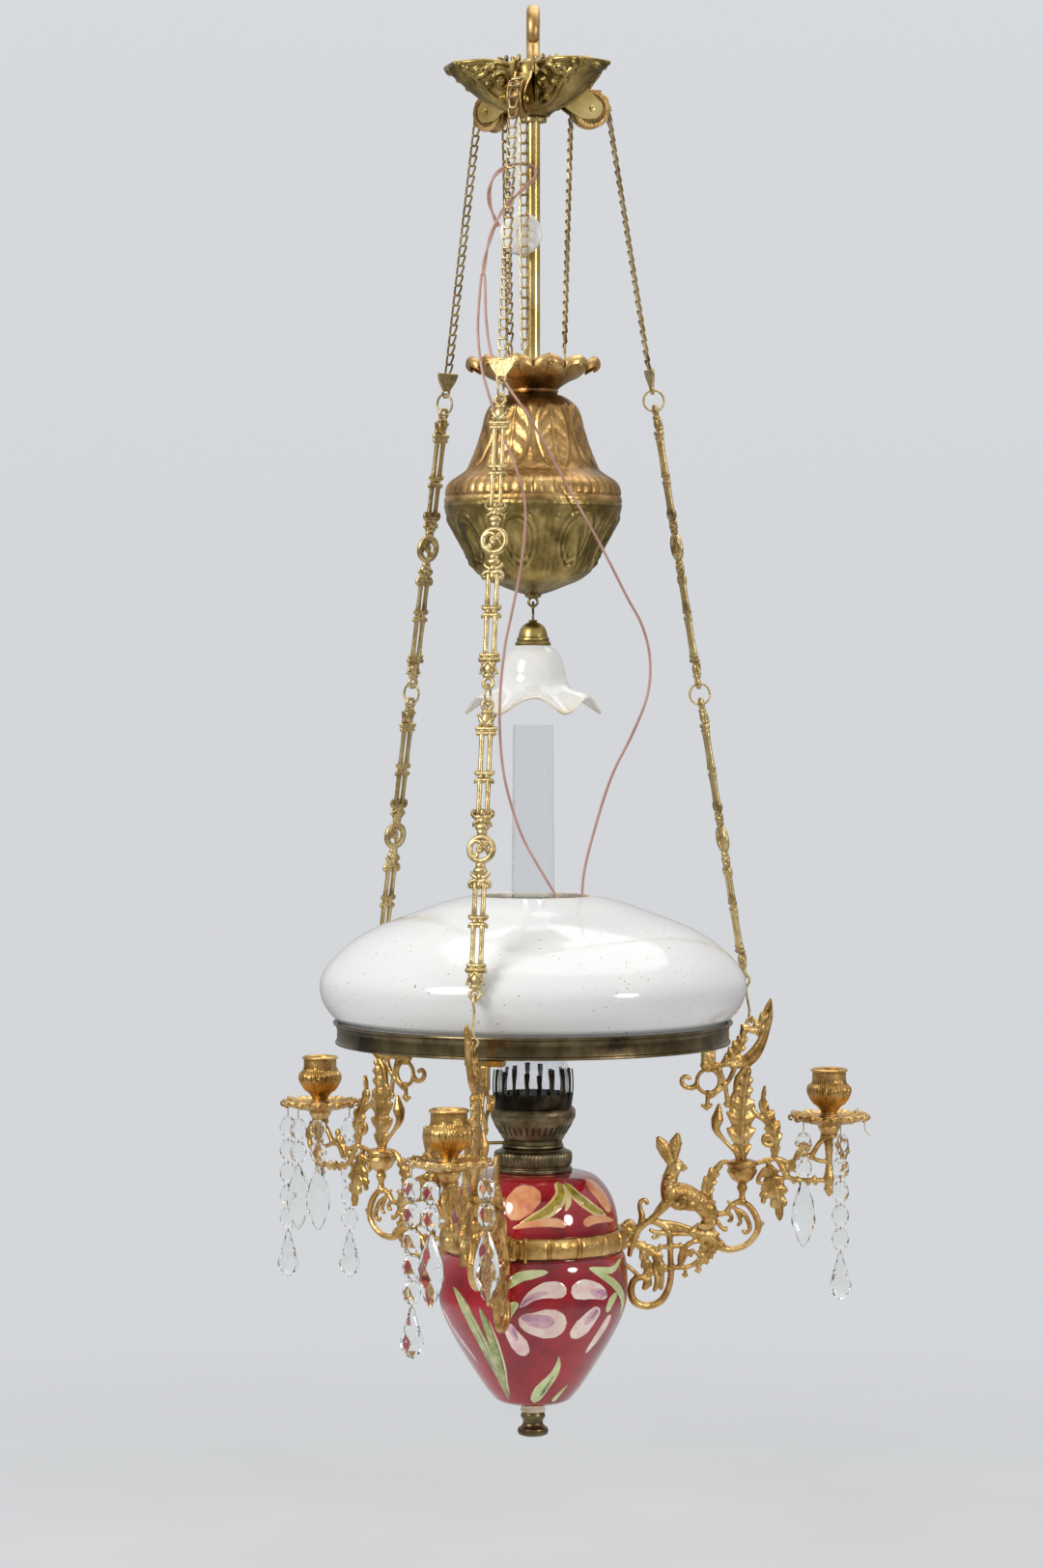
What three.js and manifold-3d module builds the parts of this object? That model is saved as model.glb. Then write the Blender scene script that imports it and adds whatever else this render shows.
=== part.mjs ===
// A rise-and-fall hanging oil lamp: a counterweight, chains on three pulleys, cast suspension links,
// an opal shade on its ring, a porcelain font with its burner, and three openwork candle arms.
// Millimetres, +Z up, origin at the inner top of the hanging hook.
import * as THREE from "three";
import { mergeVertices } from "three/addons/utils/BufferGeometryUtils.js";
import Module from "manifold-3d";

const wasm = await Module();
wasm.setup();

// Clearances
const SEAT = 0.3; // between pieces that rest on, clamp or screw into each other
const RUN = 0.4; // around pieces that turn or slide
const LIFT = 0.6; // under a chain that is bent over its wheel
const WRAP = 0.5; // under a wire that is bent through an eye

// Facets round turned pieces; pieces that nest share a count
const ROUND = 16;
const WIDE_ROUND = 24;

// The three suspensions: azimuth of the right one, the others at thirds of a turn
const FIRST_AZIMUTH = THREE.MathUtils.degToRad(15.5);
const SIDES = ["right", "left", "front"];

// Hanging hook
const HOOK_BAR = 12; // round bar of the crook
const HOOK_INNER = 26; // inside width of the crook
const HOOK_SHANK = 12.5; // straight shank between the crook and the crown
const HOOK_SCREW = 12; // length of shank screwed into the crown

// Crown
const CROWN_DEPTH = 48; // hub, top to bottom
const CROWN_HUB = 46; // hub diameter
const CROWN_RIM = 5; // raised rim on top of the hub
const LOBE_REACH = 78; // lobe tip from the axis
const LOBE_WIDTH = 54; // across a lobe at its widest
const LOBE_DEPTH = 36; // lobe thickness at the hub

// Pulleys
const PULLEY_RADIUS_OUT = 52.5; // wheel centre from the axis
const PULLEY_DROP = 39.5; // wheel centre below the crown's top
const PULLEY_FLOOR = 14.8; // radius of the groove floor
const PULLEY_FLANGE = 17.2; // radius of the flanges
const PULLEY_GROOVE = 9; // width of the groove
const PULLEY_WALL = 1.4; // thickness of a flange
const AXLE = 4; // axle diameter
const CHEEK = 1.8; // thickness of a cheek plate

// Chain of flat ladder links
const CHAIN_WIDTH = 7.8;
const CHAIN_THICK = 3.6;
const CHAIN_PITCH = 14;
const CHAIN_RUNG = 4; // solid length between two openings
const CHAIN_RAIL = 1.9; // side wall of a link

// Central rod and its stop nut
const ROD = 12.5; // diameter
const ROD_LENGTH = 268; // free length below the crown
const NUT_ACROSS = 22;
const NUT_HIGH = 6;

// Counterweight
const CUP_OVER_END = 50.5; // rim of its cup above the rod's lower end
const CUP_RIM = 118; // diameter of the scalloped rim
const CUP_NECK = 42; // diameter where the cup meets the shell
const CUP_HIGH = 28;
const CUP_WALL = 2;
const CUP_LOBES = 8;
const CUP_WAVE = 2.2; // rise and fall of the rim
const SHELL_WALL = 2;
const SHELL_GIRTH = 157; // largest diameter
const UPPER_HIGH = 93; // upper shell
const LOWER_HIGH = 88; // lower shell
const SHELL_PANELS = 16; // facets of the embossed shells
const BALLAST_GAP = 0.6; // all round, inside the shells
const BALLAST_BELOW = 60; // from the joint of the shells down
const BALLAST_ABOVE = 38; // and up
const BALLAST_BORE = 26; // round the nut at the end of the rod
const CHAIN_HOOK_HIGH = 34; // small hooks that join the chains to the cup
const CHAIN_HOOK_RADIUS = 29; // their place from the axis
const CHAIN_HOOK_WIRE = 2;

// Smoke bell
const BELL_HOOK_WIRE = 2.2;
const BELL_HOOK_LOOP = 4.2; // radius of the hook's loop
const BELL_HOOK_HIGH = 18;
const BELL_CAP_HIGH = 19;
const BELL_CAP = 33; // diameter of the cap's lower edge
const BELL_GLASS_HIGH = 60;
const BELL_RIM = 117; // diameter of the wavy rim
const BELL_LOBES = 6;
const BELL_WAVE = 5; // rise and fall of the rim
const BELL_WALL = 3;

// Suspension
const PLATE_WIDTH = 24;
const PLATE_HIGH = 18; // top edge to the hole for the ring
const PLATE_THICK = 2.4;
const RING_RADIUS = 9.5; // to the middle of the wire
const RING_WIRE = 2;
const LINK_LENGTH = 248; // from eye to eye
const LINK_EYE = 2.9; // radius of an eye
const LINK_THICK = 4.6;
const LINK_BAR = 3.4;
const LINK_BAR_GAP = 7.6; // between the middles of the twin bars
const LINK_ROSETTE = 12.4; // radius of the middle rosette
const S_HOOK_LENGTH = 46; // from the link's eye to the arm's eye
const S_HOOK_WIRE = 2.2;

// Shade and shade ring
const RING_OVER_GIRDLE = 186; // upper lip of the shade ring above the girdle's top
const SHADE_RING = 355; // outer diameter
const SHADE_RING_HIGH = 25;
const SHADE_RING_WALL = 2;
const SHADE_LEDGE = 18; // width of the ledge that carries the shade
const SHADE_LEDGE_DROP = 14; // ledge below the lip
const SHADE_HIGH = 124;
const SHADE_GIRTH = 381; // largest diameter
const SHADE_MOUTH = 104; // top opening
const SHADE_WALL = 4;

// Girdle and font
const GIRDLE = 165; // outer diameter
const GIRDLE_HIGH = 21;
const FONT_WAIST = 152; // diameter inside the girdle
const FONT_GIRTH = 169; // largest diameter, below the girdle
const FONT_SHOULDER = 50; // height above the girdle
const FONT_BELLY = 137; // height below the girdle
const FONT_WALL = 5;
const FONT_MOUTH = 52; // hole under the burner's collar
const FOOT_RING = 22; // cream ring under the font
const FOOT_RING_HIGH = 8;
const FINIAL = 28; // largest diameter
const FINIAL_HIGH = 22;
const FINIAL_STUD = 8;

// Burner, wick and chimney
const COLLAR = 70; // diameter
const COLLAR_HIGH = 21;
const BURNER_NECK = 54;
const BURNER_FLANGE = 76;
const BURNER_HIGH = 37; // from the collar to the flange
const BURNER_PRONGS = 6;
const PRONG_HIGH = 34;
const WICK_TUBE = 24; // outer diameter
const WICK_WALL = 2;
const WICK_HIGH = 46;
const KNOB = 16;
const KNOB_REACH = 46; // knob from the axis
const KNOB_SHAFT = 3;
const CHIMNEY_BASE = 64;
const CHIMNEY_TOP = 35.6;
const CHIMNEY_HIGH = 340.5;
const CHIMNEY_WALL = 2;
const CHIMNEY_UNDER_BELL = 17; // top of the chimney below the smoke bell's rim

// Arms, from the girdle out to the candle
const ARM_REACH = 198; // seat on the girdle to the candle's axis
const ARM_THICK = 5;
const ARM_EYE = 3; // radius of the suspension eye
const EYE_CLEAR = 15.4; // the eye's middle outside the shade's girth
const POST_INSET = 12.5; // post's middle inside the shade ring's rim
const ARM_SEAT_X = 82; // drawn place of the post under the shade ring
const ARM_DRAWN_REACH = 198;
const ARM_DRAWN_EYE = 123; // drawn place of the suspension eye
const ARM_DRAWN_RISE = 171; // drawn height of the post's top over the seat

// Candle pans and cups
const PAN = 68;
const PAN_HIGH = 13;
const PAN_SCALLOPS = 6;
const CUP_BULGE = 39;
const CANDLE_CUP_HIGH = 42;
const SOCKET = 23; // bore for a candle
const SOCKET_DEEP = 28;
const BEAD_LONG = 16; // with the pin above it
const BEAD_WIDE = 11;
const PEAR_LONG = 42;
const PEAR_WIDE = 20;
const ALMOND_LONG = 66;
const ALMOND_WIDE = 23;
const ALMOND_FLAT = 0.5; // thickness of the flat drops over their width

// Twin flex that was added later, with its lamp holder and junction disc
const FLEX = 2.4; // one core
const PAIR = 4; // the two cores side by side
const DISC = 38;
const DISC_THICK = 9;
const HOLDER = 28;
const HOLDER_HIGH = 44;
const HOLDER_BORE = 20;
const STRIP_WIDE = 12;
const STRIP_THICK = 1.6;

const BRASS = { color: 0xb4893f, roughness: 0.38, metalness: 0.9 };
const PALE_BRASS = { color: 0xc9ae78, roughness: 0.36, metalness: 0.9 };
const ANTIQUE = { color: 0x8a763f, roughness: 0.45, metalness: 0.85 };
const COPPERED = { color: 0xa8793f, roughness: 0.4, metalness: 0.9 };
const DARK = { color: 0x5b5138, roughness: 0.42, metalness: 0.85 };
const IRON = { color: 0x55534f, roughness: 0.7, metalness: 0.6 };
const OPAL = { color: 0xf4f3ef, roughness: 0.16, metalness: 0 };
const CLEAR = { color: 0xe6ecec, roughness: 0.05, metalness: 0 };
const CERAMIC = { color: 0x951b2b, roughness: 0.18, metalness: 0 };
const WHITE = { color: 0xf0eee9, roughness: 0.3, metalness: 0 };
const FLEX_SKIN = { color: 0xb89185, roughness: 0.6, metalness: 0 };
const COTTON = { color: 0xe6dfcf, roughness: 0.9, metalness: 0 };

// Welds a geometry's corners, drops slivers that have closed up and faces it outwards.
function closed(geometry) {
  const source = geometry.clone();
  source.deleteAttribute("normal");
  source.deleteAttribute("uv");
  const welded = mergeVertices(source, 1e-3);
  const at = welded.attributes.position;
  const index = welded.index.array;
  const kept = [];
  const corner = [new THREE.Vector3(), new THREE.Vector3(), new THREE.Vector3()];
  let volume = 0;
  for (let i = 0; i < index.length; i += 3) {
    const [a, b, c] = [index[i], index[i + 1], index[i + 2]];
    if (a === b || b === c || c === a) continue;
    kept.push(a, b, c);
    corner[0].fromBufferAttribute(at, a);
    corner[1].fromBufferAttribute(at, b);
    corner[2].fromBufferAttribute(at, c);
    volume += corner[0].dot(corner[1].cross(corner[2]));
  }
  if (volume < 0) kept.reverse();
  welded.setIndex(kept);
  return welded;
}

function solidOf(geometry) {
  const shell = closed(geometry);
  const vertProperties = new Float32Array(shell.attributes.position.array);
  const triVerts = new Uint32Array(shell.index.array);
  return new wasm.Manifold(new wasm.Mesh({ numProp: 3, vertProperties, triVerts }));
}

function geometryOf(solid) {
  const mesh = solid.getMesh();
  const geometry = new THREE.BufferGeometry();
  const place = new Float32Array(mesh.vertProperties);
  geometry.setAttribute("position", new THREE.BufferAttribute(place, mesh.numProp));
  geometry.setIndex([...mesh.triVerts]);
  return geometry;
}

function joined(...geometries) {
  const solids = geometries.flat().map(solidOf);
  return geometryOf(solids.reduce((whole, piece) => whole.add(piece)));
}

function cut(geometry, ...tools) {
  const solids = tools.flat().map(solidOf);
  return geometryOf(solids.reduce((whole, tool) => whole.subtract(tool), solidOf(geometry)));
}

// A profile of [radius, height] pairs turned about Z; bend may move each ring's points.
function turned(profile, segments, bend) {
  const points = profile.map(([radius, height]) => new THREE.Vector2(radius, height));
  const geometry = new THREE.LatheGeometry(points, segments);
  geometry.rotateX(Math.PI / 2);
  if (!bend) return closed(geometry);
  const at = geometry.attributes.position;
  for (let i = 0; i < at.count; i++) {
    const [x, y, z] = [at.getX(i), at.getY(i), at.getZ(i)];
    const radius = Math.hypot(x, y);
    const angle = Math.atan2(y, x);
    const [r, h] = bend(radius, z, angle);
    at.setXYZ(i, r * Math.cos(angle), r * Math.sin(angle), h);
  }
  return closed(geometry);
}

function drum(radius, bottom, top, segments) {
  return turned([[0, bottom], [radius, bottom], [radius, top], [0, top]], segments);
}

// A flat outline in the XZ plane, its thickness shared on both sides of y = 0.
function plate(outline, thickness, holes = []) {
  const corners = outline.map(([x, z]) => new THREE.Vector2(x, z));
  if (THREE.ShapeUtils.isClockWise(corners)) corners.reverse();
  const shape = new THREE.Shape(corners);
  for (const hole of holes) {
    shape.holes.push(new THREE.Path(hole.map(([x, z]) => new THREE.Vector2(x, z))));
  }
  const geometry = new THREE.ExtrudeGeometry(shape, { depth: thickness, bevelEnabled: false });
  geometry.translate(0, 0, -thickness / 2);
  geometry.rotateX(Math.PI / 2);
  return closed(geometry);
}

function polygon(x, z, radius, sides, phase = 0) {
  const points = [];
  for (let i = 0; i < sides; i++) {
    const angle = phase + (i * 2 * Math.PI) / sides;
    points.push([x + radius * Math.cos(angle), z + radius * Math.sin(angle)]);
  }
  return points;
}

// A ribbon along a curve in the XZ plane, as wide at each share of its length as width says.
function ribbon(points, width, thickness, steps) {
  const curve = new THREE.SplineCurve(points.map(([x, z]) => new THREE.Vector2(x, z)));
  const near = [];
  const far = [];
  for (let i = 0; i <= steps; i++) {
    const share = i / steps;
    const at = curve.getPoint(share);
    const along = curve.getTangent(share);
    const half = Math.max(width(share) / 2, 0.25);
    near.push([at.x - along.y * half, at.y + along.x * half]);
    far.unshift([at.x + along.y * half, at.y - along.x * half]);
  }
  return plate([...near, ...far], thickness);
}

function scroll(points, start, end, thickness, steps) {
  const middle = Math.max(start, end);
  const width = (t) => (t < 0.5 ? start + (middle - start) * 2 * t : middle + (end - middle) * (2 * t - 1));
  return ribbon(points, width, thickness, steps);
}

// A leaf: widest a third of the way along, its edge drawn in between lobes.
function leaf(points, widest, lobes, thickness) {
  const steps = 2 * lobes;
  const notch = (t) => (Math.round(t * steps) % 2 ? 1 : 0.6);
  const swell = (t) => Math.sin(Math.PI * Math.pow(t * 0.96 + 0.04, 0.75));
  return ribbon(points, (t) => 0.8 + widest * swell(t) * notch(t), thickness, steps);
}

// A smooth route whose even steps fall on the points that it was given.
class Route extends THREE.CatmullRomCurve3 {
  getUtoTmapping(u) {
    return u;
  }
}

// A round wire along a route, with closed ends and as many steps between points as fine says.
function wire(points, diameter, sides, fine = 1) {
  const places = points.map((p) => new THREE.Vector3(...p));
  const extrudePath = new Route(places, false, "catmullrom", 0.5);
  const section = new THREE.Shape(
    polygon(0, 0, diameter / 2, sides).map(([x, y]) => new THREE.Vector2(x, y)),
  );
  const steps = (points.length - 1) * fine;
  return closed(new THREE.ExtrudeGeometry(section, { steps, extrudePath }));
}

// A bent wire that hangs in an eight-sided eye lies on the eye's low edge, this far below its middle.
function eyeDrop(eye, diameter) {
  return eye * Math.cos(Math.PI / 8) - diameter / 2 - SEAT - WRAP;
}

function moved(geometry, x, y, z) {
  return geometry.clone().translate(x, y, z);
}

const lamp = new THREE.Group();

function add(parent, name, geometry, look) {
  const shown = geometry.toNonIndexed();
  shown.computeVertexNormals();
  const mesh = new THREE.Mesh(shown, new THREE.MeshStandardMaterial(look));
  mesh.name = name;
  parent.add(mesh);
  return mesh;
}

function groupAt(parent, x, y, z, turn = 0) {
  const group = new THREE.Group();
  group.position.set(x, y, z);
  group.rotation.z = turn;
  parent.add(group);
  return group;
}

// Levels, from the origin down
const hookCentre = -HOOK_INNER / 2;
const hookLine = (HOOK_INNER + HOOK_BAR) / 2;
const crownTop = hookCentre - hookLine - HOOK_SHANK + CROWN_RIM;
const crownBottom = crownTop - CROWN_DEPTH;
const pulleyLevel = crownTop - PULLEY_DROP;
const cupTop = crownBottom - ROD_LENGTH + CUP_OVER_END;
const neckLevel = cupTop - CUP_HIGH;
const upperTop = neckLevel - SEAT;
const jointLevel = upperTop - UPPER_HIGH;
const lowerTop = jointLevel - SEAT;
const weightTip = lowerTop - LOWER_HIGH;
const chainRadius = PULLEY_FLOOR + LIFT + CHAIN_THICK / 2;
const outerTangent = PULLEY_RADIUS_OUT + chainRadius;
const innerTangent = PULLEY_RADIUS_OUT - chainRadius;

// Hanging hook: an open crook on a shank that is screwed into the crown.
function hangingHook() {
  const points = [[0, 0, crownTop - HOOK_SCREW], [0, 0, hookCentre - hookLine - HOOK_SHANK / 2]];
  const [first, last, count] = [-64, 205, 10];
  for (let i = 0; i <= count; i++) {
    const angle = THREE.MathUtils.degToRad(first + ((last - first) * i) / count);
    points.push([0, hookLine * Math.cos(angle), hookCentre + hookLine * Math.sin(angle)]);
  }
  return wire(points, HOOK_BAR, 8);
}

// One lobe of the crown, lofted from the hub out to its tip along +X.
function crownLobe() {
  const stations = 4;
  const profile = [[1, 0.3], [0.6, 1], [-0.6, 1], [-1, 0.3], [-0.7, -0.8], [0.7, -0.8]];
  const position = [];
  for (let i = 0; i <= stations; i++) {
    const t = i / stations;
    const reach = CROWN_HUB / 4 + (LOBE_REACH - CROWN_HUB / 4) * t;
    const half = (LOBE_WIDTH / 2) * (0.32 + 0.68 * Math.sin(Math.PI * Math.min(t, 0.86)));
    const top = crownTop - 6 + 4 * Math.sin(2.6 * t);
    const deep = LOBE_DEPTH * Math.pow(1 - 0.93 * t, 0.8) + 4;
    for (const [side, height] of profile) {
      position.push(reach, side * half, top - deep / 2 + (height * deep) / 2);
    }
  }
  const index = [];
  const n = profile.length;
  for (let i = 0; i < stations; i++) {
    for (let j = 0; j < n; j++) {
      const [a, b] = [i * n + j, i * n + ((j + 1) % n)];
      index.push(a, b, a + n, b, b + n, a + n);
    }
  }
  for (let j = 1; j < n - 1; j++) {
    index.push(0, j + 1, j);
    index.push(stations * n, stations * n + j, stations * n + j + 1);
  }
  const geometry = new THREE.BufferGeometry();
  geometry.setAttribute("position", new THREE.Float32BufferAttribute(position, 3));
  geometry.setIndex(index);
  return closed(geometry);
}

function crown() {
  const hub = CROWN_HUB / 2;
  const bore = ROD / 2 + SEAT;
  const body = turned(
    [
      [0, crownTop - 3],
      [hub * 0.55, crownTop - 3],
      [hub * 0.62, crownTop],
      [hub * 0.86, crownTop],
      [hub, crownTop - 8],
      [hub, crownBottom + 9],
      [hub * 0.7, crownBottom + 3],
      [hub * 0.62, crownBottom],
      [0, crownBottom],
    ],
    ROUND,
  );
  const lobes = SIDES.map((_, i) => {
    return crownLobe().rotateZ(FIRST_AZIMUTH + ((2 * i + 1) * Math.PI) / 3);
  });
  return cut(joined(body, lobes), drum(bore, crownBottom - 5, crownTop + 5, 12));
}

// The pulley wheel, its axle along Y.
function pulleyWheel() {
  const side = PULLEY_GROOVE / 2;
  const out = side + PULLEY_WALL;
  const bore = AXLE / 2 + RUN;
  const profile = [
    [bore, -out],
    [PULLEY_FLANGE, -out],
    [PULLEY_FLANGE, -side],
    [PULLEY_FLOOR, -side],
    [PULLEY_FLOOR, side],
    [PULLEY_FLANGE, side],
    [PULLEY_FLANGE, out],
    [bore, out],
    [bore, -out],
  ];
  return turned(profile, 12).rotateX(Math.PI / 2);
}

// Two cheek plates, the axle between them and the block that is screwed to the crown's hub.
function pulleyFrame() {
  const inner = CROWN_HUB / 2 + SEAT - PULLEY_RADIUS_OUT;
  const gap = PULLEY_GROOVE / 2 + PULLEY_WALL + RUN;
  const cheek = [
    [inner, PULLEY_DROP - 12],
    [inner + 12, PULLEY_DROP - 12],
    [8, 5],
    [6, -8],
    [-8, -9],
    [inner, crownBottom + 12 - pulleyLevel],
  ];
  const block = [
    [inner, PULLEY_DROP - 12],
    [inner + 5, PULLEY_DROP - 12],
    [inner + 5, crownBottom + 12 - pulleyLevel],
    [inner, crownBottom + 12 - pulleyLevel],
  ];
  const pin = drum(AXLE / 2, -gap - CHEEK - 1.5, gap + CHEEK + 1.5, 8).rotateX(Math.PI / 2);
  const cheeks = [-1, 1].map((s) => moved(plate(cheek, CHEEK), 0, s * (gap + CHEEK / 2), 0));
  return joined(cheeks, plate(block, 2 * gap + CHEEK), pin);
}

// A straight ladder of flat links, hanging down from z = 0 with its face towards X.
function chainRun(length) {
  const count = Math.round(length / CHAIN_PITCH);
  const pitch = length / count;
  const half = CHAIN_WIDTH / 2;
  const inner = half - CHAIN_RAIL;
  const rung = CHAIN_RUNG / 2;
  const holes = [];
  for (let i = 0; i < count; i++) {
    const top = -i * pitch - rung;
    const bottom = -(i + 1) * pitch + rung;
    holes.push([[-inner, top], [-inner, bottom], [inner, bottom], [inner, top]]);
  }
  const outline = [[-half, 0], [-half, -length], [half, -length], [half, 0]];
  return plate(outline, CHAIN_THICK, holes).rotateZ(Math.PI / 2);
}

// The links over the wheel, from its outer tangent to the inner one: each is an opening between
// two rails and then a solid rung. The wheel's centre is the origin.
function chainArc() {
  const count = Math.round((Math.PI * chainRadius) / CHAIN_PITCH);
  const opening = 1 - CHAIN_RUNG / CHAIN_PITCH;
  const half = CHAIN_WIDTH / 2;
  const across = [-half, CHAIN_RAIL - half, half - CHAIN_RAIL, half];
  const position = [];
  for (let i = 0; i <= 2 * count; i++) {
    const turn = (Math.PI / count) * (Math.floor(i / 2) + (i % 2 ? opening : 0));
    for (const radius of [chainRadius - CHAIN_THICK / 2, chainRadius + CHAIN_THICK / 2]) {
      for (const y of across) position.push(radius * Math.cos(turn), y, radius * Math.sin(turn));
    }
  }
  const index = [];
  const quad = (a, b, c, d) => index.push(a, b, c, a, c, d);
  for (let i = 0; i < 2 * count; i++) {
    const at = 8 * i;
    const open = i % 2 === 0;
    for (const j of open ? [0, 2] : [0, 1, 2]) {
      quad(at + j, at + j + 8, at + j + 9, at + j + 1);
      quad(at + j + 4, at + j + 5, at + j + 13, at + j + 12);
    }
    quad(at, at + 4, at + 12, at + 8);
    quad(at + 3, at + 11, at + 15, at + 7);
    if (!open) continue;
    quad(at + 1, at + 9, at + 13, at + 5);
    quad(at + 2, at + 6, at + 14, at + 10);
    quad(at + 9, at + 10, at + 14, at + 13);
    if (i) quad(at + 1, at + 5, at + 6, at + 2);
  }
  const last = 16 * count;
  for (const j of [0, 1, 2]) quad(last + j, last + j + 4, last + j + 5, last + j + 1);
  for (const j of [0, 2]) quad(j, j + 1, j + 5, j + 4);
  const geometry = new THREE.BufferGeometry();
  geometry.setAttribute("position", new THREE.Float32BufferAttribute(position, 3));
  geometry.setIndex(index);
  return closed(geometry);
}

// Counterweight: scalloped cup, two shells, the ballast inside and the eye that closes the tip.
function counterweightCup() {
  const rim = CUP_RIM / 2;
  const neck = CUP_NECK / 2;
  const bore = ROD / 2 + RUN;
  const wave = (radius, height, angle) => {
    const share = Math.max(0, (radius - neck) / (rim - neck));
    const ripple = Math.cos(CUP_LOBES * angle) * share * share;
    return [radius * (1 + 0.03 * ripple), height + CUP_WAVE * ripple];
  };
  const bowl = turned(
    [
      [bore, neckLevel],
      [neck, neckLevel],
      [neck + 12, neckLevel + 12],
      [rim - 9, cupTop - 7],
      [rim, cupTop - 2],
      [rim - 9, cupTop - 7 + CUP_WALL],
      [neck + 10, neckLevel + 12 + CUP_WALL],
      [neck - 2, neckLevel + 6],
      [bore, neckLevel + 6],
      [bore, neckLevel],
    ],
    2 * CUP_LOBES,
    wave,
  );
  const hooks = SIDES.map((_, i) => {
    const turn = FIRST_AZIMUTH + (i * 2 * Math.PI) / 3;
    return chainHook().rotateZ(turn);
  });
  return joined(bowl, hooks);
}

// The long hook that carries a chain's last link, its foot in the cup's neck.
function chainHook() {
  const foot = neckLevel + 4;
  const top = foot + CHAIN_HOOK_HIGH + 8;
  const reach = CUP_NECK / 2 + 1;
  const points = [
    [reach, 0, foot],
    [CHAIN_HOOK_RADIUS, 0, foot + 12],
    [CHAIN_HOOK_RADIUS + 0.5, 0, top - 12],
    [CHAIN_HOOK_RADIUS, 2.6, top - 4],
    [CHAIN_HOOK_RADIUS, 0, top],
    [CHAIN_HOOK_RADIUS, -2.6, top - 4],
  ];
  return wire(points, CHAIN_HOOK_WIRE, 4);
}

const chainHookTop = neckLevel + 4 + CHAIN_HOOK_HIGH + 8 + CHAIN_HOOK_WIRE / 2;

// Insides of the two shells at their widest, as radius and distance from the joint.
const shellInside = SHELL_GIRTH / 2 - SHELL_WALL;
const UPPER_INSIDE = [[shellInside, 0], [shellInside * 0.63, UPPER_HIGH * 0.45]];
const LOWER_INSIDE = [[shellInside * 0.97, 12], [shellInside * 0.6, 64]];

function upperShell() {
  const girth = SHELL_GIRTH / 2;
  const outer = [
    [CUP_NECK / 2 + 8, upperTop],
    [girth * 0.52, upperTop - UPPER_HIGH * 0.14],
    [girth * 0.65, upperTop - UPPER_HIGH * 0.51],
    [girth * 0.73, upperTop - UPPER_HIGH * 0.67],
    [girth * 0.96, upperTop - UPPER_HIGH * 0.84],
    [girth, upperTop - UPPER_HIGH * 0.93],
    [girth, jointLevel],
  ];
  const inner = [
    ...UPPER_INSIDE.map(([r, z]) => [r, jointLevel + z]),
    [girth * 0.5 - SHELL_WALL, upperTop - UPPER_HIGH * 0.16],
    [NUT_ACROSS / 2 + 2, upperTop - SHELL_WALL],
    [ROD / 2 + RUN, upperTop - SHELL_WALL],
    [ROD / 2 + RUN, upperTop],
  ];
  return turned([...outer, ...inner, outer[0]], SHELL_PANELS);
}

function lowerShell() {
  const girth = SHELL_GIRTH / 2 + 1.5;
  const hole = BELL_HOOK_LOOP + 1;
  const outer = [
    [hole, weightTip + 4],
    [girth * 0.34, lowerTop - LOWER_HIGH * 0.88],
    [girth * 0.61, lowerTop - LOWER_HIGH * 0.75],
    [girth * 0.8, lowerTop - LOWER_HIGH * 0.44],
    [girth * 0.98, lowerTop - 12],
    [girth, lowerTop - 4],
    [girth - 2, lowerTop],
  ];
  const inner = [
    [shellInside, lowerTop],
    ...LOWER_INSIDE.map(([r, z]) => [r, lowerTop - z]),
    [hole, weightTip + 4 + SHELL_WALL * 2],
  ];
  return turned([...outer, ...inner, outer[0]], SHELL_PANELS);
}

// Radius of a shell's inside, at a distance from the joint.
function insideAt([[r0, z0], [r1, z1]], z) {
  return r0 + ((r1 - r0) * (z - z0)) / (z1 - z0);
}

// Iron ballast: it lies in the lower shell's slope and clears the rod's nut all the way.
function ballast() {
  const bore = BALLAST_BORE / 2;
  const low = (z) => [insideAt(LOWER_INSIDE, z) - BALLAST_GAP, lowerTop - z];
  const high = (z) => [insideAt(UPPER_INSIDE, z) - BALLAST_GAP, jointLevel + z];
  const profile = [
    [bore, lowerTop - BALLAST_BELOW],
    low(BALLAST_BELOW),
    low(LOWER_INSIDE[0][1]),
    [low(LOWER_INSIDE[0][1])[0], lowerTop],
    high(10),
    high(BALLAST_ABOVE),
    [bore, jointLevel + BALLAST_ABOVE],
    [bore, lowerTop - BALLAST_BELOW],
  ];
  return turned(profile, SHELL_PANELS);
}

const WEIGHT_EYE = 3; // radius of the hole for the bell's hook
const weightEyeLevel = weightTip - 3.6;

// A threaded eye whose flange closes the shell's hole from outside.
function weightEye() {
  const stem = drum(BELL_HOOK_LOOP, weightTip + 1, weightTip + 14, 8);
  const flange = drum(BELL_HOOK_LOOP + 3, weightTip, weightTip + 4 - SEAT, 8);
  const lug = polygon(0, weightEyeLevel, WEIGHT_EYE + 2, 8);
  const hole = polygon(0, weightEyeLevel, WEIGHT_EYE, 8, Math.PI / 8);
  return joined(stem, flange, plate(lug, 2.6, [hole]));
}

const bellPivot = weightEyeLevel - eyeDrop(WEIGHT_EYE, BELL_HOOK_WIRE) + WRAP;
const bellCapTop = bellPivot - BELL_HOOK_HIGH;
const bellCapEdge = bellCapTop - BELL_CAP_HIGH;
const bellGlassTop = bellCapEdge + 5;
const bellRimLevel = bellGlassTop - BELL_GLASS_HIGH;

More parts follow.
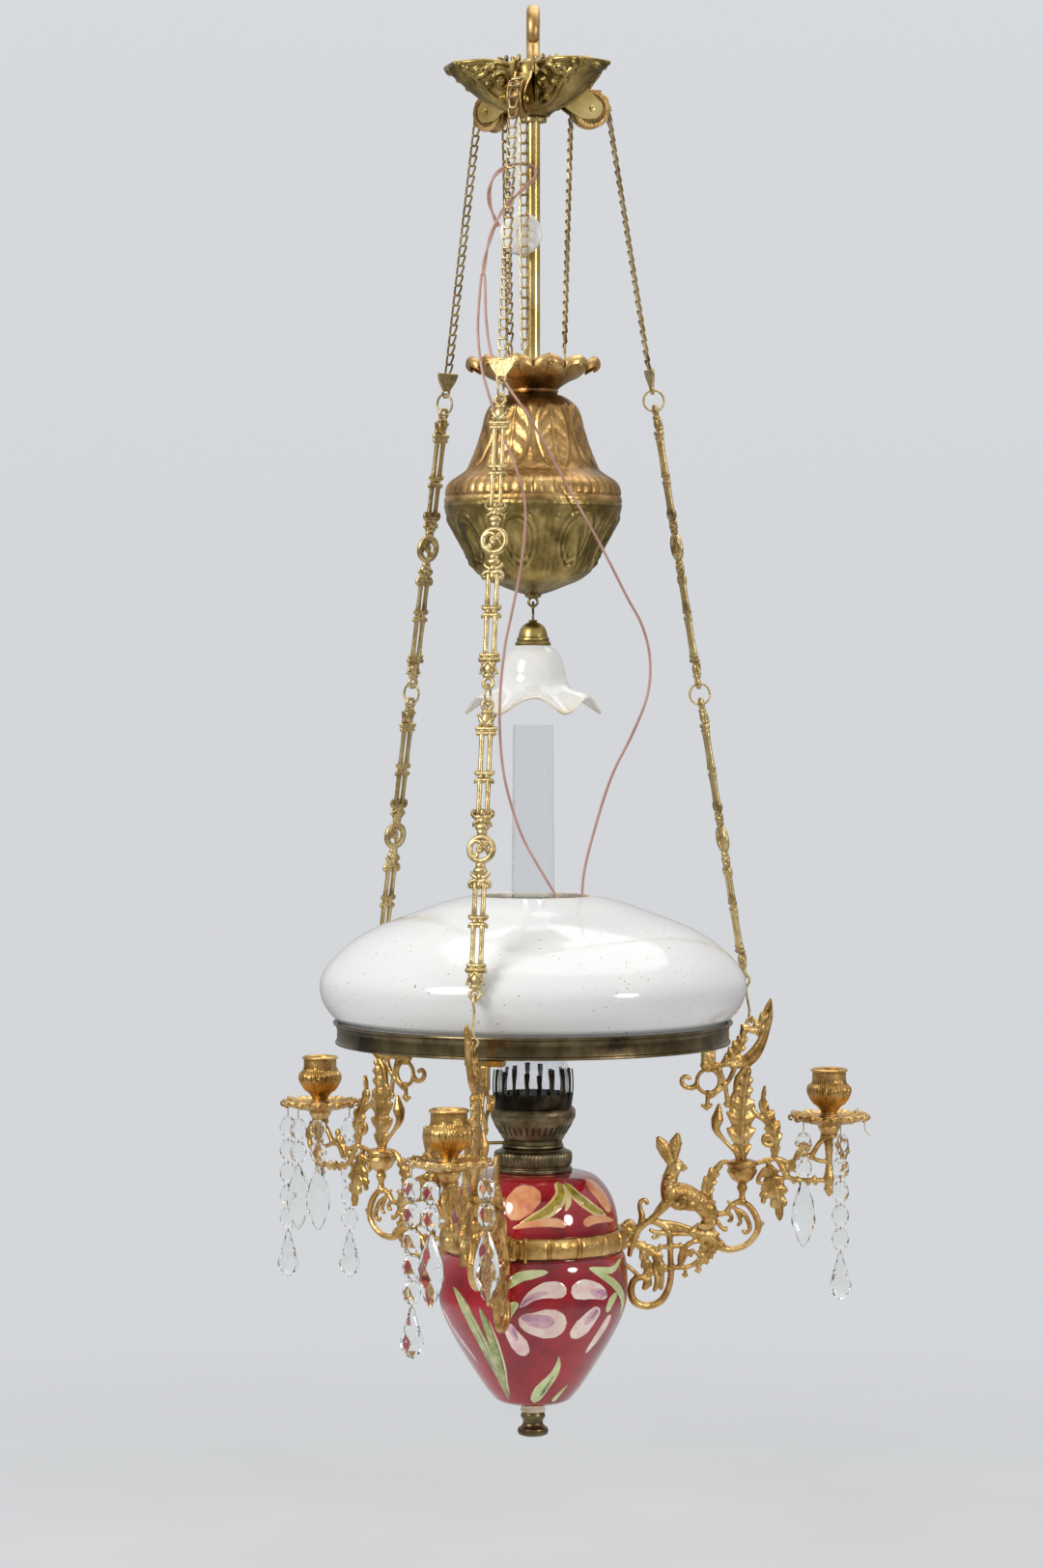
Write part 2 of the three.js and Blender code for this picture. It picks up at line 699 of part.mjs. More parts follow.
// The lamp hangs as far down as the chimney needs under the bell.
const chimneyBottom = bellRimLevel - CHIMNEY_UNDER_BELL - CHIMNEY_HIGH;
const flangeTop = chimneyBottom - SEAT;
const burnerSeat = flangeTop - BURNER_HIGH;
const collarTop = burnerSeat - SEAT;
const fontTop = collarTop - COLLAR_HIGH - SEAT;
const girdleTop = fontTop - FONT_SHOULDER;
const girdleBottom = girdleTop - GIRDLE_HIGH;
const ringTop = girdleTop + RING_OVER_GIRDLE;

// The open wire hook over the weight's eye, in the plane across the eye's hole.
function bellHook() {
  const r = BELL_HOOK_LOOP;
  const points = [
    [0, 0, bellCapTop - 8],
    [0, 0, bellPivot - 2 * r - 3],
    [0, r * 0.8, bellPivot - 1.8 * r],
    [0, r, bellPivot - r],
    [0, r * 0.6, bellPivot - 0.15 * r],
    [0, -r * 0.6, bellPivot - 0.15 * r],
    [0, -r, bellPivot - r],
    [0, -r, bellPivot - 1.6 * r],
  ];
  return wire(points, BELL_HOOK_WIRE, 6);
}

function bellCap() {
  const edge = BELL_CAP / 2;
  const bore = BELL_HOOK_WIRE / 2 + SEAT;
  const profile = [
    [bore, bellCapTop],
    [4, bellCapTop],
    [7, bellCapTop - 4],
    [edge * 0.85, bellCapTop - BELL_CAP_HIGH * 0.45],
    [edge, bellCapEdge],
    [edge - 1.4, bellCapEdge],
    [edge * 0.85 - 1.4, bellCapTop - BELL_CAP_HIGH * 0.5],
    [bore, bellCapTop - 7],
    [bore, bellCapTop],
  ];
  return turned(profile, 14);
}

function bellGlass() {
  const rim = BELL_RIM / 2;
  const mouth = BELL_CAP / 2 - 1.4 - 1.6;
  const wave = (radius, height, angle) => {
    const share = Math.max(0, (radius - 0.45 * rim) / (0.55 * rim));
    const ripple = Math.cos(BELL_LOBES * angle) * share * share;
    return [radius * (1 + 0.04 * ripple), height - BELL_WAVE * ripple];
  };
  const outer = [
    [mouth, bellGlassTop],
    [mouth, bellCapEdge - SEAT],
    [rim * 0.38, bellGlassTop - BELL_GLASS_HIGH * 0.2],
    [rim * 0.56, bellGlassTop - BELL_GLASS_HIGH * 0.62],
    [rim * 0.74, bellGlassTop - BELL_GLASS_HIGH * 0.78],
    [rim, bellRimLevel + 8],
    [rim - 1, bellRimLevel + 8 - BELL_WALL],
  ];
  const inner = [
    [rim * 0.7, bellGlassTop - BELL_GLASS_HIGH * 0.8 - BELL_WALL],
    [rim * 0.5, bellGlassTop - BELL_GLASS_HIGH * 0.62 - BELL_WALL],
    [rim * 0.44, bellGlassTop - BELL_GLASS_HIGH * 0.36],
    [mouth - BELL_WALL, bellGlassTop - BELL_GLASS_HIGH * 0.14],
    [mouth - BELL_WALL, bellGlassTop],
  ];
  return turned([...outer, ...inner, outer[0]], 3 * BELL_LOBES, wave);
}

// The chain's hook plate, face towards X: its hole for the ring is at z = 0.
function chainPlate() {
  const half = PLATE_WIDTH / 2;
  const outline = [
    [-half, PLATE_HIGH],
    [half, PLATE_HIGH],
    [half - 1, PLATE_HIGH - 5],
    [5, 4],
    [4, -4.8],
    [-4, -4.8],
    [-5, 4],
    [1 - half, PLATE_HIGH - 5],
  ];
  return plate(outline, PLATE_THICK, [polygon(0, 0, LINK_EYE, 8, Math.PI / 8)]).rotateZ(Math.PI / 2);
}

const ringDrop = eyeDrop(LINK_EYE, RING_WIRE);

// Cast link below the hole at z = 0 that its ring hangs in, down to its own eye, face towards X.
// The ring is cast into the upper lug; the lower eye is open for the next ring or hook.
function castLink() {
  const middle = -2 * RING_RADIUS - LINK_LENGTH / 2;
  const end = LINK_LENGTH / 2;
  const outer = (LINK_BAR_GAP + LINK_BAR) / 2;
  const inner = (LINK_BAR_GAP - LINK_BAR) / 2;
  const knuckle = end * 0.5;
  const quarter = [
    [LINK_EYE + 1.6, end + LINK_EYE + 1.6],
    [LINK_EYE + 2, end - 7],
    [9.4, end - 14],
    [outer + 1, end - 21],
    [outer, knuckle + 7],
    [8, knuckle],
    [outer, knuckle - 7],
    [outer, LINK_ROSETTE + 18],
    [11.5, LINK_ROSETTE + 12],
    [6.5, LINK_ROSETTE + 5],
    [LINK_ROSETTE, LINK_ROSETTE * 0.4],
  ];
  const flip = (points, sx, sz) => points.map(([x, z]) => [sx * x, middle + sz * z]);
  const outline = [
    ...flip(quarter, 1, 1),
    ...flip(quarter, 1, -1).reverse(),
    ...flip(quarter, -1, -1),
    ...flip(quarter, -1, 1).reverse(),
  ];
  const slot = (from, to) => [[-inner, from], [inner, from], [inner, to], [-inner, to]];
  const slots = [slot(LINK_ROSETTE + 9, knuckle - 5), slot(knuckle + 5, end - 25)];
  const holes = [
    ...slots.map((points) => flip(points, 1, 1)),
    ...slots.map((points) => flip(points, 1, -1)),
    polygon(0, middle - end, LINK_EYE, 8, Math.PI / 8),
  ];
  const body = plate(outline, LINK_THICK, holes).rotateZ(Math.PI / 2);
  return joined(body, suspensionRing());
}

// The round ring over a link's upper eye, in the plane of X and Z.
function suspensionRing() {
  const r = RING_RADIUS;
  const wireHalf = RING_WIRE / 2;
  const profile = polygon(0, 0, wireHalf, 4).map(([x, z]) => [r + x, z]);
  const ring = turned([...profile, profile[0]], 8).rotateX(Math.PI / 2);
  return moved(ring, 0, 0, -ringDrop - r);
}

// S-hook: the upper curl in the suspension's plane, the lower one turned across to pass the arm's eye.
function suspensionHook() {
  const r = LINK_THICK / 2 + S_HOOK_WIRE / 2 + 2 * WRAP;
  const top = -eyeDrop(LINK_EYE, S_HOOK_WIRE);
  const low = -S_HOOK_LENGTH + eyeDrop(ARM_EYE, S_HOOK_WIRE);
  const points = [
    [-r, 0, top - r - 1],
    [-r * 0.8, 0, top - r * 0.4],
    [-r * 0.3, 0, top],
    [r * 0.3, 0, top],
    [r * 0.8, 0, top - r * 0.4],
    [r, 0, top - r - 3],
    [0, 0, top - r - 10],
    [0, 0, low + 2 * r + 3],
    [0, r, low + r + 1],
    [0, r * 0.8, low + r * 0.4],
    [0, r * 0.3, low],
    [0, -r * 0.3, low],
    [0, -r * 0.8, low + r * 0.4],
    [0, -r, low + r + 1],
  ];
  return wire(points, S_HOOK_WIRE, 5);
}

// Shade ring: a tall band with a small outward lip and the ledge that the shade stands on.
function shadeRing() {
  const out = SHADE_RING / 2;
  const wall = out - 2;
  const top = ringTop;
  const ledge = top - SHADE_LEDGE_DROP;
  const profile = [
    [wall, top - SHADE_RING_HIGH],
    [wall, top - 3],
    [out, top],
    [wall - SHADE_RING_WALL, top],
    [wall - SHADE_RING_WALL, ledge],
    [wall - SHADE_LEDGE, ledge],
    [wall - SHADE_LEDGE, ledge - 2],
    [wall - SHADE_RING_WALL, ledge - 2],
    [wall - SHADE_RING_WALL, top - SHADE_RING_HIGH],
    [wall, top - SHADE_RING_HIGH],
  ];
  return turned(profile, WIDE_ROUND);
}

function shade() {
  const bottom = ringTop - SHADE_LEDGE_DROP + SEAT;
  const top = bottom + SHADE_HIGH;
  const girth = SHADE_GIRTH / 2;
  const mouth = SHADE_MOUTH / 2;
  const rim = SHADE_RING / 2 - 2 - SHADE_RING_WALL - 1;
  const outer = [
    [rim, bottom],
    [rim, bottom + SHADE_LEDGE_DROP + 1],
    [girth * 0.98, bottom + SHADE_HIGH * 0.22],
    [girth, bottom + SHADE_HIGH * 0.35],
    [girth * 0.96, bottom + SHADE_HIGH * 0.52],
    [girth * 0.82, bottom + SHADE_HIGH * 0.71],
    [girth * 0.58, bottom + SHADE_HIGH * 0.88],
    [mouth + 8, top],
    [mouth, top],
  ];
  const inner = [
    [mouth, top - SHADE_WALL],
    [girth * 0.7, bottom + SHADE_HIGH * 0.8 - SHADE_WALL],
    [girth - SHADE_WALL, bottom + SHADE_HIGH * 0.38],
    [rim - SHADE_WALL, bottom],
  ];
  return turned([...outer, ...inner, outer[0]], WIDE_ROUND);
}

// The brass girdle that clamps the font's waist, with a rolled upper edge.
function girdle() {
  const inner = FONT_WAIST / 2 + SEAT;
  const outer = GIRDLE / 2;
  const top = girdleTop;
  const bottom = girdleBottom;
  const profile = [
    [inner, bottom],
    [outer - 2, bottom],
    [outer - 3, bottom + 8],
    [outer, top - 4],
    [outer - 2.5, top],
    [inner, top],
    [inner, bottom],
  ];
  return turned(profile, ROUND);
}

const fontBottom = girdleBottom - FONT_BELLY;
const footBottom = fontBottom - FOOT_RING_HIGH;

// Porcelain font, hollow for the oil, with its cream foot ring.
function font() {
  const waist = FONT_WAIST / 2;
  const girth = FONT_GIRTH / 2;
  const mouth = FONT_MOUTH / 2;
  const over = girdleTop + SEAT;
  const under = girdleBottom - SEAT;
  const wall = FONT_WALL;
  const outer = [
    [mouth, fontTop],
    [waist * 0.46, fontTop],
    [waist * 0.72, fontTop - 4],
    [waist * 0.9, fontTop - FONT_SHOULDER * 0.38],
    [waist * 0.985, over + 12],
    [waist, over],
    [waist, under],
    [girth * 0.97, under],
    [girth, under - FONT_BELLY * 0.2],
    [girth * 0.95, under - FONT_BELLY * 0.4],
    [girth * 0.76, under - FONT_BELLY * 0.65],
    [girth * 0.42, fontBottom + 4],
    [FOOT_RING / 2, fontBottom],
    [FOOT_RING / 2, footBottom],
    [FINIAL_STUD / 2 + SEAT, footBottom],
    [FINIAL_STUD / 2 + SEAT, fontBottom + wall + 8],
  ];
  const inner = [
    [girth * 0.46 - wall, under - FONT_BELLY * 0.84],
    [girth * 0.8 - wall, under - FONT_BELLY * 0.52],
    [girth - wall * 1.6, under - FONT_BELLY * 0.2],
    [waist * 0.88 - wall, fontTop - FONT_SHOULDER * 0.4],
    [mouth, fontTop - wall],
  ];
  return turned([...outer, ...inner, outer[0]], ROUND);
}

// Turned finial, its stud up through the foot ring.
function finial() {
  const top = footBottom - SEAT;
  const half = FINIAL / 2;
  const profile = [
    [0, top + FOOT_RING_HIGH + 10],
    [FINIAL_STUD / 2, top + FOOT_RING_HIGH + 10],
    [FINIAL_STUD / 2, top],
    [half * 0.72, top],
    [half * 0.78, top - 4],
    [half * 0.62, top - 8],
    [half, top - FINIAL_HIGH + 3],
    [half * 0.9, top - FINIAL_HIGH],
    [0, top - FINIAL_HIGH],
  ];
  return turned(profile, 12);
}

// Brass collar that is cemented on the font's mouth.
function burnerCollar() {
  const wide = COLLAR / 2;
  const low = fontTop + SEAT;
  const bore = BURNER_NECK / 2 - 4;
  const profile = [
    [bore, low - 6],
    [FONT_MOUTH / 2 - SEAT, low - 6],
    [FONT_MOUTH / 2 - SEAT, low],
    [wide, low],
    [wide, low + 5],
    [wide * 0.92, collarTop - 2],
    [BURNER_NECK / 2 + 2, collarTop],
    [bore, collarTop],
    [bore, low - 6],
  ];
  return turned(profile, ROUND);
}

// Burner: neck, pierced bowl, flange with the chimney prongs and the bearing of the winder.
function burnerBody() {
  const neck = BURNER_NECK / 2;
  const flange = BURNER_FLANGE / 2;
  const tube = WICK_TUBE / 2 + RUN;
  const bowl = turned(
    [
      [tube, burnerSeat - 12],
      [neck - 4 - SEAT, burnerSeat - 12],
      [neck - 4 - SEAT, burnerSeat],
      [neck, burnerSeat],
      [neck, burnerSeat + 9],
      [flange - 2, burnerSeat + 22],
      [flange, flangeTop - 7],
      [flange, flangeTop],
      [CHIMNEY_BASE / 2 - CHIMNEY_WALL - 4, flangeTop],
      [tube + 3, burnerSeat + 16],
      [tube + 3, flangeTop + 4],
      [tube, flangeTop + 4],
      [tube, burnerSeat - 12],
    ],
    ROUND,
  );
  const prongs = [];
  const inside = CHIMNEY_BASE / 2 + SEAT;
  for (let i = 0; i < BURNER_PRONGS; i++) {
    const prong = new THREE.BoxGeometry(1.2, 5, PRONG_HIGH + 2);
    prong.translate(inside + 0.8, 0, flangeTop + PRONG_HIGH / 2 - 1);
    prongs.push(prong.rotateZ(((i + 0.5) * 2 * Math.PI) / BURNER_PRONGS));
  }
  const shaftHole = drum(KNOB_SHAFT / 2 + RUN, tube + 1, neck * 1.6, 8).rotateY(Math.PI / 2);
  const level = burnerSeat + 4.5;
  return cut(joined(bowl, prongs), moved(shaftHole, 0, 0, level).rotateZ(knobAzimuth()));
}

function knobAzimuth() {
  return FIRST_AZIMUTH + Math.PI;
}

// Winder: a milled knob on its shaft, drawn along X.
function wickWinder() {
  const shaft = drum(KNOB_SHAFT / 2, WICK_TUBE / 2 + 2 * RUN + 1.4, KNOB_REACH, 8);
  const knob = drum(KNOB / 2, KNOB_REACH - 1, KNOB_REACH + 6, 12);
  return joined(shaft, knob).rotateY(Math.PI / 2);
}

// Round wick in the burner's tube.
function wick() {
  const outer = WICK_TUBE / 2;
  const profile = [
    [outer - WICK_WALL, flangeTop + 6 - WICK_HIGH],
    [outer, flangeTop + 6 - WICK_HIGH],
    [outer, flangeTop + 6],
    [outer - WICK_WALL, flangeTop + 6],
    [outer - WICK_WALL, flangeTop + 6 - WICK_HIGH],
  ];
  return turned(profile, ROUND);
}

function chimney() {
  const base = CHIMNEY_BASE / 2;
  const top = CHIMNEY_TOP / 2;
  const end = chimneyBottom + CHIMNEY_HIGH;
  const wall = CHIMNEY_WALL;
  const outer = [
    [base, chimneyBottom],
    [base, chimneyBottom + 36],
    [base * 0.76, chimneyBottom + 55],
    [top * 1.14, chimneyBottom + 100],
    [top, end],
  ];
  const inner = outer.map(([r, z]) => [r - wall, z]).reverse();
  return turned([...outer, ...inner, outer[0]], 16);
}

// Arm frame: x from the girdle outwards, z up from the girdle's middle.
const armSeat = GIRDLE / 2 + SEAT;
const armLevel = girdleTop - GIRDLE_HIGH / 2;
const postTop = ringTop - SHADE_RING_HIGH - SEAT - armLevel;
const postX = SHADE_RING / 2 - POST_INSET - armSeat;

// Drawn points of the casting, fitted between its three bearings: girdle, shade ring and candle.
function fit([x, z]) {
  const inward = postX / ARM_SEAT_X;
  const outward = (ARM_REACH - postX) / (ARM_DRAWN_REACH - ARM_SEAT_X);
  const across = x < ARM_SEAT_X ? x * inward : postX + (x - ARM_SEAT_X) * outward;
  return [across, (z * postTop) / ARM_DRAWN_RISE];
}

const fitted = (points) => points.map(fit);

// The horn's points are fitted between the post and the eye, which clears the shade.
const eyeX = SHADE_GIRTH / 2 + EYE_CLEAR - armSeat;

function fitHorn([x, z]) {
  const outward = (eyeX - postX) / (ARM_DRAWN_EYE - ARM_SEAT_X);
  return [postX + (x - ARM_SEAT_X) * outward, fit([x, z])[1]];
}

const horned = (points) => points.map(fitHorn);
const eyePlace = fitHorn([ARM_DRAWN_EYE, 188]);
const pillarTop = fit([198, 94])[1];

// Scrollwork between the girdle and the post: upper ring, lower volute, curls and leaves.
function rootScrolls() {
  const t = ARM_THICK;
  const centre = fit([30, -2]);
  return [
    plate(fitted([[0, 9], [8, 12], [12, 3], [9, -9], [0, -9]]), t + 3),
    plate(polygon(...centre, 15.5, 8), t, [polygon(...centre, 12.4, 6)]),
    scroll(fitted([[6, -10], [21, -8], [34, -19], [43, -34], [43, -50], [34, -61], [21, -63],
      [11, -53], [13, -41], [23, -41]]), 3.6, 2.6, t, 9),
    plate(fitted([[20, 6], [23, 8], [18, 20], [26, 28], [25, 30], [15, 21]]), t - 1),
    plate(fitted([[44, 8], [48, 8], [47, -32], [45, -32]]), t - 1),
    scroll(fitted([[42, -30], [56, -28], [68, -10], [82, -8]]), 3, 3, t - 1, 4),
    leaf(fitted([[44, -31], [60, -34], [73, -27], [84, -12]]), 11, 2, t),
  ];
}

// The big open scroll under the cup, the leaves at its foot and the tall leaves beside the cup.
function candleScrolls() {
  const t = ARM_THICK;
  return [
    leaf(fitted([[62, 10], [80, -1], [98, -15]]), 17, 2, t + 1),
    scroll(fitted([[84, -10], [97, -16], [113, -16], [127, -8], [132, 5], [126, 18], [113, 25],
      [99, 21], [86, 14]]), 3.8, 3.2, t, 8),
    leaf(fitted([[102, 57], [88, 60], [80, 44], [78, 26]]), 11, 2, t),
    leaf(fitted([[146, 60], [153, 36], [152, 8]]), 17, 2, t),
    leaf(fitted([[143, 58], [150, 79], [145, 98], [136, 130]]), 14, 3, t),
    leaf(fitted([[112, 62], [113, 84], [114, 108], [118, 156]]), 21, 3, t + 2),
  ];
}

// The post under the shade ring with its ring, struts and the tall horn that holds the suspension eye.
function hornWork() {
  const t = ARM_THICK;
  const ring = fit([82, 137]);
  const top = ARM_DRAWN_RISE;
  return [
    plate(fitted([[75, 149], [89, 149], [89, top], [75, top]]), t + 4),
    plate(polygon(...ring, 12, 8), t, [polygon(...ring, 8.2, 6)]),
    plate(fitted([[80, 128], [84, 128], [83, 105], [81, 105]]), t - 1),
    plate(horned([[108, 153], [111, 151], [87, 122], [84, 124]]), t - 1),
    scroll(fitted([[90, 150], [97, 135], [103, 120], [109, 104]]), 3, 3, t - 1, 2),
    ribbon(horned([[78, 153], [97, 152], [115, 155], [131, 168], [139, 188], [142, 212]]),
      (s) => 5 + 5 * Math.sin(Math.PI * s) - 3.6 * s * s, t + 1, 6),
    plate(polygon(...eyePlace, ARM_EYE + 3, 8), t - 1),
    plate(horned([[112, 156], [120, 190], [136, 200], [134, 170]]), t - 1),
  ];
}

// Branch to the candle: two rails, the diagonal stem and the curl behind the pillar.
function candleBranch() {
  const t = ARM_THICK;
  return [
    scroll(fitted([[118, 60], [138, 65], [155, 61], [170, 45], [198, 45]]), 4, 4, t, 6),
    scroll(fitted([[168, 50], [172, 67], [197, 86]]), 3, 3, t - 1, 3),
    scroll(fitted([[198, 84], [211, 72], [211, 59], [199, 52]]), 2.8, 2.8, t - 1, 3),
  ];
}

// A sitting hare with upright ears, its forelegs on the upper scroll.
function hare() {
  const outline = fitted([
    [34, 87], [42, 69], [51, 89], [53, 66], [59, 60], [53, 50], [74, 38], [90, 18], [90, 6],
    [76, 6], [73, 14], [44, 19], [24, 9], [22, 13], [40, 27], [38, 57], [40, 63],
  ]);
  return plate(outline, ARM_THICK + 4);
}

// Turned pieces of the arm: the cup under the tall leaf and the candle pillar.
function armTurnings() {
  const [cupX, cupZ] = fit([112, 65]);
  const cup = turned(
    [[0, 0], [13.6, 0], [13.6, -5], [9.5, -13], [4, -18], [4.6, -24], [2.4, -28], [2.2, -42], [0, -42]],
    6,
  );
  const [pillarX] = fit([198, 0]);
  const pillar = turned(
    [[0, 0], [10.5, 0], [6.6, -5], [3, -11], [2.8, -31], [4.6, -50], [3.4, -58], [0, -67]],
    6,
  );
  return [moved(cup, cupX, 0, cupZ), moved(pillar, pillarX, 0, pillarTop)];
}

function arm() {
  const body = joined(rootScrolls(), candleScrolls(), hornWork(), candleBranch(), hare(), armTurnings());
  return cut(body, plate(polygon(...eyePlace, ARM_EYE, 8), 4 * ARM_THICK));
}

// Scalloped candle pan, with the crystal strings that hang from its rim.
function candlePan(strings) {
  const rim = PAN / 2;
  const wave = (radius, height, angle) => {
    const share = Math.max(0, (radius - rim * 0.4) / (rim * 0.6));
    const ripple = Math.cos(PAN_SCALLOPS * angle) * share * share;
    return [radius * (1 + 0.06 * ripple), height + 0.8 * ripple];
  };
  const dish = turned(
    [
      [0, 0],
      [rim * 0.3, 0],
      [rim * 0.6, PAN_HIGH * 0.35],
      [rim * 0.9, PAN_HIGH * 0.5],
      [rim, PAN_HIGH],
      [rim * 0.85, PAN_HIGH * 0.75],
      [rim * 0.25, PAN_HIGH * 0.5],
      [0, PAN_HIGH * 0.5],
    ],
    2 * PAN_SCALLOPS,
    wave,
  );
  const drops = strings.map(({ azimuth, beads, end }) => {
    const angle = THREE.MathUtils.degToRad(azimuth);
    const reach = rim * 0.88;
    return moved(crystalString(beads, end), reach * Math.cos(angle), reach * Math.sin(angle), 0);
  });
  return joined(dish, drops);
}

// Octagonal beads on their pins, ending in a pear or an almond drop.
function crystalString(beads, end) {
  const pin = 0.8;
  const profile = [[0, PAN_HIGH * 0.64], [pin, PAN_HIGH * 0.64]];
  let level = -3;
  for (let i = 0; i < beads; i++) {
    profile.push([pin, level], [BEAD_WIDE / 2, level - BEAD_LONG / 2]);
    level -= BEAD_LONG;
  }
  const [long, wide] = end === "pear" ? [PEAR_LONG, PEAR_WIDE] : [ALMOND_LONG, ALMOND_WIDE];
  const widest = end === "pear" ? 0.66 : 0.5;
  profile.push([pin, level], [wide / 2, level - long * widest], [0, level - long]);
  const string = turned(profile, 4);
  if (end === "almond") string.scale(1, ALMOND_FLAT, 1);
  return string;
}

// The candle socket: a turned tulip cup.
function candleCup() {
  const bulge = CUP_BULGE / 2;
  const high = CANDLE_CUP_HIGH;
  const floor = high - SOCKET_DEEP;
  const bore = SOCKET / 2;
  const profile = [
    [0, 0],
    [6.5, 0],
    [bulge * 0.6, 8],
    [bulge, high * 0.45],
    [bulge * 0.76, high * 0.8],
    [bulge * 0.9, high],
    [bore, high],
    [bore, floor],
    [0, floor],
  ];
  return turned(profile, 12);
}

// What hangs from each pan, by azimuth from the arm's own direction.
const STRINGS = {
  right: [
    { azimuth: -158, beads: 1, end: "almond" },
    { azimuth: -90, beads: 5, end: "pear" },
  ],
  left: [
    { azimuth: 60, beads: 6, end: "pear" },
    { azimuth: 134, beads: 1, end: "almond" },
    { azimuth: -160, beads: 4, end: "pear" },
  ],
  front: [
    { azimuth: -66, beads: 7, end: "pear" },
    { azimuth: -14, beads: 2, end: "almond" },
    { azimuth: 100, beads: 3, end: "pear" },
  ],
};

// Lamp holder on its flat strip, which lies on the ledge of the shade ring.
const holderPlace = [48, -26];
const holderBottom = ringTop - SHADE_LEDGE_DROP + SEAT;

function lampHolder() {
  const [x, y] = holderPlace;
  const reach = SHADE_RING / 2 - SHADE_RING_WALL - 2 - SHADE_LEDGE / 2 - 3;
  const start = Math.hypot(x, y);
  const body = turned(
    [
      [HOLDER_BORE / 2, 0],
      [HOLDER / 2, 0],
      [HOLDER / 2, HOLDER_HIGH * 0.6],
      [HOLDER / 4, HOLDER_HIGH],
      [0, HOLDER_HIGH],
      [0, HOLDER_HIGH * 0.55],
      [HOLDER_BORE / 2, HOLDER_HIGH * 0.55],
      [HOLDER_BORE / 2, 0],
    ],
    12,
  );
  const strip = new THREE.BoxGeometry(reach - start - HOLDER / 2 + 2, STRIP_WIDE, STRIP_THICK);
  strip.translate((reach - start + HOLDER / 2 - 2) / 2, 0, STRIP_THICK / 2);
  const whole = joined(body, strip.rotateZ(Math.atan2(y, x)));
  return moved(whole, x, y, holderBottom);
}

// Flex routes, chosen by hand: the pair over the front chain, then two single cores.
const discPlace = [-11, -15.5, -193];
const PAIR_ROUTE = [
  [-30.6, -18, -186], [-34.5, -18.5, -178], [-38.5, -19, -166], [-38.5, -21, -153],
  [-33, -23, -141], [-22, -24.5, -134], [-9, -25, -132], [0.5, -28, -136], [2, -35, -144],
  [-4, -41, -152], [-15, -44, -162], [-27, -46, -176], [-35, -48.5, -192], [-41, -51.5, -212],
  [-44, -54, -232],
];
const CORE_A_ROUTE = [
  [-45.4, -54.1, -232.4], [-47, -56, -250], [-48.5, -60, -280], [-46, -68, -310],
  [-40, -75, -335], [-30, -80, -365], [-16, -83, -401], [-8.5, -83, -425], [-7, -81, -452],
  [-11, -75, -490], [-19, -70, -530], [-25, -68, -560], [-29, -67, -600], [-29, -63, -640],
  [-24, -56, -680], [-10, -44, -725], [12, -34, -765], [30, -30, -795], [43, -27.5, -822],
  [46.4, -26.6, -842], [46.4, -26.6, -860.3],
];
const CORE_B_ROUTE = [
  [-42.6, -54.2, -232.7], [-42, -58, -250], [-41, -63, -275], [-36, -70, -305],
  [-22, -79, -332], [-5, -84, -357], [13.5, -84, -389], [31, -80, -421], [58, -66, -468],
  [82, -52, -514], [96, -44, -540], [103, -40, -569], [101, -37, -601], [88, -34, -635],
  [70, -30, -672], [56, -27, -715], [45, -24.5, -760], [44, -23.5, -795], [48, -24.5, -825],
  [49.8, -25.2, -842], [49.8, -25.2, -860.3],
];

// The white junction disc, its face towards the front.
function junctionDisc() {
  const r = DISC / 2;
  const t = DISC_THICK;
  const profile = [[0, 0], [r - 2, 0], [r, 2], [r, t - 3], [r - 4, t], [0, t]];
  return turned(profile, ROUND).rotateX(Math.PI / 2);
}

// Hook, crown, rod and nut
add(lamp, "hanging_hook", hangingHook(), BRASS);
add(lamp, "crown", crown(), ANTIQUE);
const rodTop = crownBottom + 14;
const rodEnd = crownBottom - ROD_LENGTH;
add(lamp, "central_rod", drum(ROD / 2, rodEnd, rodTop, 12), BRASS);
const nutTop = upperTop - SHELL_WALL - SEAT;
const nutBlank = drum(NUT_ACROSS / 2, nutTop - NUT_HIGH, nutTop, 6);
const nutBore = drum(ROD / 2 + SEAT, nutTop - 1.5 * NUT_HIGH, nutTop + 1.5 * NUT_HIGH, 12);
add(lamp, "rod_stop_nut", cut(nutBlank, nutBore), BRASS);

// Counterweight and smoke bell
add(lamp, "counterweight_cup", counterweightCup(), COPPERED);
add(lamp, "counterweight_upper_shell", upperShell(), COPPERED);
add(lamp, "counterweight_lower_shell", lowerShell(), ANTIQUE);
add(lamp, "counterweight_ballast", ballast(), IRON);
add(lamp, "counterweight_eye", weightEye(), ANTIQUE);
add(lamp, "smoke_bell_hook", bellHook(), DARK);
add(lamp, "smoke_bell_cap", bellCap(), ANTIQUE);
add(lamp, "smoke_bell_glass", bellGlass(), OPAL);

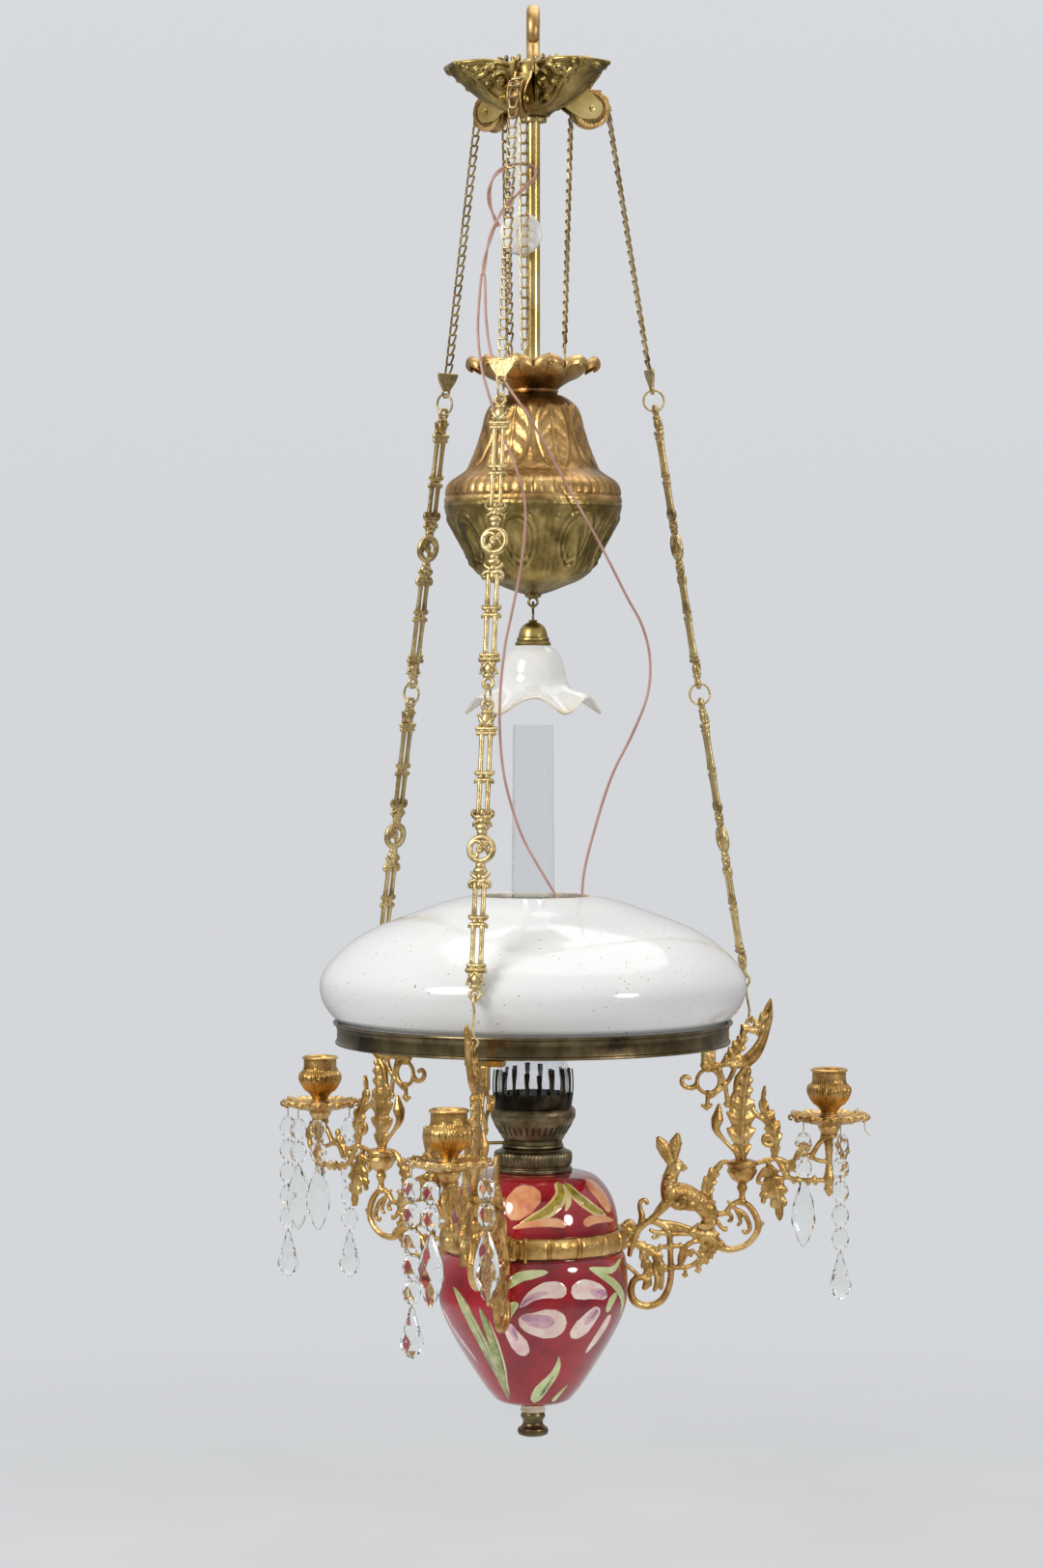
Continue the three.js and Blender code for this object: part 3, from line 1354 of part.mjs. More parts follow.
// What stands on each of the three azimuths
SIDES.forEach((side, i) => {
  const turn = FIRST_AZIMUTH + (i * 2 * Math.PI) / 3;
  const sector = groupAt(lamp, 0, 0, 0, turn);
  const head = groupAt(sector, PULLEY_RADIUS_OUT, 0, pulleyLevel);
  add(head, "pulley_frame_" + side, pulleyFrame(), PALE_BRASS);
  add(head, "pulley_" + side, pulleyWheel(), BRASS);

  // Weight side of the chain, with the links over the pulley
  const drop = pulleyLevel - chainHookTop - SEAT;
  const inwards = innerTangent - CHAIN_HOOK_RADIUS;
  const hanging = chainRun(Math.hypot(drop, inwards)).rotateY(Math.atan2(inwards, drop));
  const weightSide = joined(chainArc(), moved(hanging, -chainRadius, 0, 0.2));
  add(head, "chain_weight_side_" + side, weightSide, PALE_BRASS);

  // Lamp side: one straight line from the pulley to the arm's eye
  const eyeX = armSeat + eyePlace[0];
  const eyeZ = armLevel + eyePlace[1];
  const fall = pulleyLevel - eyeZ;
  const slope = Math.atan2(eyeX - outerTangent, fall);
  const whole = Math.hypot(fall, eyeX - outerTangent);
  const line = groupAt(sector, outerTangent, 0, pulleyLevel);
  line.rotation.y = -slope;
  const hookAt = whole - S_HOOK_LENGTH;
  const linkStep = LINK_LENGTH + 2 * RING_RADIUS;
  const lowerEye = hookAt - linkStep;
  const plateAt = lowerEye - linkStep;
  const chainLength = plateAt - PLATE_HIGH - 2 * SEAT;
  add(line, "chain_lamp_side_" + side, moved(chainRun(chainLength), 0, 0, -SEAT), PALE_BRASS);
  add(line, "chain_plate_" + side, moved(chainPlate(), 0, 0, -plateAt), PALE_BRASS);
  add(line, "upper_link_" + side, moved(castLink(), 0, 0, -plateAt), PALE_BRASS);
  add(line, "lower_link_" + side, moved(castLink(), 0, 0, -lowerEye), PALE_BRASS);
  add(line, "suspension_hook_" + side, moved(suspensionHook(), 0, 0, -hookAt), PALE_BRASS);

  const seat = groupAt(sector, armSeat, 0, armLevel);
  add(seat, "candle_arm_" + side, arm(), BRASS);
  const candle = groupAt(seat, fit([198, 0])[0], 0, pillarTop + SEAT);
  add(candle, "candle_pan_" + side, candlePan(STRINGS[side]), BRASS);
  const cup = groupAt(candle, 0, 0, PAN_HIGH * 0.5 + SEAT);
  add(cup, "candle_cup_" + side, candleCup(), BRASS);
});

// Lamp body
add(lamp, "shade_ring", shadeRing(), DARK);
add(lamp, "shade", shade(), OPAL);
add(lamp, "font_girdle", girdle(), BRASS);
add(lamp, "font", font(), CERAMIC);
add(lamp, "font_finial", finial(), DARK);
add(lamp, "burner_collar", burnerCollar(), ANTIQUE);
add(lamp, "burner_body", burnerBody(), ANTIQUE);
add(lamp, "wick", wick(), COTTON);
const winder = groupAt(lamp, 0, 0, burnerSeat + 4.5, knobAzimuth());
add(winder, "wick_winder", wickWinder(), ANTIQUE);
add(lamp, "chimney", chimney(), CLEAR);

// Later electric flex
add(lamp, "lamp_holder", lampHolder(), BRASS);
const disc = groupAt(lamp, ...discPlace);
add(disc, "junction_disc", junctionDisc(), WHITE);
add(lamp, "flex_pair", wire(PAIR_ROUTE, PAIR, 8), FLEX_SKIN);
add(lamp, "flex_core_a", wire(CORE_A_ROUTE, FLEX, 8), FLEX_SKIN);
add(lamp, "flex_core_b", wire(CORE_B_ROUTE, FLEX, 8), FLEX_SKIN);

export default lamp;
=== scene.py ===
"""A rise-and-fall hanging oil lamp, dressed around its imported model.

Blender works in metres. Routes, levels and profiles below are in millimetres and are scaled by MM
when a mesh is made, except for the cords' routes, which are in metres.
"""

import math
import random

import bmesh
import bpy
import numpy as np
from mathutils import Matrix, Vector


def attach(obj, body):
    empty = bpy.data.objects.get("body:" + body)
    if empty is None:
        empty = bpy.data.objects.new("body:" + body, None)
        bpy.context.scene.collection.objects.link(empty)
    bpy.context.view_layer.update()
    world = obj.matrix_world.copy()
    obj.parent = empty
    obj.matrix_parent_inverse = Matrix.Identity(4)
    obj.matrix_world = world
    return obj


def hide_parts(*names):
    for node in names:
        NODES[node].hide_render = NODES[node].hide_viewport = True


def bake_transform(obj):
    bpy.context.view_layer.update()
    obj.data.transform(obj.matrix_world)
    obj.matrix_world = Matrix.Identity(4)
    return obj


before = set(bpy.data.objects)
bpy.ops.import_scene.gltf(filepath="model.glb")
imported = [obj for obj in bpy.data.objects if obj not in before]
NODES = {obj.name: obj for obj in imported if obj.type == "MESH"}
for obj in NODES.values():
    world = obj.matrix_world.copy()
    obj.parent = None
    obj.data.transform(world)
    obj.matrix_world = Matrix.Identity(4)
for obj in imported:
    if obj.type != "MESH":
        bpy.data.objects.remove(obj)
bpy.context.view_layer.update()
MM = 0.001
TURN = 2 * math.pi
CAST_VOXEL = 0.85  # millimetres, the finest detail of a casting

# The three suspensions stand at thirds of a turn
SIDES = ("right", "left", "front")
AZIMUTH = {side: math.radians(15.5 + 120 * i) for i, side in enumerate(SIDES)}


# Shapes: a shape is an array of points in millimetres and a list of faces

def merge(*shapes):
    """Several shapes as one, each still a closed body of its own."""
    points, faces, base = [], [], 0
    for verts, polys in shapes:
        verts = np.asarray(verts, float).reshape(-1, 3)
        points.append(verts)
        faces.extend(tuple(i + base for i in poly) for poly in polys)
        base += len(verts)
    return np.concatenate(points), faces


def moved(shape, x=0.0, y=0.0, z=0.0):
    return np.asarray(shape[0], float) + (x, y, z), shape[1]


def spun(shape, angle, axis="Z"):
    turn = np.array(Matrix.Rotation(angle, 3, axis))
    return np.asarray(shape[0], float) @ turn.T, shape[1]


def scaled(shape, x, y, z):
    return np.asarray(shape[0], float) * (x, y, z), shape[1]


def curve(points, fine=6):
    """Catmull-Rom through the points, with fine steps between two of them."""
    p = np.asarray(points, float)
    p = np.vstack([2 * p[0] - p[1], p, 2 * p[-1] - p[-2]])
    out = []
    for i in range(1, len(p) - 2):
        a, b, c, d = p[i - 1], p[i], p[i + 1], p[i + 2]
        for k in range(fine):
            t = k / fine
            out.append(0.5 * (2 * b + (c - a) * t + (2 * a - 5 * b + 4 * c - d) * t ** 2
                              + (3 * b - a - 3 * c + d) * t ** 3))
    out.append(p[-2])
    return np.array(out)


def loft(sections, closed=False):
    """Loops of equal length joined in order; the end loops are capped unless it closes on itself."""
    sections = [np.asarray(s, float) for s in sections]
    n, count = len(sections[0]), len(sections)
    faces = []
    for i in range(count if closed else count - 1):
        a, b = i * n, ((i + 1) % count) * n
        for j in range(n):
            k = (j + 1) % n
            faces.append((a + j, a + k, b + k, b + j))
    if not closed:
        faces.append(tuple(range(n))[::-1])
        faces.append(tuple((count - 1) * n + j for j in range(n)))
    return np.concatenate(sections), faces


def lathe(profile, count=64, bend=None, closed=False):
    """(radius, height) pairs turned about Z; bend may move each point by radius, height and angle."""
    profile = [(float(r), float(z)) for r, z in profile]
    angles = np.arange(count) * TURN / count
    points, rings = [], []
    for r, z in profile:
        if abs(r) < 1e-6:
            rings.append([sum(map(len, points))] * count)
            points.append(np.array([(0.0, 0.0, z)]))
            continue
        start = sum(map(len, points))
        radius, height = (bend(r, z, angles) if bend else (r, z))
        ring = np.stack([radius * np.cos(angles), radius * np.sin(angles),
            np.broadcast_to(height, angles.shape)], 1)
        rings.append(list(range(start, start + count)))
        points.append(ring)
    faces = []
    pairs = list(zip(rings, rings[1:])) + ([(rings[-1], rings[0])] if closed else [])
    for low, high in pairs:
        for j in range(count):
            k = (j + 1) % count
            quad = []
            for index in (low[j], low[k], high[k], high[j]):
                if index not in quad:
                    quad.append(index)
            if len(quad) > 2:
                faces.append(tuple(quad))
    return np.concatenate(points), faces


def tube(points, radius, sides=12, closed=False, up=(0, 0, 1)):
    """A round tube along points; radius is one number or one for each point. Ends are rounded."""
    p = np.asarray(points, float)
    count = len(p)
    radius = np.broadcast_to(np.asarray(radius, float), (count,))
    if closed:
        tangent = np.roll(p, -1, 0) - np.roll(p, 1, 0)
    else:
        tangent = np.gradient(p, axis=0)
    tangent /= np.maximum(np.linalg.norm(tangent, axis=1), 1e-9)[:, None]
    side = np.cross(tangent[0], up)
    if np.linalg.norm(side) < 1e-3:
        side = np.cross(tangent[0], (1, 0, 0))
    around = np.arange(sides) * TURN / sides
    sections = []
    for i in range(count):
        side = side - tangent[i] * (side @ tangent[i])
        side /= max(np.linalg.norm(side), 1e-9)
        other = np.cross(tangent[i], side)
        ring = (np.cos(around)[:, None] * side + np.sin(around)[:, None] * other)
        if not closed and i in (0, count - 1):
            way = -tangent[i] if i == 0 else tangent[i]
            extra = [(0.35, 0.9), (0.75, 0.6)]
            caps = [p[i] + ring * radius[i] * r + way * radius[i] * d * 0.8 for d, r in extra]
            own = p[i] + ring * radius[i]
            sections.extend([*caps[::-1], own] if i == 0 else [own, *caps])
            continue
        sections.append(p[i] + ring * radius[i])
    return loft(sections, closed)


def ball(x, y, z, radius, squeeze=(1, 1, 1), count=14):
    """A sphere, or an ellipsoid, as a turned shape."""
    steps = max(count // 2, 5)
    profile = [(radius * math.sin(math.pi * i / steps), -radius * math.cos(math.pi * i / steps))
               for i in range(steps + 1)]
    profile[0], profile[-1] = (0, -radius), (0, radius)
    return moved(scaled(lathe(profile, count), *squeeze), x, y, z)


def dot(x, z, radius, squeeze=(1, 1, 1)):
    """A ball in the plane of X and Z."""
    return ball(x, 0, z, radius, squeeze)


def ring(radius, wire, count=40, sides=10):
    """A round ring in the plane of X and Y."""
    angles = np.arange(count) * TURN / count
    points = np.stack([radius * np.cos(angles), radius * np.sin(angles), 0 * angles], 1)
    return tube(points, wire, sides, closed=True)


def plain_box(x0, x1, y0, y1, z0, z1, bevel=0.4):
    """A block with chamfered edges."""
    loop = []
    for sx, sy in ((1, 1), (-1, 1), (-1, -1), (1, -1)):
        cx, cy = (x1 if sx > 0 else x0), (y1 if sy > 0 else y0)
        near, far = (cx - sx * bevel, cy), (cx, cy - sy * bevel)
        loop.extend([far, near] if sx * sy > 0 else [near, far])
    middle = np.array([(x0 + x1) / 2, (y0 + y1) / 2])
    shrink = 1 - 2 * bevel / np.array([x1 - x0, y1 - y0])
    sections = []
    for z, small in ((z0, True), (z0 + bevel, False), (z1 - bevel, False), (z1, True)):
        flat = (np.array(loop) - middle) * (shrink if small else 1) + middle
        sections.append(np.column_stack([flat, np.full(len(flat), z)]))
    return loft(sections)


# Objects

def mesh_of(name, shape, sharp=38.0, tidy=True):
    """A mesh in metres, smooth but for edges sharper than that angle, faced outwards."""
    mesh = bpy.data.meshes.new(name)
    mesh.from_pydata((np.asarray(shape[0], float) * MM).tolist(), [], shape[1])
    if tidy:
        work = bmesh.new()
        work.from_mesh(mesh)
        bmesh.ops.recalc_face_normals(work, faces=work.faces)
        work.to_mesh(mesh)
        work.free()
    mesh.polygons.foreach_set("use_smooth", [True] * len(mesh.polygons))
    mesh.set_sharp_from_angle(angle=math.radians(sharp))
    mesh.update()
    return mesh


def stand(name, mesh, material, matrix=None):
    """An object with that mesh and material, in the scene."""
    thing = bpy.data.objects.new(name, mesh)
    bpy.context.scene.collection.objects.link(thing)
    if matrix is not None:
        thing.matrix_world = matrix
    if material is not None and not mesh.materials:
        mesh.materials.append(material)
    return thing


def shift(x=0.0, y=0.0, z=0.0):
    """A move by millimetres, as a matrix."""
    return Matrix.Translation((x * MM, y * MM, z * MM))


def piece(name, shape, material, body, finish, *nodes, sharp=38.0, matrix=None):
    """A rigid piece on a body, with the nodes it replaces hidden. The finish slot that it is given is not
    used.
    """
    mesh = shape if isinstance(shape, bpy.types.Mesh) else mesh_of(name, shape, sharp)
    thing = stand(name, mesh, material, matrix)
    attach(thing, body)
    if nodes:
        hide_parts(*nodes)
    return thing


def cast_mesh(name, shape, voxel, rounds, sharp=60.0):
    """Overlapping closed shapes run together into one skin, as a casting is, with softened joints."""
    rough = stand(name + "_rough", mesh_of(name + "_rough", shape), None)
    merge_all = rough.modifiers.new("run_together", "REMESH")
    merge_all.mode = "VOXEL"
    merge_all.voxel_size = voxel * MM
    soften = rough.modifiers.new("soften", "SMOOTH")
    soften.factor = 0.5
    soften.iterations = rounds
    bpy.context.view_layer.update()
    graph = bpy.context.evaluated_depsgraph_get()
    mesh = bpy.data.meshes.new_from_object(rough.evaluated_get(graph))
    mesh.name = name
    old = rough.data
    bpy.data.objects.remove(rough)
    bpy.data.meshes.remove(old)
    mesh.materials.clear()
    mesh.polygons.foreach_set("use_smooth", [True] * len(mesh.polygons))
    mesh.set_sharp_from_angle(angle=math.radians(sharp))
    return mesh


# Materials

def feed(tree, target, inputs):
    """Sets a node's inputs to plain values, or links them to the sockets of other nodes."""
    for name, value in inputs.items():
        socket = target.inputs[name]
        if isinstance(value, bpy.types.NodeSocket):
            tree.links.new(value, socket)
        else:
            socket.default_value = (*value, 1) if socket.type == "RGBA" else value


def node(tree, kind, inputs=None, **fields):
    """A shader node with its own fields and its inputs."""
    made = tree.nodes.new("ShaderNode" + kind)
    for field, value in fields.items():
        setattr(made, field, value)
    feed(tree, made, inputs or {})
    return made


def look(name, colour, roughness=0.4, metallic=0.0, **inputs):
    """A principled material with plain values; returns the material, its tree and its shader."""
    material = bpy.data.materials.new(name)
    material.use_nodes = True
    tree = material.node_tree
    shader = tree.nodes["Principled BSDF"]
    feed(tree, shader, {"Base Color": colour, "Roughness": roughness, "Metallic": metallic})
    feed(tree, shader, {socket.replace("_", " "): value for socket, value in inputs.items()})
    return material, tree, shader


def srgb(r, g, b):
    """An sRGB colour of 0 to 255 as linear values."""
    return tuple((c / 255 / 12.92) if c <= 10 else ((c / 255 + 0.055) / 1.055) ** 2.4 for c in (r, g, b))


def noise(tree, scale, detail=4.0, rough=0.55, stretch=(1, 1, 1)):
    """Noise in the piece's own space, scale in patches per metre."""
    where = node(tree, "TexCoord").outputs["Object"]
    place = node(tree, "Mapping", {"Vector": where, "Scale": stretch}).outputs["Vector"]
    values = {"Vector": place, "Scale": scale, "Detail": detail, "Roughness": rough}
    return node(tree, "TexNoise", values).outputs["Fac"]


def ramp(tree, source, *stops):
    """Maps a value to colours or greys at the stops given as (place, colour or grey)."""
    made = node(tree, "ValToRGB", {"Fac": source})
    elements = made.color_ramp.elements
    while len(elements) < len(stops):
        elements.new(0.5)
    for element, (place, colour) in zip(elements, stops):
        element.position = place
        element.color = (*colour, 1) if isinstance(colour, tuple) else (colour, colour, colour, 1)
    return made.outputs["Color"]


def patches_of(tree, field, *stops):
    """Colours or greys that run in patches; field holds a noise's values."""
    return ramp(tree, noise(tree, *field), *stops)


def blended(tree, share, first, second, mode="MIX"):
    """Two colours mixed by a share; each of the three is a socket or a plain value."""
    return node(tree, "Mix", {0: share, 6: first, 7: second}, data_type="RGBA", blend_type=mode).outputs[2]


def relief(tree, field, distance, strength, **under):
    """Fine relief, distance in metres; field holds a noise's values, and Normal may give coarser relief."""
    values = {"Height": noise(tree, *field), "Distance": distance, "Strength": strength, **under}
    return node(tree, "Bump", values).outputs["Normal"]


def cast_metal(name, light, mid, dark, rough=(0.26, 0.5), lumps=0.0, patches=45.0, shade_hollows=True):
    """Cast or pressed brass: patches of colour, painted shade that darkens each recess, a fine grain and
    casting lumps.
    """
    light, mid, dark = (srgb(*tone) for tone in (light, mid, dark))
    material, tree, shader = look(name, mid, metallic=1.0)
    colour = patches_of(tree, (patches, 5.0, 0.6), (0.28, dark), (0.47, mid), (0.72, light))
    if shade_hollows:
        # Painted shade: recesses, found by the mesh's pointiness, turn towards a dark brown
        depth = ramp(tree, node(tree, "NewGeometry").outputs["Pointiness"], (0.44, 0.0), (0.505, 1.0))
        colour = blended(tree, depth, tuple(0.42 * c for c in dark), colour)
    worn = patches_of(tree, (patches * 2.3, 4.0, 0.65), (0.3, rough[0]), (0.75, rough[1]))
    coarse = {"Normal": relief(tree, (230.0, 2.0, 0.5), lumps, 0.8)} if lumps else {}
    grain = relief(tree, (900.0, 3.0, 0.6), 0.00012 if lumps else 0.00004, 0.5, **coarse)
    feed(tree, shader, {"Base Color": colour, "Roughness": worn, "Normal": grain})
    return material


def clear_glass(name, tint, roughness=0.02):
    """Clear glass with a faint uneven surface."""
    material, tree, shader = look(name, tint, roughness, Transmission_Weight=1.0, IOR=1.47)
    feed(tree, shader, {"Normal": relief(tree, (60.0, 2.0), 0.0001, 0.25)})
    return material


def patchy(name, colour, roughness, tones, bumps=None, shine=None, **inputs):
    """A material in patches: tones, bumps and shine start with a noise's values."""
    material, tree, shader = look(name, colour, roughness, **inputs)
    feed(tree, shader, {"Base Color": patches_of(tree, *tones)})
    if bumps:
        feed(tree, shader, {"Normal": relief(tree, *bumps)})
    if shine:
        feed(tree, shader, {"Roughness": patches_of(tree, *shine)})
    return material


def glaze(name, light, mid, dark, patches=26.0):
    """A glossy majolica glaze that pools darker in places."""
    tones = (0.3, srgb(*dark)), (0.5, srgb(*mid)), (0.7, srgb(*light))
    return patchy(name, srgb(*mid), 0.07, ((patches, 5.0, 0.62), *tones), ((55.0, 3.0), 0.0006, 0.25),
        Coat_Weight=0.6, Coat_Roughness=0.03)


def opal_glass():
    """White opal glass with a faint milkiness and a few specks of dust."""
    material, tree, shader = look("opal_glass", (0.76, 0.76, 0.745), 0.1, Coat_Weight=0.3,
        Coat_Roughness=0.05, Subsurface_Weight=0.12, Subsurface_Scale=0.004,
        Subsurface_Radius=(1.0, 0.95, 0.85))
    milk = patches_of(tree, (9.0, 3.0, 0.5), (0.3, (0.72, 0.725, 0.71)), (0.7, (0.78, 0.78, 0.76)))
    specks = patches_of(tree, (420.0, 1.0, 0.2), (0.215, (0.30, 0.26, 0.20)), (0.235, 1.0))
    feed(tree, shader, {"Base Color": blended(tree, 1.0, milk, specks, "MULTIPLY"),
        "Roughness": patches_of(tree, (30.0, 3.0, 0.6), (0.35, 0.08), (0.75, 0.2))})
    return material


def bell_glass():
    """Opal glass that turns cream towards the ruffled rim, by its distance from the axis."""
    material, tree, shader = look("bell_opal", (0.84, 0.84, 0.82), 0.12, Coat_Weight=0.3,
        Subsurface_Weight=0.15, Subsurface_Scale=0.003)
    place = node(tree, "SeparateXYZ", {"Vector": node(tree, "TexCoord").outputs["Object"]}).outputs
    flat = node(tree, "CombineXYZ", {"X": place["X"], "Y": place["Y"]}).outputs["Vector"]
    far = node(tree, "VectorMath", {0: flat}, operation="LENGTH").outputs["Value"]
    spread = node(tree, "MapRange", {"Value": far, "From Min": 0.040, "From Max": 0.061}).outputs["Result"]
    white, cream, edge = (0.82, 0.82, 0.80), (0.80, 0.74, 0.62), (0.62, 0.50, 0.36)
    body = ramp(tree, spread, (0.0, white), (0.55, white), (0.86, cream), (1.0, edge))
    soft = patches_of(tree, (70.0, 3.0, 0.6), (0.3, (0.93, 0.92, 0.90)), (0.7, 1.0))
    feed(tree, shader, {"Base Color": blended(tree, 1.0, body, soft, "MULTIPLY"),
        "Normal": relief(tree, (120.0, 2.0), 0.0003, 0.3)})
    return material


# Metals: light, middle and dark tone, the roughness where it is rubbed and where it is dull, lumps
GOLD = cast_metal("gilt_brass", (236, 202, 138), (202, 158, 92), (122, 88, 40), (0.26, 0.44), 0.0009)
PALE = cast_metal("pale_brass", (226, 206, 158), (196, 172, 120), (118, 98, 62), (0.3, 0.5), 0.0006)
CHAIN = cast_metal("chain_brass", (214, 194, 148), (172, 148, 102), (96, 78, 48),
    (0.28, 0.5), shade_hollows=False)
ANTIQUE = cast_metal("antique_brass", (196, 172, 110), (150, 128, 74), (78, 64, 36), (0.24, 0.46), 0.0005)
COPPERED = cast_metal("coppered_brass", (228, 192, 130), (176, 136, 82),
    (104, 80, 52), (0.26, 0.5), 0.0007, 28.0)
DARK = cast_metal("dark_bronze", (140, 124, 92), (96, 82, 58), (46, 40, 29), (0.2, 0.42), 0.0, 26.0, False)
# Sooty black for the prongs, and painted shade for the slots in the burner's bowl
SOOT_AND_SLIT_SHADE = cast_metal("sooty_brass_and_slit_shade", (84, 72, 54), (46, 40, 30), (20, 18, 15), (0.35, 0.6), 0.0, 60.0, False)
IRON = cast_metal("ballast_iron", (110, 108, 104), (84, 82, 80), (50, 48, 46), (0.55, 0.8), shade_hollows=False)
POLISHED = cast_metal("polished_brass", (238, 216, 156), (204, 174, 104), (140, 112, 60),
    (0.14, 0.3), 0.0, 18.0, False)
HOOK_BRASS = cast_metal("hook_brass", (226, 192, 132), (196, 158, 100), (140, 106, 62),
    (0.3, 0.5), 0.0, 60.0, False)
BURNER = cast_metal("burner_brass", (158, 142, 112), (112, 98, 72), (60, 52, 38),
    (0.26, 0.48), 0.0, 70.0, False)

# Glass
OPAL = opal_glass()
BELL_OPAL = bell_glass()
CHIMNEY_GLASS = clear_glass("chimney_glass", (0.93, 0.94, 0.95))
CRYSTAL = clear_glass("crystal", (0.97, 0.98, 0.96), 0.0)
CREAM_EDGE = patchy("ground_edge", (0.72, 0.66, 0.52), 0.5, ((120.0, 4.0), (0.3, (0.60, 0.52, 0.38)),
    (0.7, (0.80, 0.76, 0.65))))

# Flex, plastic and cotton
FLEX_SKIN = patchy("flex_skin", srgb(184, 142, 128), 0.4, ((35.0, 3.0), (0.3, srgb(168, 124, 110)),
    (0.7, srgb(200, 160, 146))), shine=((90.0, 2.0), (0.3, 0.3), (0.7, 0.55)))
WHITE = patchy("white_plastic", (0.84, 0.83, 0.81), 0.25, ((60.0, 4.0), (0.3, (0.76, 0.74, 0.70)),
    (0.6, (0.86, 0.85, 0.83))), ((500.0, 2.0), 0.00005, 0.4))
COTTON = patchy("wick_cotton", srgb(226, 216, 196), 0.95, ((900.0, 2.0, 0.6, (1, 1, 0.3)),
    (0.3, srgb(150, 140, 120)), (0.7, srgb(232, 224, 206))), ((1400.0, 2.0), 0.0004, 0.8), Sheen_Weight=0.4)

# Glazes and enamels: light, middle and dark tone, patches per metre
GLAZE = glaze("red_glaze", (176, 20, 36), (152, 12, 28), (112, 8, 20))
CREAM_GLAZE = glaze("cream_glaze", (236, 226, 200), (222, 208, 176), (190, 168, 128), 60.0)
STEM_CREAM = glaze("stem_cream", (238, 218, 164), (220, 194, 130), (186, 154, 92), 90.0)
SALMON = glaze("salmon_glaze", (242, 186, 138), (230, 156, 108), (206, 116, 76), 50.0)
OLIVE = glaze("olive_glaze", (196, 174, 60), (164, 142, 34), (110, 96, 22), 90.0)
PETAL_CREAM = glaze("petal_cream", (250, 232, 216), (242, 214, 202), (224, 182, 180), 60.0)
PETAL_PINK = glaze("petal_pink", (236, 198, 196), (218, 172, 180), (190, 138, 158), 90.0)
PETAL_MAUVE = glaze("petal_mauve", (204, 158, 174), (176, 126, 150), (146, 98, 128), 110.0)
PALE_GREEN = glaze("pale_green", (226, 228, 176), (206, 212, 152), (170, 186, 116), 55.0)
LEAF_GREEN = glaze("leaf_green", (194, 202, 142), (148, 160, 96), (92, 108, 54), 80.0)


# Camera and stage

def make_camera():
    """Level with the middle of the lamp, looking down a little, with a long lens."""
    data = bpy.data.cameras.new("camera")
    data.lens = 93.1
    data.sensor_width = 36.0
    camera = bpy.data.objects.new("camera", data)
    bpy.context.scene.collection.objects.link(camera)
    camera.location = (-0.0103, -3.62, -0.584)
    camera.rotation_euler = (math.radians(90 - 1.53), 0, 0)
    bpy.context.scene.camera = camera


make_camera()

# Cords, their routes in metres: the pair over the front chain, then its two cores apart
PAIR_ROUTE = [
    (-0.0306, -0.0180, -0.186), (-0.0345, -0.0185, -0.178), (-0.0385, -0.0190, -0.166),
    (-0.0385, -0.0210, -0.153), (-0.0330, -0.0230, -0.141), (-0.0220, -0.0245, -0.134),
    (-0.0090, -0.0250, -0.132), (0.0005, -0.0280, -0.136), (0.0020, -0.0350, -0.144),
    (-0.0040, -0.0410, -0.152), (-0.0150, -0.0440, -0.162), (-0.0270, -0.0460, -0.176),
    (-0.0350, -0.0485, -0.192), (-0.0410, -0.0515, -0.212), (-0.0440, -0.0540, -0.232),
]
CORE_A_ROUTE = [
    (-0.0454, -0.0541, -0.2324), (-0.0470, -0.0560, -0.250), (-0.0485, -0.0600, -0.280),
    (-0.0460, -0.0680, -0.310), (-0.0400, -0.0750, -0.335), (-0.0300, -0.0800, -0.365),
    (-0.0160, -0.0830, -0.401), (-0.0085, -0.0830, -0.425), (-0.0070, -0.0810, -0.452),
    (-0.0110, -0.0750, -0.490), (-0.0190, -0.0700, -0.530), (-0.0250, -0.0680, -0.560),
    (-0.0290, -0.0670, -0.600), (-0.0290, -0.0630, -0.640), (-0.0240, -0.0560, -0.680),
    (-0.0100, -0.0440, -0.725), (0.0120, -0.0340, -0.765), (0.0300, -0.0300, -0.795),
    (0.0430, -0.0275, -0.822), (0.0464, -0.0266, -0.842), (0.0464, -0.0266, -0.8603),
]
CORE_B_ROUTE = [
    (-0.0426, -0.0542, -0.2327), (-0.0420, -0.0580, -0.250), (-0.0410, -0.0630, -0.275),
    (-0.0360, -0.0700, -0.305), (-0.0220, -0.0790, -0.332), (-0.0050, -0.0840, -0.357),
    (0.0135, -0.0840, -0.389), (0.0310, -0.0800, -0.421), (0.0580, -0.0660, -0.468),
    (0.0820, -0.0520, -0.514), (0.0960, -0.0440, -0.540), (0.1030, -0.0400, -0.569),
    (0.1010, -0.0370, -0.601), (0.0880, -0.0340, -0.635), (0.0700, -0.0300, -0.672),
    (0.0560, -0.0270, -0.715), (0.0450, -0.0245, -0.760), (0.0440, -0.0235, -0.795),
    (0.0480, -0.0245, -0.825), (0.0498, -0.0252, -0.842), (0.0498, -0.0252, -0.8603),
]
FLEX = 0.0024
PAIR = 0.004
PAIRED = 0.002  # one core where the two are twisted together
CORE_TWIST = 55.0  # millimetres for one turn of the two cores round each other


def junction_disc():
    """The white two-part junction disc beside the rod, its face to the front."""
    radius, deep = 19.0, 9.0
    profile = [(0, 0), (radius - 2.2, 0), (radius - 0.7, 0.5), (radius, 1.8), (radius, 3.6),
        (radius - 0.5, 3.9), (radius - 0.5, 4.3), (radius, 4.6), (radius - 0.3, 6.2), (radius - 1.4, 7.9),
        (radius - 3.4, 8.8), (radius - 5, deep), (4.2, deep), (3.8, 8.2), (0, 8.2)]
    shape = spun(lathe(profile, 64), math.pi / 2, "X")
    return piece("junction_box", moved(shape, -11, -15.5, -193), WHITE, "ceiling_gear",
        "white_plastic", "junction_disc", sharp=30)


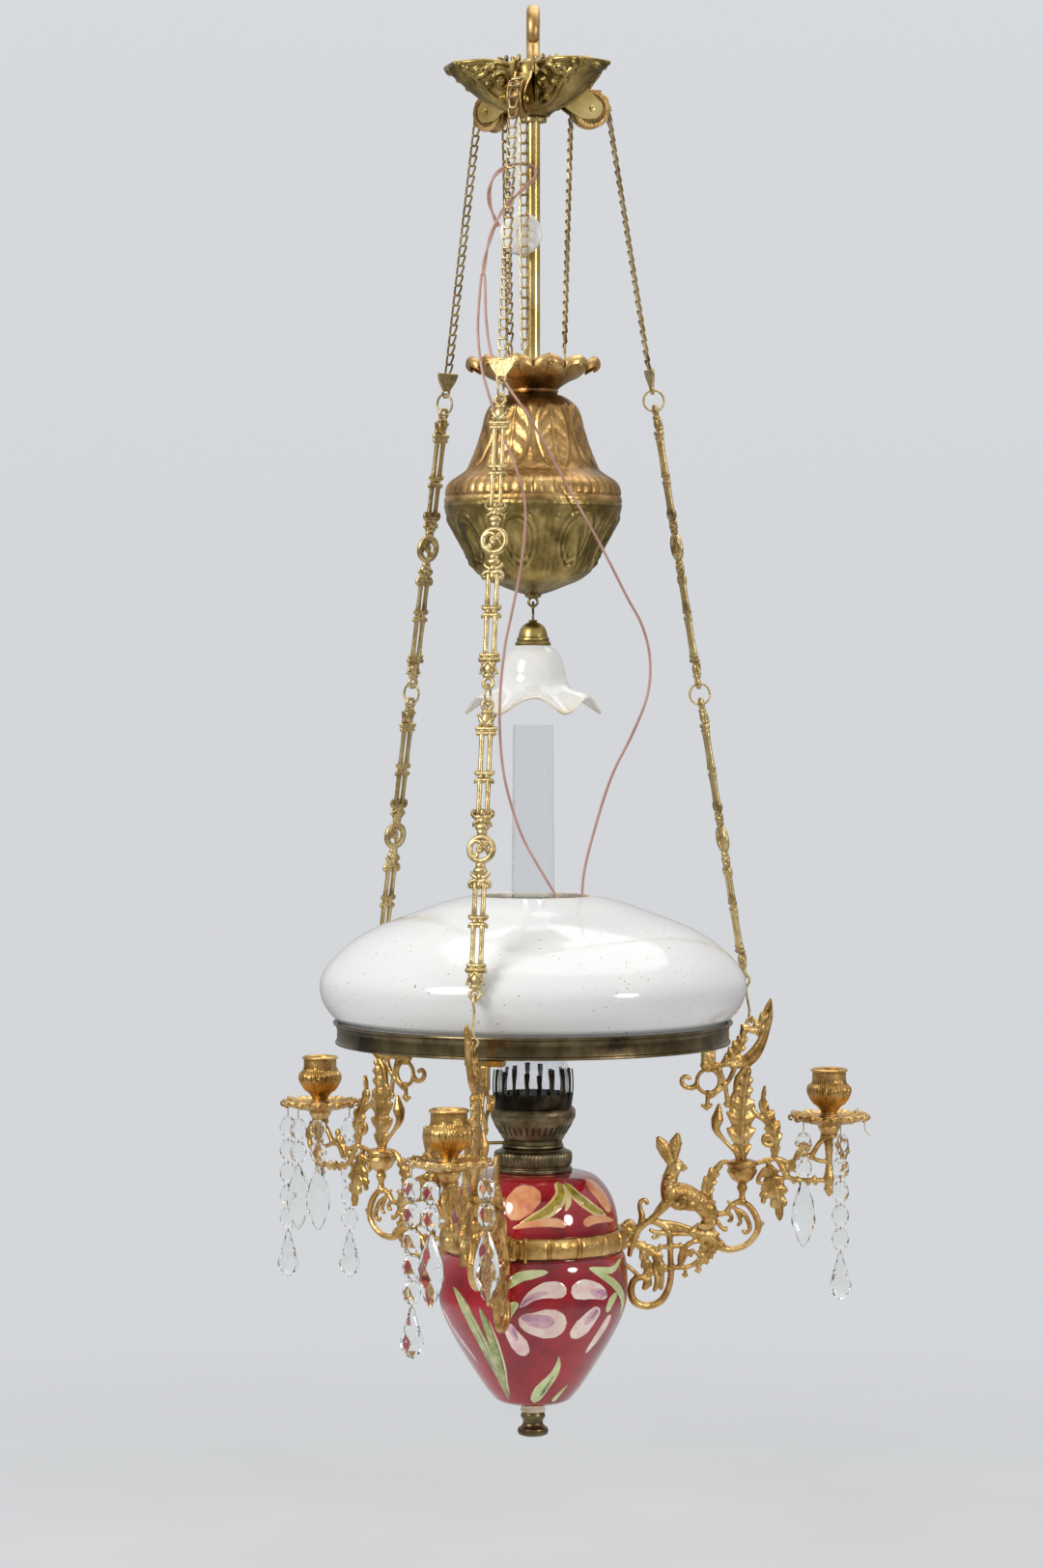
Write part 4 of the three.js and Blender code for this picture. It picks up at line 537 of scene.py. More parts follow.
def make_cords():
    disc = junction_disc()
    path = curve(PAIR_ROUTE, 8)
    along = np.concatenate([[0], np.cumsum(np.linalg.norm(np.diff(path, axis=0), axis=1))]) / MM
    tangent = np.gradient(path, axis=0)
    tangent /= np.linalg.norm(tangent, axis=1)[:, None]
    side = np.cross(tangent, (0, 1, 0))
    side /= np.linalg.norm(side, axis=1)[:, None]
    other = np.cross(tangent, side)
    angle = (TURN * along / CORE_TWIST)[:, None]
    apart = (PAIR - PAIRED) / 2
    offset = apart * (np.cos(angle) * side + np.sin(angle) * other)
    cores = [tube((path + way * offset) / MM, PAIRED / MM / 2, 10) for way in (1, -1)]
    pair = stand("twin_flex", mesh_of("twin_flex", merge(*cores)), FLEX_SKIN)
    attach(pair, "ceiling_gear")
    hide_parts("flex_pair")
    for name, route in (("a", CORE_A_ROUTE), ("b", CORE_B_ROUTE)):
        path = curve(route, 8)
        shape = tube(path / MM, FLEX / MM / 2, 12)
        core = stand("single_core_" + name, mesh_of("single_core_" + name, shape), FLEX_SKIN)
        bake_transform(core)
        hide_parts("flex_core_" + name)


make_cords()


def make_floor(level, reach):
    """A pale round floor that fades out before the backdrop."""
    shape = lathe([(0, 0), (reach / MM * 0.5, 0), (reach / MM, 0)], 64)
    floor = stand("floor", mesh_of("floor", shape, tidy=False), None, Matrix.Translation((0, 0, level)))
    material, tree, shader = look("floor", (0.60, 0.61, 0.62), 0.9)
    tone = patches_of(tree, (2.0, 2.0), (0.3, (0.57, 0.58, 0.59)), (0.7, (0.62, 0.63, 0.64)))
    feed(tree, shader, {"Base Color": tone})
    where = node(tree, "TexCoord").outputs["Object"]
    far = node(tree, "VectorMath", {0: where}, operation="LENGTH").outputs["Value"]
    fade = node(tree, "MapRange", {"Value": far, "From Min": 1.0, "From Max": reach},
        interpolation_type="SMOOTHSTEP").outputs["Result"]
    clear = node(tree, "BsdfTransparent").outputs["BSDF"]
    mix = node(tree, "MixShader", {"Fac": fade, 1: shader.outputs["BSDF"], 2: clear})
    feed(tree, tree.nodes["Material Output"], {"Surface": mix.outputs["Shader"]})
    floor.data.materials.append(material)


def make_lights():
    """Three soft round lamps: place, size in metres and power in watts."""
    middle = Vector((0, 0, -0.65))
    for name, place, size, power in (("key", (-2.3, -2.1, 1.0), 1.5, 66.0),
            ("fill", (2.4, -2.0, -0.2), 0.7, 20.0), ("top", (0.3, 0.6, 1.6), 3.0, 30.0)):
        data = bpy.data.lights.new(name, "AREA")
        data.shape = "DISK"
        data.size = size
        data.energy = power
        lamp = bpy.data.objects.new(name, data)
        bpy.context.scene.collection.objects.link(lamp)
        lamp.location = place
        lamp.rotation_euler = (middle - Vector(place)).to_track_quat("-Z", "Y").to_euler()


def make_world():
    """The studio: a pale backdrop for the camera, and a brighter room above that lights the lamp."""
    world = bpy.data.worlds.new("studio")
    bpy.context.scene.world = world
    world.use_nodes = True
    tree = world.node_tree
    tree.nodes.clear()
    where = node(tree, "TexCoord").outputs["Generated"]
    up = node(tree, "SeparateXYZ", {"Vector": where}).outputs["Z"]
    backdrop = ramp(tree, up, (0.0, srgb(212, 214, 217)), (0.5, srgb(222, 224, 227)))
    height = node(tree, "MapRange", {"Value": up, "From Min": -1.0}).outputs["Result"]
    room = ramp(tree, height, (0.0, 0.20), (0.42, 0.30), (0.56, (0.62, 0.63, 0.64)), (1.0, 1.0))
    seen = node(tree, "Background", {"Color": backdrop}).outputs["Background"]
    lit = node(tree, "Background", {"Color": room, "Strength": 0.8}).outputs["Background"]
    rays = node(tree, "LightPath").outputs
    direct = node(tree, "Math", {0: rays["Is Camera Ray"], 1: rays["Is Transmission Ray"]},
        operation="MAXIMUM")
    mix = node(tree, "MixShader", {"Fac": direct.outputs["Value"], 1: lit, 2: seen})
    node(tree, "OutputWorld", {"Surface": mix.outputs["Shader"]})
    bpy.context.scene.view_settings.view_transform = "Standard"


make_floor(level=-1.62, reach=2.9)
make_lights()
make_world()


# Turned pieces, their levels in millimetres from the hook's inner top

def shell(outer, wall, fine=6, inner_fine=2):
    """A closed profile of sheet: a smooth outer line and the same line again, a wall further in."""
    line = curve(outer, fine)
    back = curve(outer, inner_fine)
    along = np.gradient(back, axis=0)
    along /= np.linalg.norm(along, axis=1)[:, None]
    inward = np.column_stack([along[:, 1], -along[:, 0]])
    if inward[len(inward) // 2][0] > 0:
        inward = -inward
    inner = back + inward * wall
    return np.vstack([line, inner[::-1]])


def petal(angles, count, turn=0.0):
    """Place across each of count equal panels, from -1 at one edge to 1 at the next."""
    share = (angles - turn) * count / TURN
    return 2 * (share - np.floor(share)) - 1


def hump(value, wide):
    """A soft hump, 1 high where the value is 0."""
    return np.exp(-(value / wide) ** 2)


def spot(across, along):
    """A soft round hump, from two places in shares of its own size."""
    return hump(np.hypot(across, along), 1)


def smooth(value, low, high):
    """0 below low, 1 above high and a soft step between."""
    t = np.clip((value - low) / (high - low), 0, 1)
    return t * t * (3 - 2 * t)


def make_hook():
    """Forged hook: a round bar bent to an open crook, its shank turned down to a small shoulder."""
    line = [(0, 0, -51.5), (0, 0, -38.25)]
    for i in range(15):
        angle = math.radians(-64 + 269 * i / 14)
        line.append((0, 19 * math.cos(angle), -13 + 19 * math.sin(angle)))
    path = curve(line, 5)
    radius = np.full(len(path), 6.0)
    radius[-10:] = np.linspace(6.0, 5.2, 10)
    collar = lathe([(0, -40.5), (8.6, -40.5), (9.2, -39.2), (9.2, -37.6), (8.2, -36.2), (0, -36.2)], 48)
    piece("hook", tube(path, radius, 28), HOOK_BRASS, "ceiling_gear", "hook_brass", "hanging_hook")
    piece("hook_collar", collar, PALE, "ceiling_gear", "hook_brass")


def make_rod():
    """Polished rod with the small washer under the crown and its wear marks."""
    rod = lathe([(0, -355.5), (5.2, -355.5), (6.25, -354.3), (6.25, -90.6), (6.25, -73.5), (0, -73.5)], 56)
    washer = lathe([(6.3, -92.4), (11.5, -92.4), (12.2, -91.6), (12.2, -89.2), (11.4, -88.0), (6.3, -88.0)],
        56, closed=True)
    piece("rod", rod, POLISHED, "ceiling_gear", "hook_brass", "central_rod")
    piece("rod_washer", washer, PALE, "ceiling_gear", "hook_brass")


def make_cup():
    """The scalloped cup: twelve petals that curl over, a bead on each tip."""
    count = 12

    def bend(r, z, angles):
        far = smooth(r, 30, 57)
        u = petal(angles, count)
        arch = np.cos(u * math.pi / 2) ** 0.7
        vein = hump(u, 0.12)
        radius = r * (1 - 0.10 * far * (1 - arch)) - 0.5 * far * vein
        return radius, z - 5.2 * far * (1 - arch) + 1.1 * far * vein

    outer = [(21, -333), (22.5, -329), (30, -323.5), (40, -318), (48, -311.5), (53, -306), (56.5, -303.6),
        (59.2, -305.2), (59.5, -309)]
    bowl = lathe(shell(outer, 1.9, 5, 4), 288, bend, closed=True)
    neck = lathe([(6.9, -333), (21.6, -333), (22.6, -331.4), (22.2, -329.6), (19.6, -328.6), (17, -328.2),
        (16.2, -326), (13, -325), (6.9, -325)], 72, closed=True)
    beads = [spun(dot(58.4, -309.6, 2.5), TURN * (i + 0.5) / count) for i in range(count)]
    rolls = []
    for i in range(count):
        bar = [(53.5 - 6.5 * t * t, 15.2 * t * 0.55, -305.8 - 2.2 * t * t) for t in np.linspace(-1, 1, 9)]
        rolls.append(spun(tube(bar, [0.7, 1.0, 1.3, 1.5, 1.6, 1.5, 1.3, 1.0, 0.7], 10),
            TURN * (i + 0.5) / count))
    piece("cup_bowl", bowl, COPPERED, "counterweight", "coppered_brass", "counterweight_cup", sharp=50)
    piece("cup_neck", neck, COPPERED, "counterweight", "coppered_brass")
    piece("cup_beads", merge(*beads), COPPERED, "counterweight", "coppered_brass")
    piece("cup_curls", merge(*rolls), COPPERED, "counterweight", "coppered_brass")
    for side in SIDES:
        line = [(22, 0, -329), (29, 0, -317), (29.5, 0, -299), (29, 2.6, -291), (29, 0, -287),
            (29, -2.6, -291), (29, -2.2, -296)]
        hook = spun(tube(curve(line, 7), 1.0, 10), AZIMUTH[side])
        piece("cup_hook_" + side, hook, PALE, "counterweight", "coppered_brass")


def make_shells():
    """The two pressed shells: eight leaf panels and a gadrooned girth above, cartouches below."""
    def upper(r, z, angles):
        u = petal(angles, 8)
        t = np.clip((-338 - z) / 66.0, 0.001, 0.999)
        side = np.abs(u)
        half = 0.80 * np.sin(math.pi * t ** 0.8) ** 0.55
        body = 1.3 * smooth(half - side, -0.04, 0.10)
        edge = 1.0 * hump(side - half, 0.075)
        rib = 0.9 * hump(u, 0.07)
        veins = 0.55 * np.sin(26 * t - 7 * side) * smooth(half - side, 0.0, 0.2)
        between = 1.5 * spot((side - 1) / 0.16, (t - 0.80) / 0.16)
        between = between + 1.1 * spot((side - 1) / 0.2, (t - 0.12) / 0.10)
        fade = smooth(t, 0.02, 0.1) * (1 - smooth(t, 0.9, 0.98))
        small = petal(angles, 52)
        gadroon = 1.7 * np.sqrt(np.clip(1 - small ** 2, 0, 1)) - 1.0
        band = smooth(z, -424.6, -422.6) * (1 - smooth(z, -410, -406.5))
        return r - 0.6 + fade * (body + edge + rib + veins + between) + band * gadroon, z

    def lower(r, z, angles):
        u = petal(angles, 8, TURN / 32)
        t = (z + 436) / -62.0
        inside = smooth(t, 0.05, 0.16) * (1 - smooth(t, 0.9, 1.0))
        edge = 1.1 * hump(np.abs(u) - 1, 0.06)
        oval = np.hypot(u / 0.56, (t - 0.46) / 0.40)
        rim = 2.0 * hump(oval - 1, 0.11)
        second = 1.0 * hump(oval - 0.72, 0.07)
        boss = 2.4 * spot(u / 0.2, (t - 0.40) / 0.17)
        leaf = 1.9 * spot((np.abs(u) - 0.2 - 0.5 * (t - 0.6)) / 0.08, (t - 0.68) / 0.16)
        spray = 1.6 * spot((np.abs(u) - 0.78) / 0.1, (t - 0.15) / 0.12)
        spray = spray + 1.6 * spot((np.abs(u) - 0.75) / 0.12, (t - 0.85) / 0.1)
        beads = petal(angles, 72)
        string = 0.4 * np.clip(1 - beads ** 2, 0, 1) * hump(z + 433.4, 1.5)
        return r + inside * (edge + rim + second + boss + leaf + spray) + string, z

    top = [(21.5, -333.3), (29.3, -336.2), (36, -341), (40.5, -348), (43.2, -357), (45.7, -367),
        (48.2, -375), (50.9, -382), (53.5, -389), (56.9, -396.5), (61, -401.5), (66.4, -405.5),
        (71.5, -409), (75.3, -412.5), (77.6, -416.6), (78.4, -420.6), (78.5, -424), (78.3, -426.2)]
    below = [(77.4, -426.6), (78.4, -428.2), (78.9, -431), (78.8, -435), (77.8, -440), (74.8, -447),
        (70.4, -455), (64.6, -465.5), (60, -474), (55.4, -483), (51.8, -489), (47.6, -494.4), (40, -499.5),
        (29, -504), (18, -508.4), (9, -511.2), (5.6, -512)]
    piece("weight_upper", lathe(shell(top, 1.9, 7, 2), 336, upper, closed=True), COPPERED, "counterweight",
        "coppered_brass", "counterweight_upper_shell", sharp=60)
    piece("weight_lower", lathe(shell(below, 1.9, 8, 2), 336, lower, closed=True), ANTIQUE, "counterweight",
        "antique_brass", "counterweight_lower_shell", sharp=60)
    rim = [(77.4, -425.0), (78.6, -425.2), (79.2, -426.6), (79.3, -428.6), (79.1, -430.2), (77.6, -430.4)]
    piece("weight_rim", lathe(rim, 144, closed=True), COPPERED, "counterweight", "coppered_brass")
    flange = lathe([(0, -500.5), (4.1, -500.5), (4.1, -510.9), (7.4, -511.2), (7.6, -512.4), (6.4, -514.2),
        (3.2, -515), (0, -515)], 40)
    eye = moved(spun(ring(4.0, 1.15, 36, 12), math.pi / 2, "X"), z=-518.2)
    piece("weight_flange", flange, ANTIQUE, "counterweight", "antique_brass", "counterweight_eye")
    piece("weight_eye", eye, ANTIQUE, "counterweight", "antique_brass")


def make_bell():
    """The smoke bell: dark wire hook, stepped cap and the ruffled glass."""
    r, pivot = 4.2, -518.57
    line = [(0, 0, -545), (0, 0, pivot - 2 * r - 3), (0, r * 0.8, pivot - 1.8 * r), (0, r, pivot - r),
        (0, r * 0.6, pivot - 0.15 * r), (0, -r * 0.6, pivot - 0.15 * r),
        (0, -r, pivot - r), (0, -r, pivot - 1.6 * r)]
    piece("bell_hook", tube(curve(line, 7), 1.1, 12), DARK, "smoke_bell", "dark_bronze", "smoke_bell_hook")
    cap = [(1.6, -535.8), (3.2, -536), (6, -537), (9, -539), (11.2, -542), (12.6, -546), (13.2, -549.4),
        (14.3, -550.4), (14.5, -551.8), (14.2, -552.6), (15.2, -554), (16.2, -555.6), (16.0, -556.6),
        (14.8, -556.4), (13.4, -553.6), (12, -549.6), (10.6, -544.6), (7, -540.4), (1.6, -538.6)]
    piece("bell_cap", lathe(cap, 72, closed=True), ANTIQUE, "smoke_bell", "antique_brass",
        "smoke_bell_cap", sharp=28)
    nut = lathe([(1.5, -534.2), (3.4, -534.2), (3.9, -535), (3.4, -535.9), (1.5, -535.9)], 24, closed=True)
    piece("bell_nut", nut, ANTIQUE, "smoke_bell", "antique_brass")

    def ruffle(radius, z, angles):
        far = smooth(radius, 25, 57.5)
        wave = np.cos(6 * angles)
        small = np.cos(12 * angles + 0.6)
        out = radius * (1 + 0.035 * far * wave) + 0.5 * far * small
        return out, z - far * (7.0 * wave + 0.9 * small)

    outer = [(13.4, -550.9), (13.6, -554.5), (16.4, -558.2), (21.5, -562), (24.6, -567), (27, -573),
        (28.4, -579), (29.6, -586), (32.4, -592), (37.6, -597.2), (44.5, -601.4), (51, -604.6),
        (56.4, -607.4), (58.4, -609.4)]
    piece("bell_glass", lathe(shell(outer, 2.4, 5, 5), 240, ruffle, closed=True), BELL_OPAL, "smoke_bell",
        "opal_glass", "smoke_bell_glass", sharp=60)


def make_glass():
    """The opal shade with its ground mouth, and the clear chimney."""
    outer = [(52.2, -780.9), (56, -780.7), (62.9, -781.9), (82, -786.9), (101.7, -794), (122, -801.3),
        (141.4, -809.4), (157.5, -818.4), (169.8, -828), (179.6, -837.4), (186.6, -847), (189.8, -854.6),
        (190.5, -862), (189.4, -870), (186, -878), (180.2, -886), (174.6, -890.6), (172.5, -893.2),
        (172.4, -899), (172.4, -904.4)]
    body = lathe(shell(outer, 3.8, 5, 3), 144, closed=True)
    piece("shade_glass", body, OPAL, "lamp", "opal_glass", "shade", sharp=45)
    mouth = [(51.4, -784.2), (51.0, -782.2), (51.8, -780.6), (54.0, -780.2), (55.4, -781.0), (53.4, -783.4)]
    piece("shade_mouth", lathe(mouth, 144, closed=True), CREAM_EDGE, "lamp", "opal_glass")
    tall = [(32, -968.05), (32, -961), (32, -948), (31.7, -936), (30.4, -929), (27.2, -919), (24.3, -910),
        (22.2, -896), (20.9, -880), (20.2, -862), (19.5, -820), (19.0, -770), (18.5, -710), (18.1, -660),
        (17.9, -635), (17.8, -628)]
    piece("chimney_tube", lathe(shell(tall, 1.7, 4, 4), 96, closed=True), CHIMNEY_GLASS, "lamp",
        "clear_glass", "chimney", sharp=60)


def make_ring():
    """The shade ring: rolled lip, a shallow bead, a second bead above the lower edge and the ledge."""
    band = [(175.2, -911.6), (176.2, -911.9), (176.8, -911.0), (176.5, -909.6), (175.4, -908.8),
        (175.2, -907.6), (175.2, -902), (175.2, -898.8), (175.8, -897.6), (176.2, -896.4), (176.4, -895.2),
        (178.2, -894.4), (178.8, -893.4), (178.4, -892.5), (176.6, -892.2), (174.4, -892.6),
        (173.6, -893.6), (173.6, -904.9), (157.8, -904.9), (157.0, -905.6), (157.0, -906.6),
        (157.8, -907.0), (173.6, -907.0), (173.6, -911.4)]
    piece("ring_band", lathe(band, 192, closed=True), DARK, "lamp", "dark_bronze", "shade_ring", sharp=28)


def make_girdle():
    """The girdle: a half-round band like a bamboo rod, with a swollen joint at every 20 degrees."""
    def bamboo(r, z, angles):
        round_side = smooth(r, 77, 80)
        u = petal(angles, 18)
        joint = 1.1 * hump(np.abs(u) - 1, 0.07)
        joint = joint + 0.8 * hump(np.abs(u) - 0.72, 0.05)
        waist = -0.9 * hump(np.abs(u) - 0.86, 0.08)
        side_bud = 0.9 * spot((u - 0.45) / 0.12, (z + 1084) / 3.0)
        return r + round_side * (joint + waist + side_bud), z

    profile = [(76.4, -1096.6), (78.6, -1096.8), (80.6, -1095.8), (82.0, -1093.2), (82.7, -1090.2),
        (82.9, -1087.2), (82.6, -1083.8), (81.8, -1080.8), (80.4, -1078.4),
        (78.6, -1077.6), (76.4, -1077.8)]
    piece("girdle_band", lathe(curve(profile, 5), 288, bamboo, closed=True), GOLD, "lamp",
        "gold_brass", "font_girdle", sharp=50)
    ties = []
    for azimuth in AZIMUTH.values():
        for turn in (-0.17, 0.17):
            hoop = [(83.2, 0, z) for z in (-1096.4, -1087.4, -1078.4)]
            tie = tube(curve([(80.4, 0, -1098.2), *hoop, (80.4, 0, -1076.8)], 5), 1.5, 10, up=(0, 1, 0))
            ties.append(spun(tie, azimuth + turn))
    piece("girdle_ties", merge(*ties), GOLD, "lamp", "gold_brass")


# The font's outer line, and its smooth course with the direction at each point, from the foot up
FONT_LINE = [(26.2, -1027), (34, -1027), (44, -1027.9), (54.3, -1030.6), (61.6, -1036.6), (68.2, -1045.6),
    (72.4, -1055), (75, -1065), (76, -1072.4), (76, -1076.6), (76, -1097.4), (79.8, -1098.4), (82.4, -1103),
    (84.1, -1112), (84.6, -1121.5), (84.5, -1133), (83.6, -1144), (79.6, -1157), (74, -1169), (67, -1182),
    (58.6, -1195.6), (51, -1207.8), (43, -1219.7), (38, -1226), (32.8, -1231.6), (25, -1234.6),
    (19, -1235), (11.4, -1235)]
FONT_CURVE = curve(FONT_LINE, 5)[::-1]
FONT_ALONG = np.gradient(FONT_CURVE, axis=0)
FONT_ALONG /= np.linalg.norm(FONT_ALONG, axis=1)[:, None]


def make_font():
    """The porcelain font with its foot ring, and the finial under it."""
    inner = [(11.4, -1230), (27, -1225), (53, -1188), (71, -1150), (75, -1120),
        (71, -1072), (57, -1044), (26, -1031)]
    piece("font_body", lathe(np.vstack([FONT_CURVE[::-1], inner]), 192, closed=True), GLAZE, "lamp",
        "glazed_porcelain", "font", sharp=40)
    foot = [(4.4, -1234.7), (11.2, -1234.7), (12.0, -1235.6), (11.4, -1236.8), (10.8, -1238.2),
        (11.0, -1240.4), (11.4, -1242.2), (10.6, -1243.1), (4.4, -1243.1)]
    piece("font_foot", lathe(foot, 64, closed=True), CREAM_GLAZE, "lamp", "glazed_porcelain")
    end = [(0, -1265.1), (6, -1265.1), (10.4, -1264.7), (13.2, -1263.2), (14.0, -1260.6), (13.2, -1258),
        (10.6, -1256.2), (9.2, -1254.4), (8.8, -1252), (9.6, -1249.8), (10.9, -1248), (11.0, -1246.2),
        (10.2, -1244.4), (9.8, -1243.4), (4, -1243.4), (4, -1226), (0, -1226)]
    piece("finial", lathe(end, 64), DARK, "lamp", "dark_bronze", "font_finial", sharp=35)


def on_font(angle, level, lift):
    """Points on the font: degrees to the right of the front, level, and height above its glaze."""
    values = FONT_CURVE[:, 0], FONT_ALONG[:, 1], -FONT_ALONG[:, 0]
    radius, out, up = (np.interp(level, FONT_CURVE[:, 1], value) for value in values)
    radius, level = radius + lift * out, level + lift * up
    turn = np.radians(angle) - math.pi / 2
    return np.stack([radius * np.cos(turn), radius * np.sin(turn), level], -1)


def brush(points, widths, lift=0.7):
    """A raised brush stroke of enamel on the font through (degrees, level) points, with rounded ends."""
    spine = curve(points, 8)
    count = len(spine)
    radius = np.interp(spine[:, 1], FONT_CURVE[:, 1], FONT_CURVE[:, 0])
    slope = np.interp(spine[:, 1], FONT_CURVE[:, 1], np.abs(FONT_ALONG[:, 1]))
    way = np.column_stack([np.gradient(np.radians(spine[:, 0])) * radius, np.gradient(spine[:, 1]) / slope])
    way /= np.linalg.norm(way, axis=1)[:, None]
    share = np.linspace(0, 1, count)
    half = np.interp(share, np.linspace(0, 1, len(widths)), widths) / 2
    half = half * np.sqrt(np.clip(1 - np.abs(2 * share - 1) ** 8, 0, 1)) + 0.05
    across = np.array([-1, -0.85, -0.6, -0.3, 0, 0.3, 0.6, 0.85, 1])
    sections = []
    for i in range(count):
        angle = spine[i, 0] - np.degrees(way[i, 1] * across * half[i] / radius[i])
        level = spine[i, 1] + way[i, 0] * across * half[i] * slope[i]
        top = on_font(angle, level, lift * (0.25 + 0.75 * np.sqrt(1 - across ** 2)))
        sections.append(np.vstack([top, on_font(angle, level, -0.8)[::-1]]))
    return loft(sections)


def make_flowers():
    """Two facing flowers with leaves on the belly and tulip heads on the dome, twice round the font."""
    strokes = {
        "salmon_heads": (SALMON, [
            brush([(-15, -1062), (-11, -1050), (-5, -1041), (0, -1034)], (12, 27, 27, 16)),
            brush([(-14, -1069), (-6, -1066), (6, -1064), (15, -1064), (23, -1067)], (3, 5, 7, 8, 6)),
            brush([(55, -1032), (60, -1038), (64, -1048), (68, -1060)], (12, 20, 20, 12)),
            brush([(36, -1067), (45, -1064), (57, -1065), (70, -1068)], (8, 8, 6, 3)),
            brush([(-44, -1064), (-38, -1052), (-34, -1042)], (8, 16, 10)),
        ]),
        "cream_edges": (STEM_CREAM, [
            brush([(-10, -1066), (1, -1060), (11, -1054), (19, -1046), (23, -1039), (22, -1031)],
                  (4, 9, 11, 12, 11, 10), 0.45),
            brush([(29, -1032), (34, -1041), (41, -1049), (50, -1057), (60, -1062)],
                (10, 11, 12, 10, 5), 0.45),
            brush([(27, -1034), (27, -1046), (23, -1055)], (5, 6, 2), 0.45),
        ]),
        "olive_stems": (OLIVE, [
            brush([(-6, -1063), (2, -1059), (11, -1053), (19, -1045), (23, -1038), (23, -1031)],
                (2.5, 4.5, 7, 7, 6, 5.5), 0.95),
            brush([(29, -1032), (34, -1041), (41, -1049), (50, -1057), (57, -1060)],
                (5.5, 7, 7, 5.5, 2.5), 0.95),
        ]),
        "pale_blades": (PALE_GREEN, [
            brush([(-18, -1121), (-9, -1111), (-1, -1108), (9, -1106)], (7, 9, 8, 4)),
            brush([(36, -1105), (46, -1108), (57, -1109), (71, -1102)], (4, 6, 6, 3)),
            brush([(38, -1107), (48, -1114), (60, -1124), (71, -1138), (72, -1153)], (3, 6, 8, 10, 3)),
            brush([(-17, -1147), (-14, -1139), (-9, -1133)], (8, 10, 5)),
            brush([(51, -1146), (55, -1137), (61, -1131)], (6, 9, 5)),
            brush([(1, -1229), (9, -1216), (18, -1204), (21, -1194), (20, -1183)], (10, 12, 9, 6, 1)),
            brush([(29, -1229), (34, -1221), (40, -1213)], (5, 4, 1)),
        ]),
        "striped_blades": (LEAF_GREEN, [
            brush([(-56, -1124), (-46, -1141), (-40, -1161), (-36, -1186), (-33, -1211), (-35, -1228)],
                  (5, 11, 12, 11, 8, 3)),
            brush([(-34, -1139), (-31, -1155), (-29, -1177), (-30, -1201), (-33, -1225)], (3, 7, 8, 6, 2)),
            brush([(9, -1222), (15, -1212), (19, -1202)], (4, 4, 1), 1.0),
        ]),
        "blade_ribs": (CREAM_GLAZE, [
            brush([(-53, -1130), (-43, -1150), (-37, -1178), (-33, -1211)], (0.8, 1.2, 1.2, 0.7), 1.1),
            brush([(-49, -1131), (-39, -1152), (-34, -1180), (-32, -1212)], (0.8, 1.2, 1.2, 0.7), 1.1),
            brush([(-28, -1150), (-25, -1172), (-25, -1196), (-30, -1222)], (1.0, 1.8, 1.8, 1.0)),
        ]),
        "cream_petals": (PETAL_CREAM, [
            brush([(-8, -1137), (-1, -1127), (7, -1122), (14, -1122), (20, -1125)], (4, 9, 14, 15, 11)),
            brush([(-9, -1147), (-1, -1151), (7, -1152), (14, -1152), (21, -1151)], (12, 21, 28, 27, 17)),
            brush([(-16, -1152), (-14, -1161), (-10, -1171), (-6, -1182)], (8, 12, 16, 11)),
            brush([(50, -1132), (42, -1126), (32, -1123), (23, -1125)], (8, 14, 18, 13)),
            brush([(44, -1141), (38, -1149), (33, -1157), (26, -1166)], (10, 16, 19, 12)),
            brush([(56, -1149), (53, -1159), (49, -1171), (44, -1183)], (7, 10, 9, 4)),
        ]),
        "pink_petals": (PETAL_PINK, [
            brush([(-6, -1146), (1, -1149), (8, -1150), (13, -1150)], (9, 14, 15, 8), 1.0),
            brush([(-7, -1136), (-2, -1129), (4, -1125), (9, -1124)], (4, 7, 6, 3), 1.0),
            brush([(-15, -1153), (-13, -1160), (-11, -1168)], (6, 8, 5), 1.0),
            brush([(48, -1131), (42, -1127), (36, -1125)], (8, 10, 5), 1.0),
            brush([(42, -1142), (38, -1148), (34, -1154)], (7, 10, 6), 1.0),
            brush([(-76, -1148), (-70, -1160), (-61, -1178), (-54, -1194)], (4, 7, 6, 2)),
        ]),
        "mauve_hearts": (PETAL_MAUVE, [
            brush([(-7, -1145), (-2, -1147), (3, -1147)], (6, 7, 3), 1.25),
            brush([(-7, -1136), (-4, -1131), (0, -1128)], (3, 4, 2), 1.25),
            brush([(49, -1130), (45, -1127), (41, -1126)], (6, 6, 2), 1.25),
            brush([(42, -1142), (40, -1146), (37, -1149)], (5, 6, 2), 1.25),
            brush([(-13, -1156), (-12, -1161), (-11, -1165)], (3, 4, 2), 1.25),
        ]),
    }
    for name, (material, shapes) in strokes.items():
        whole = merge(*shapes, *[spun(shape, math.pi) for shape in shapes])
        piece(name, whole, material, "lamp", "glazed_porcelain", sharp=60)


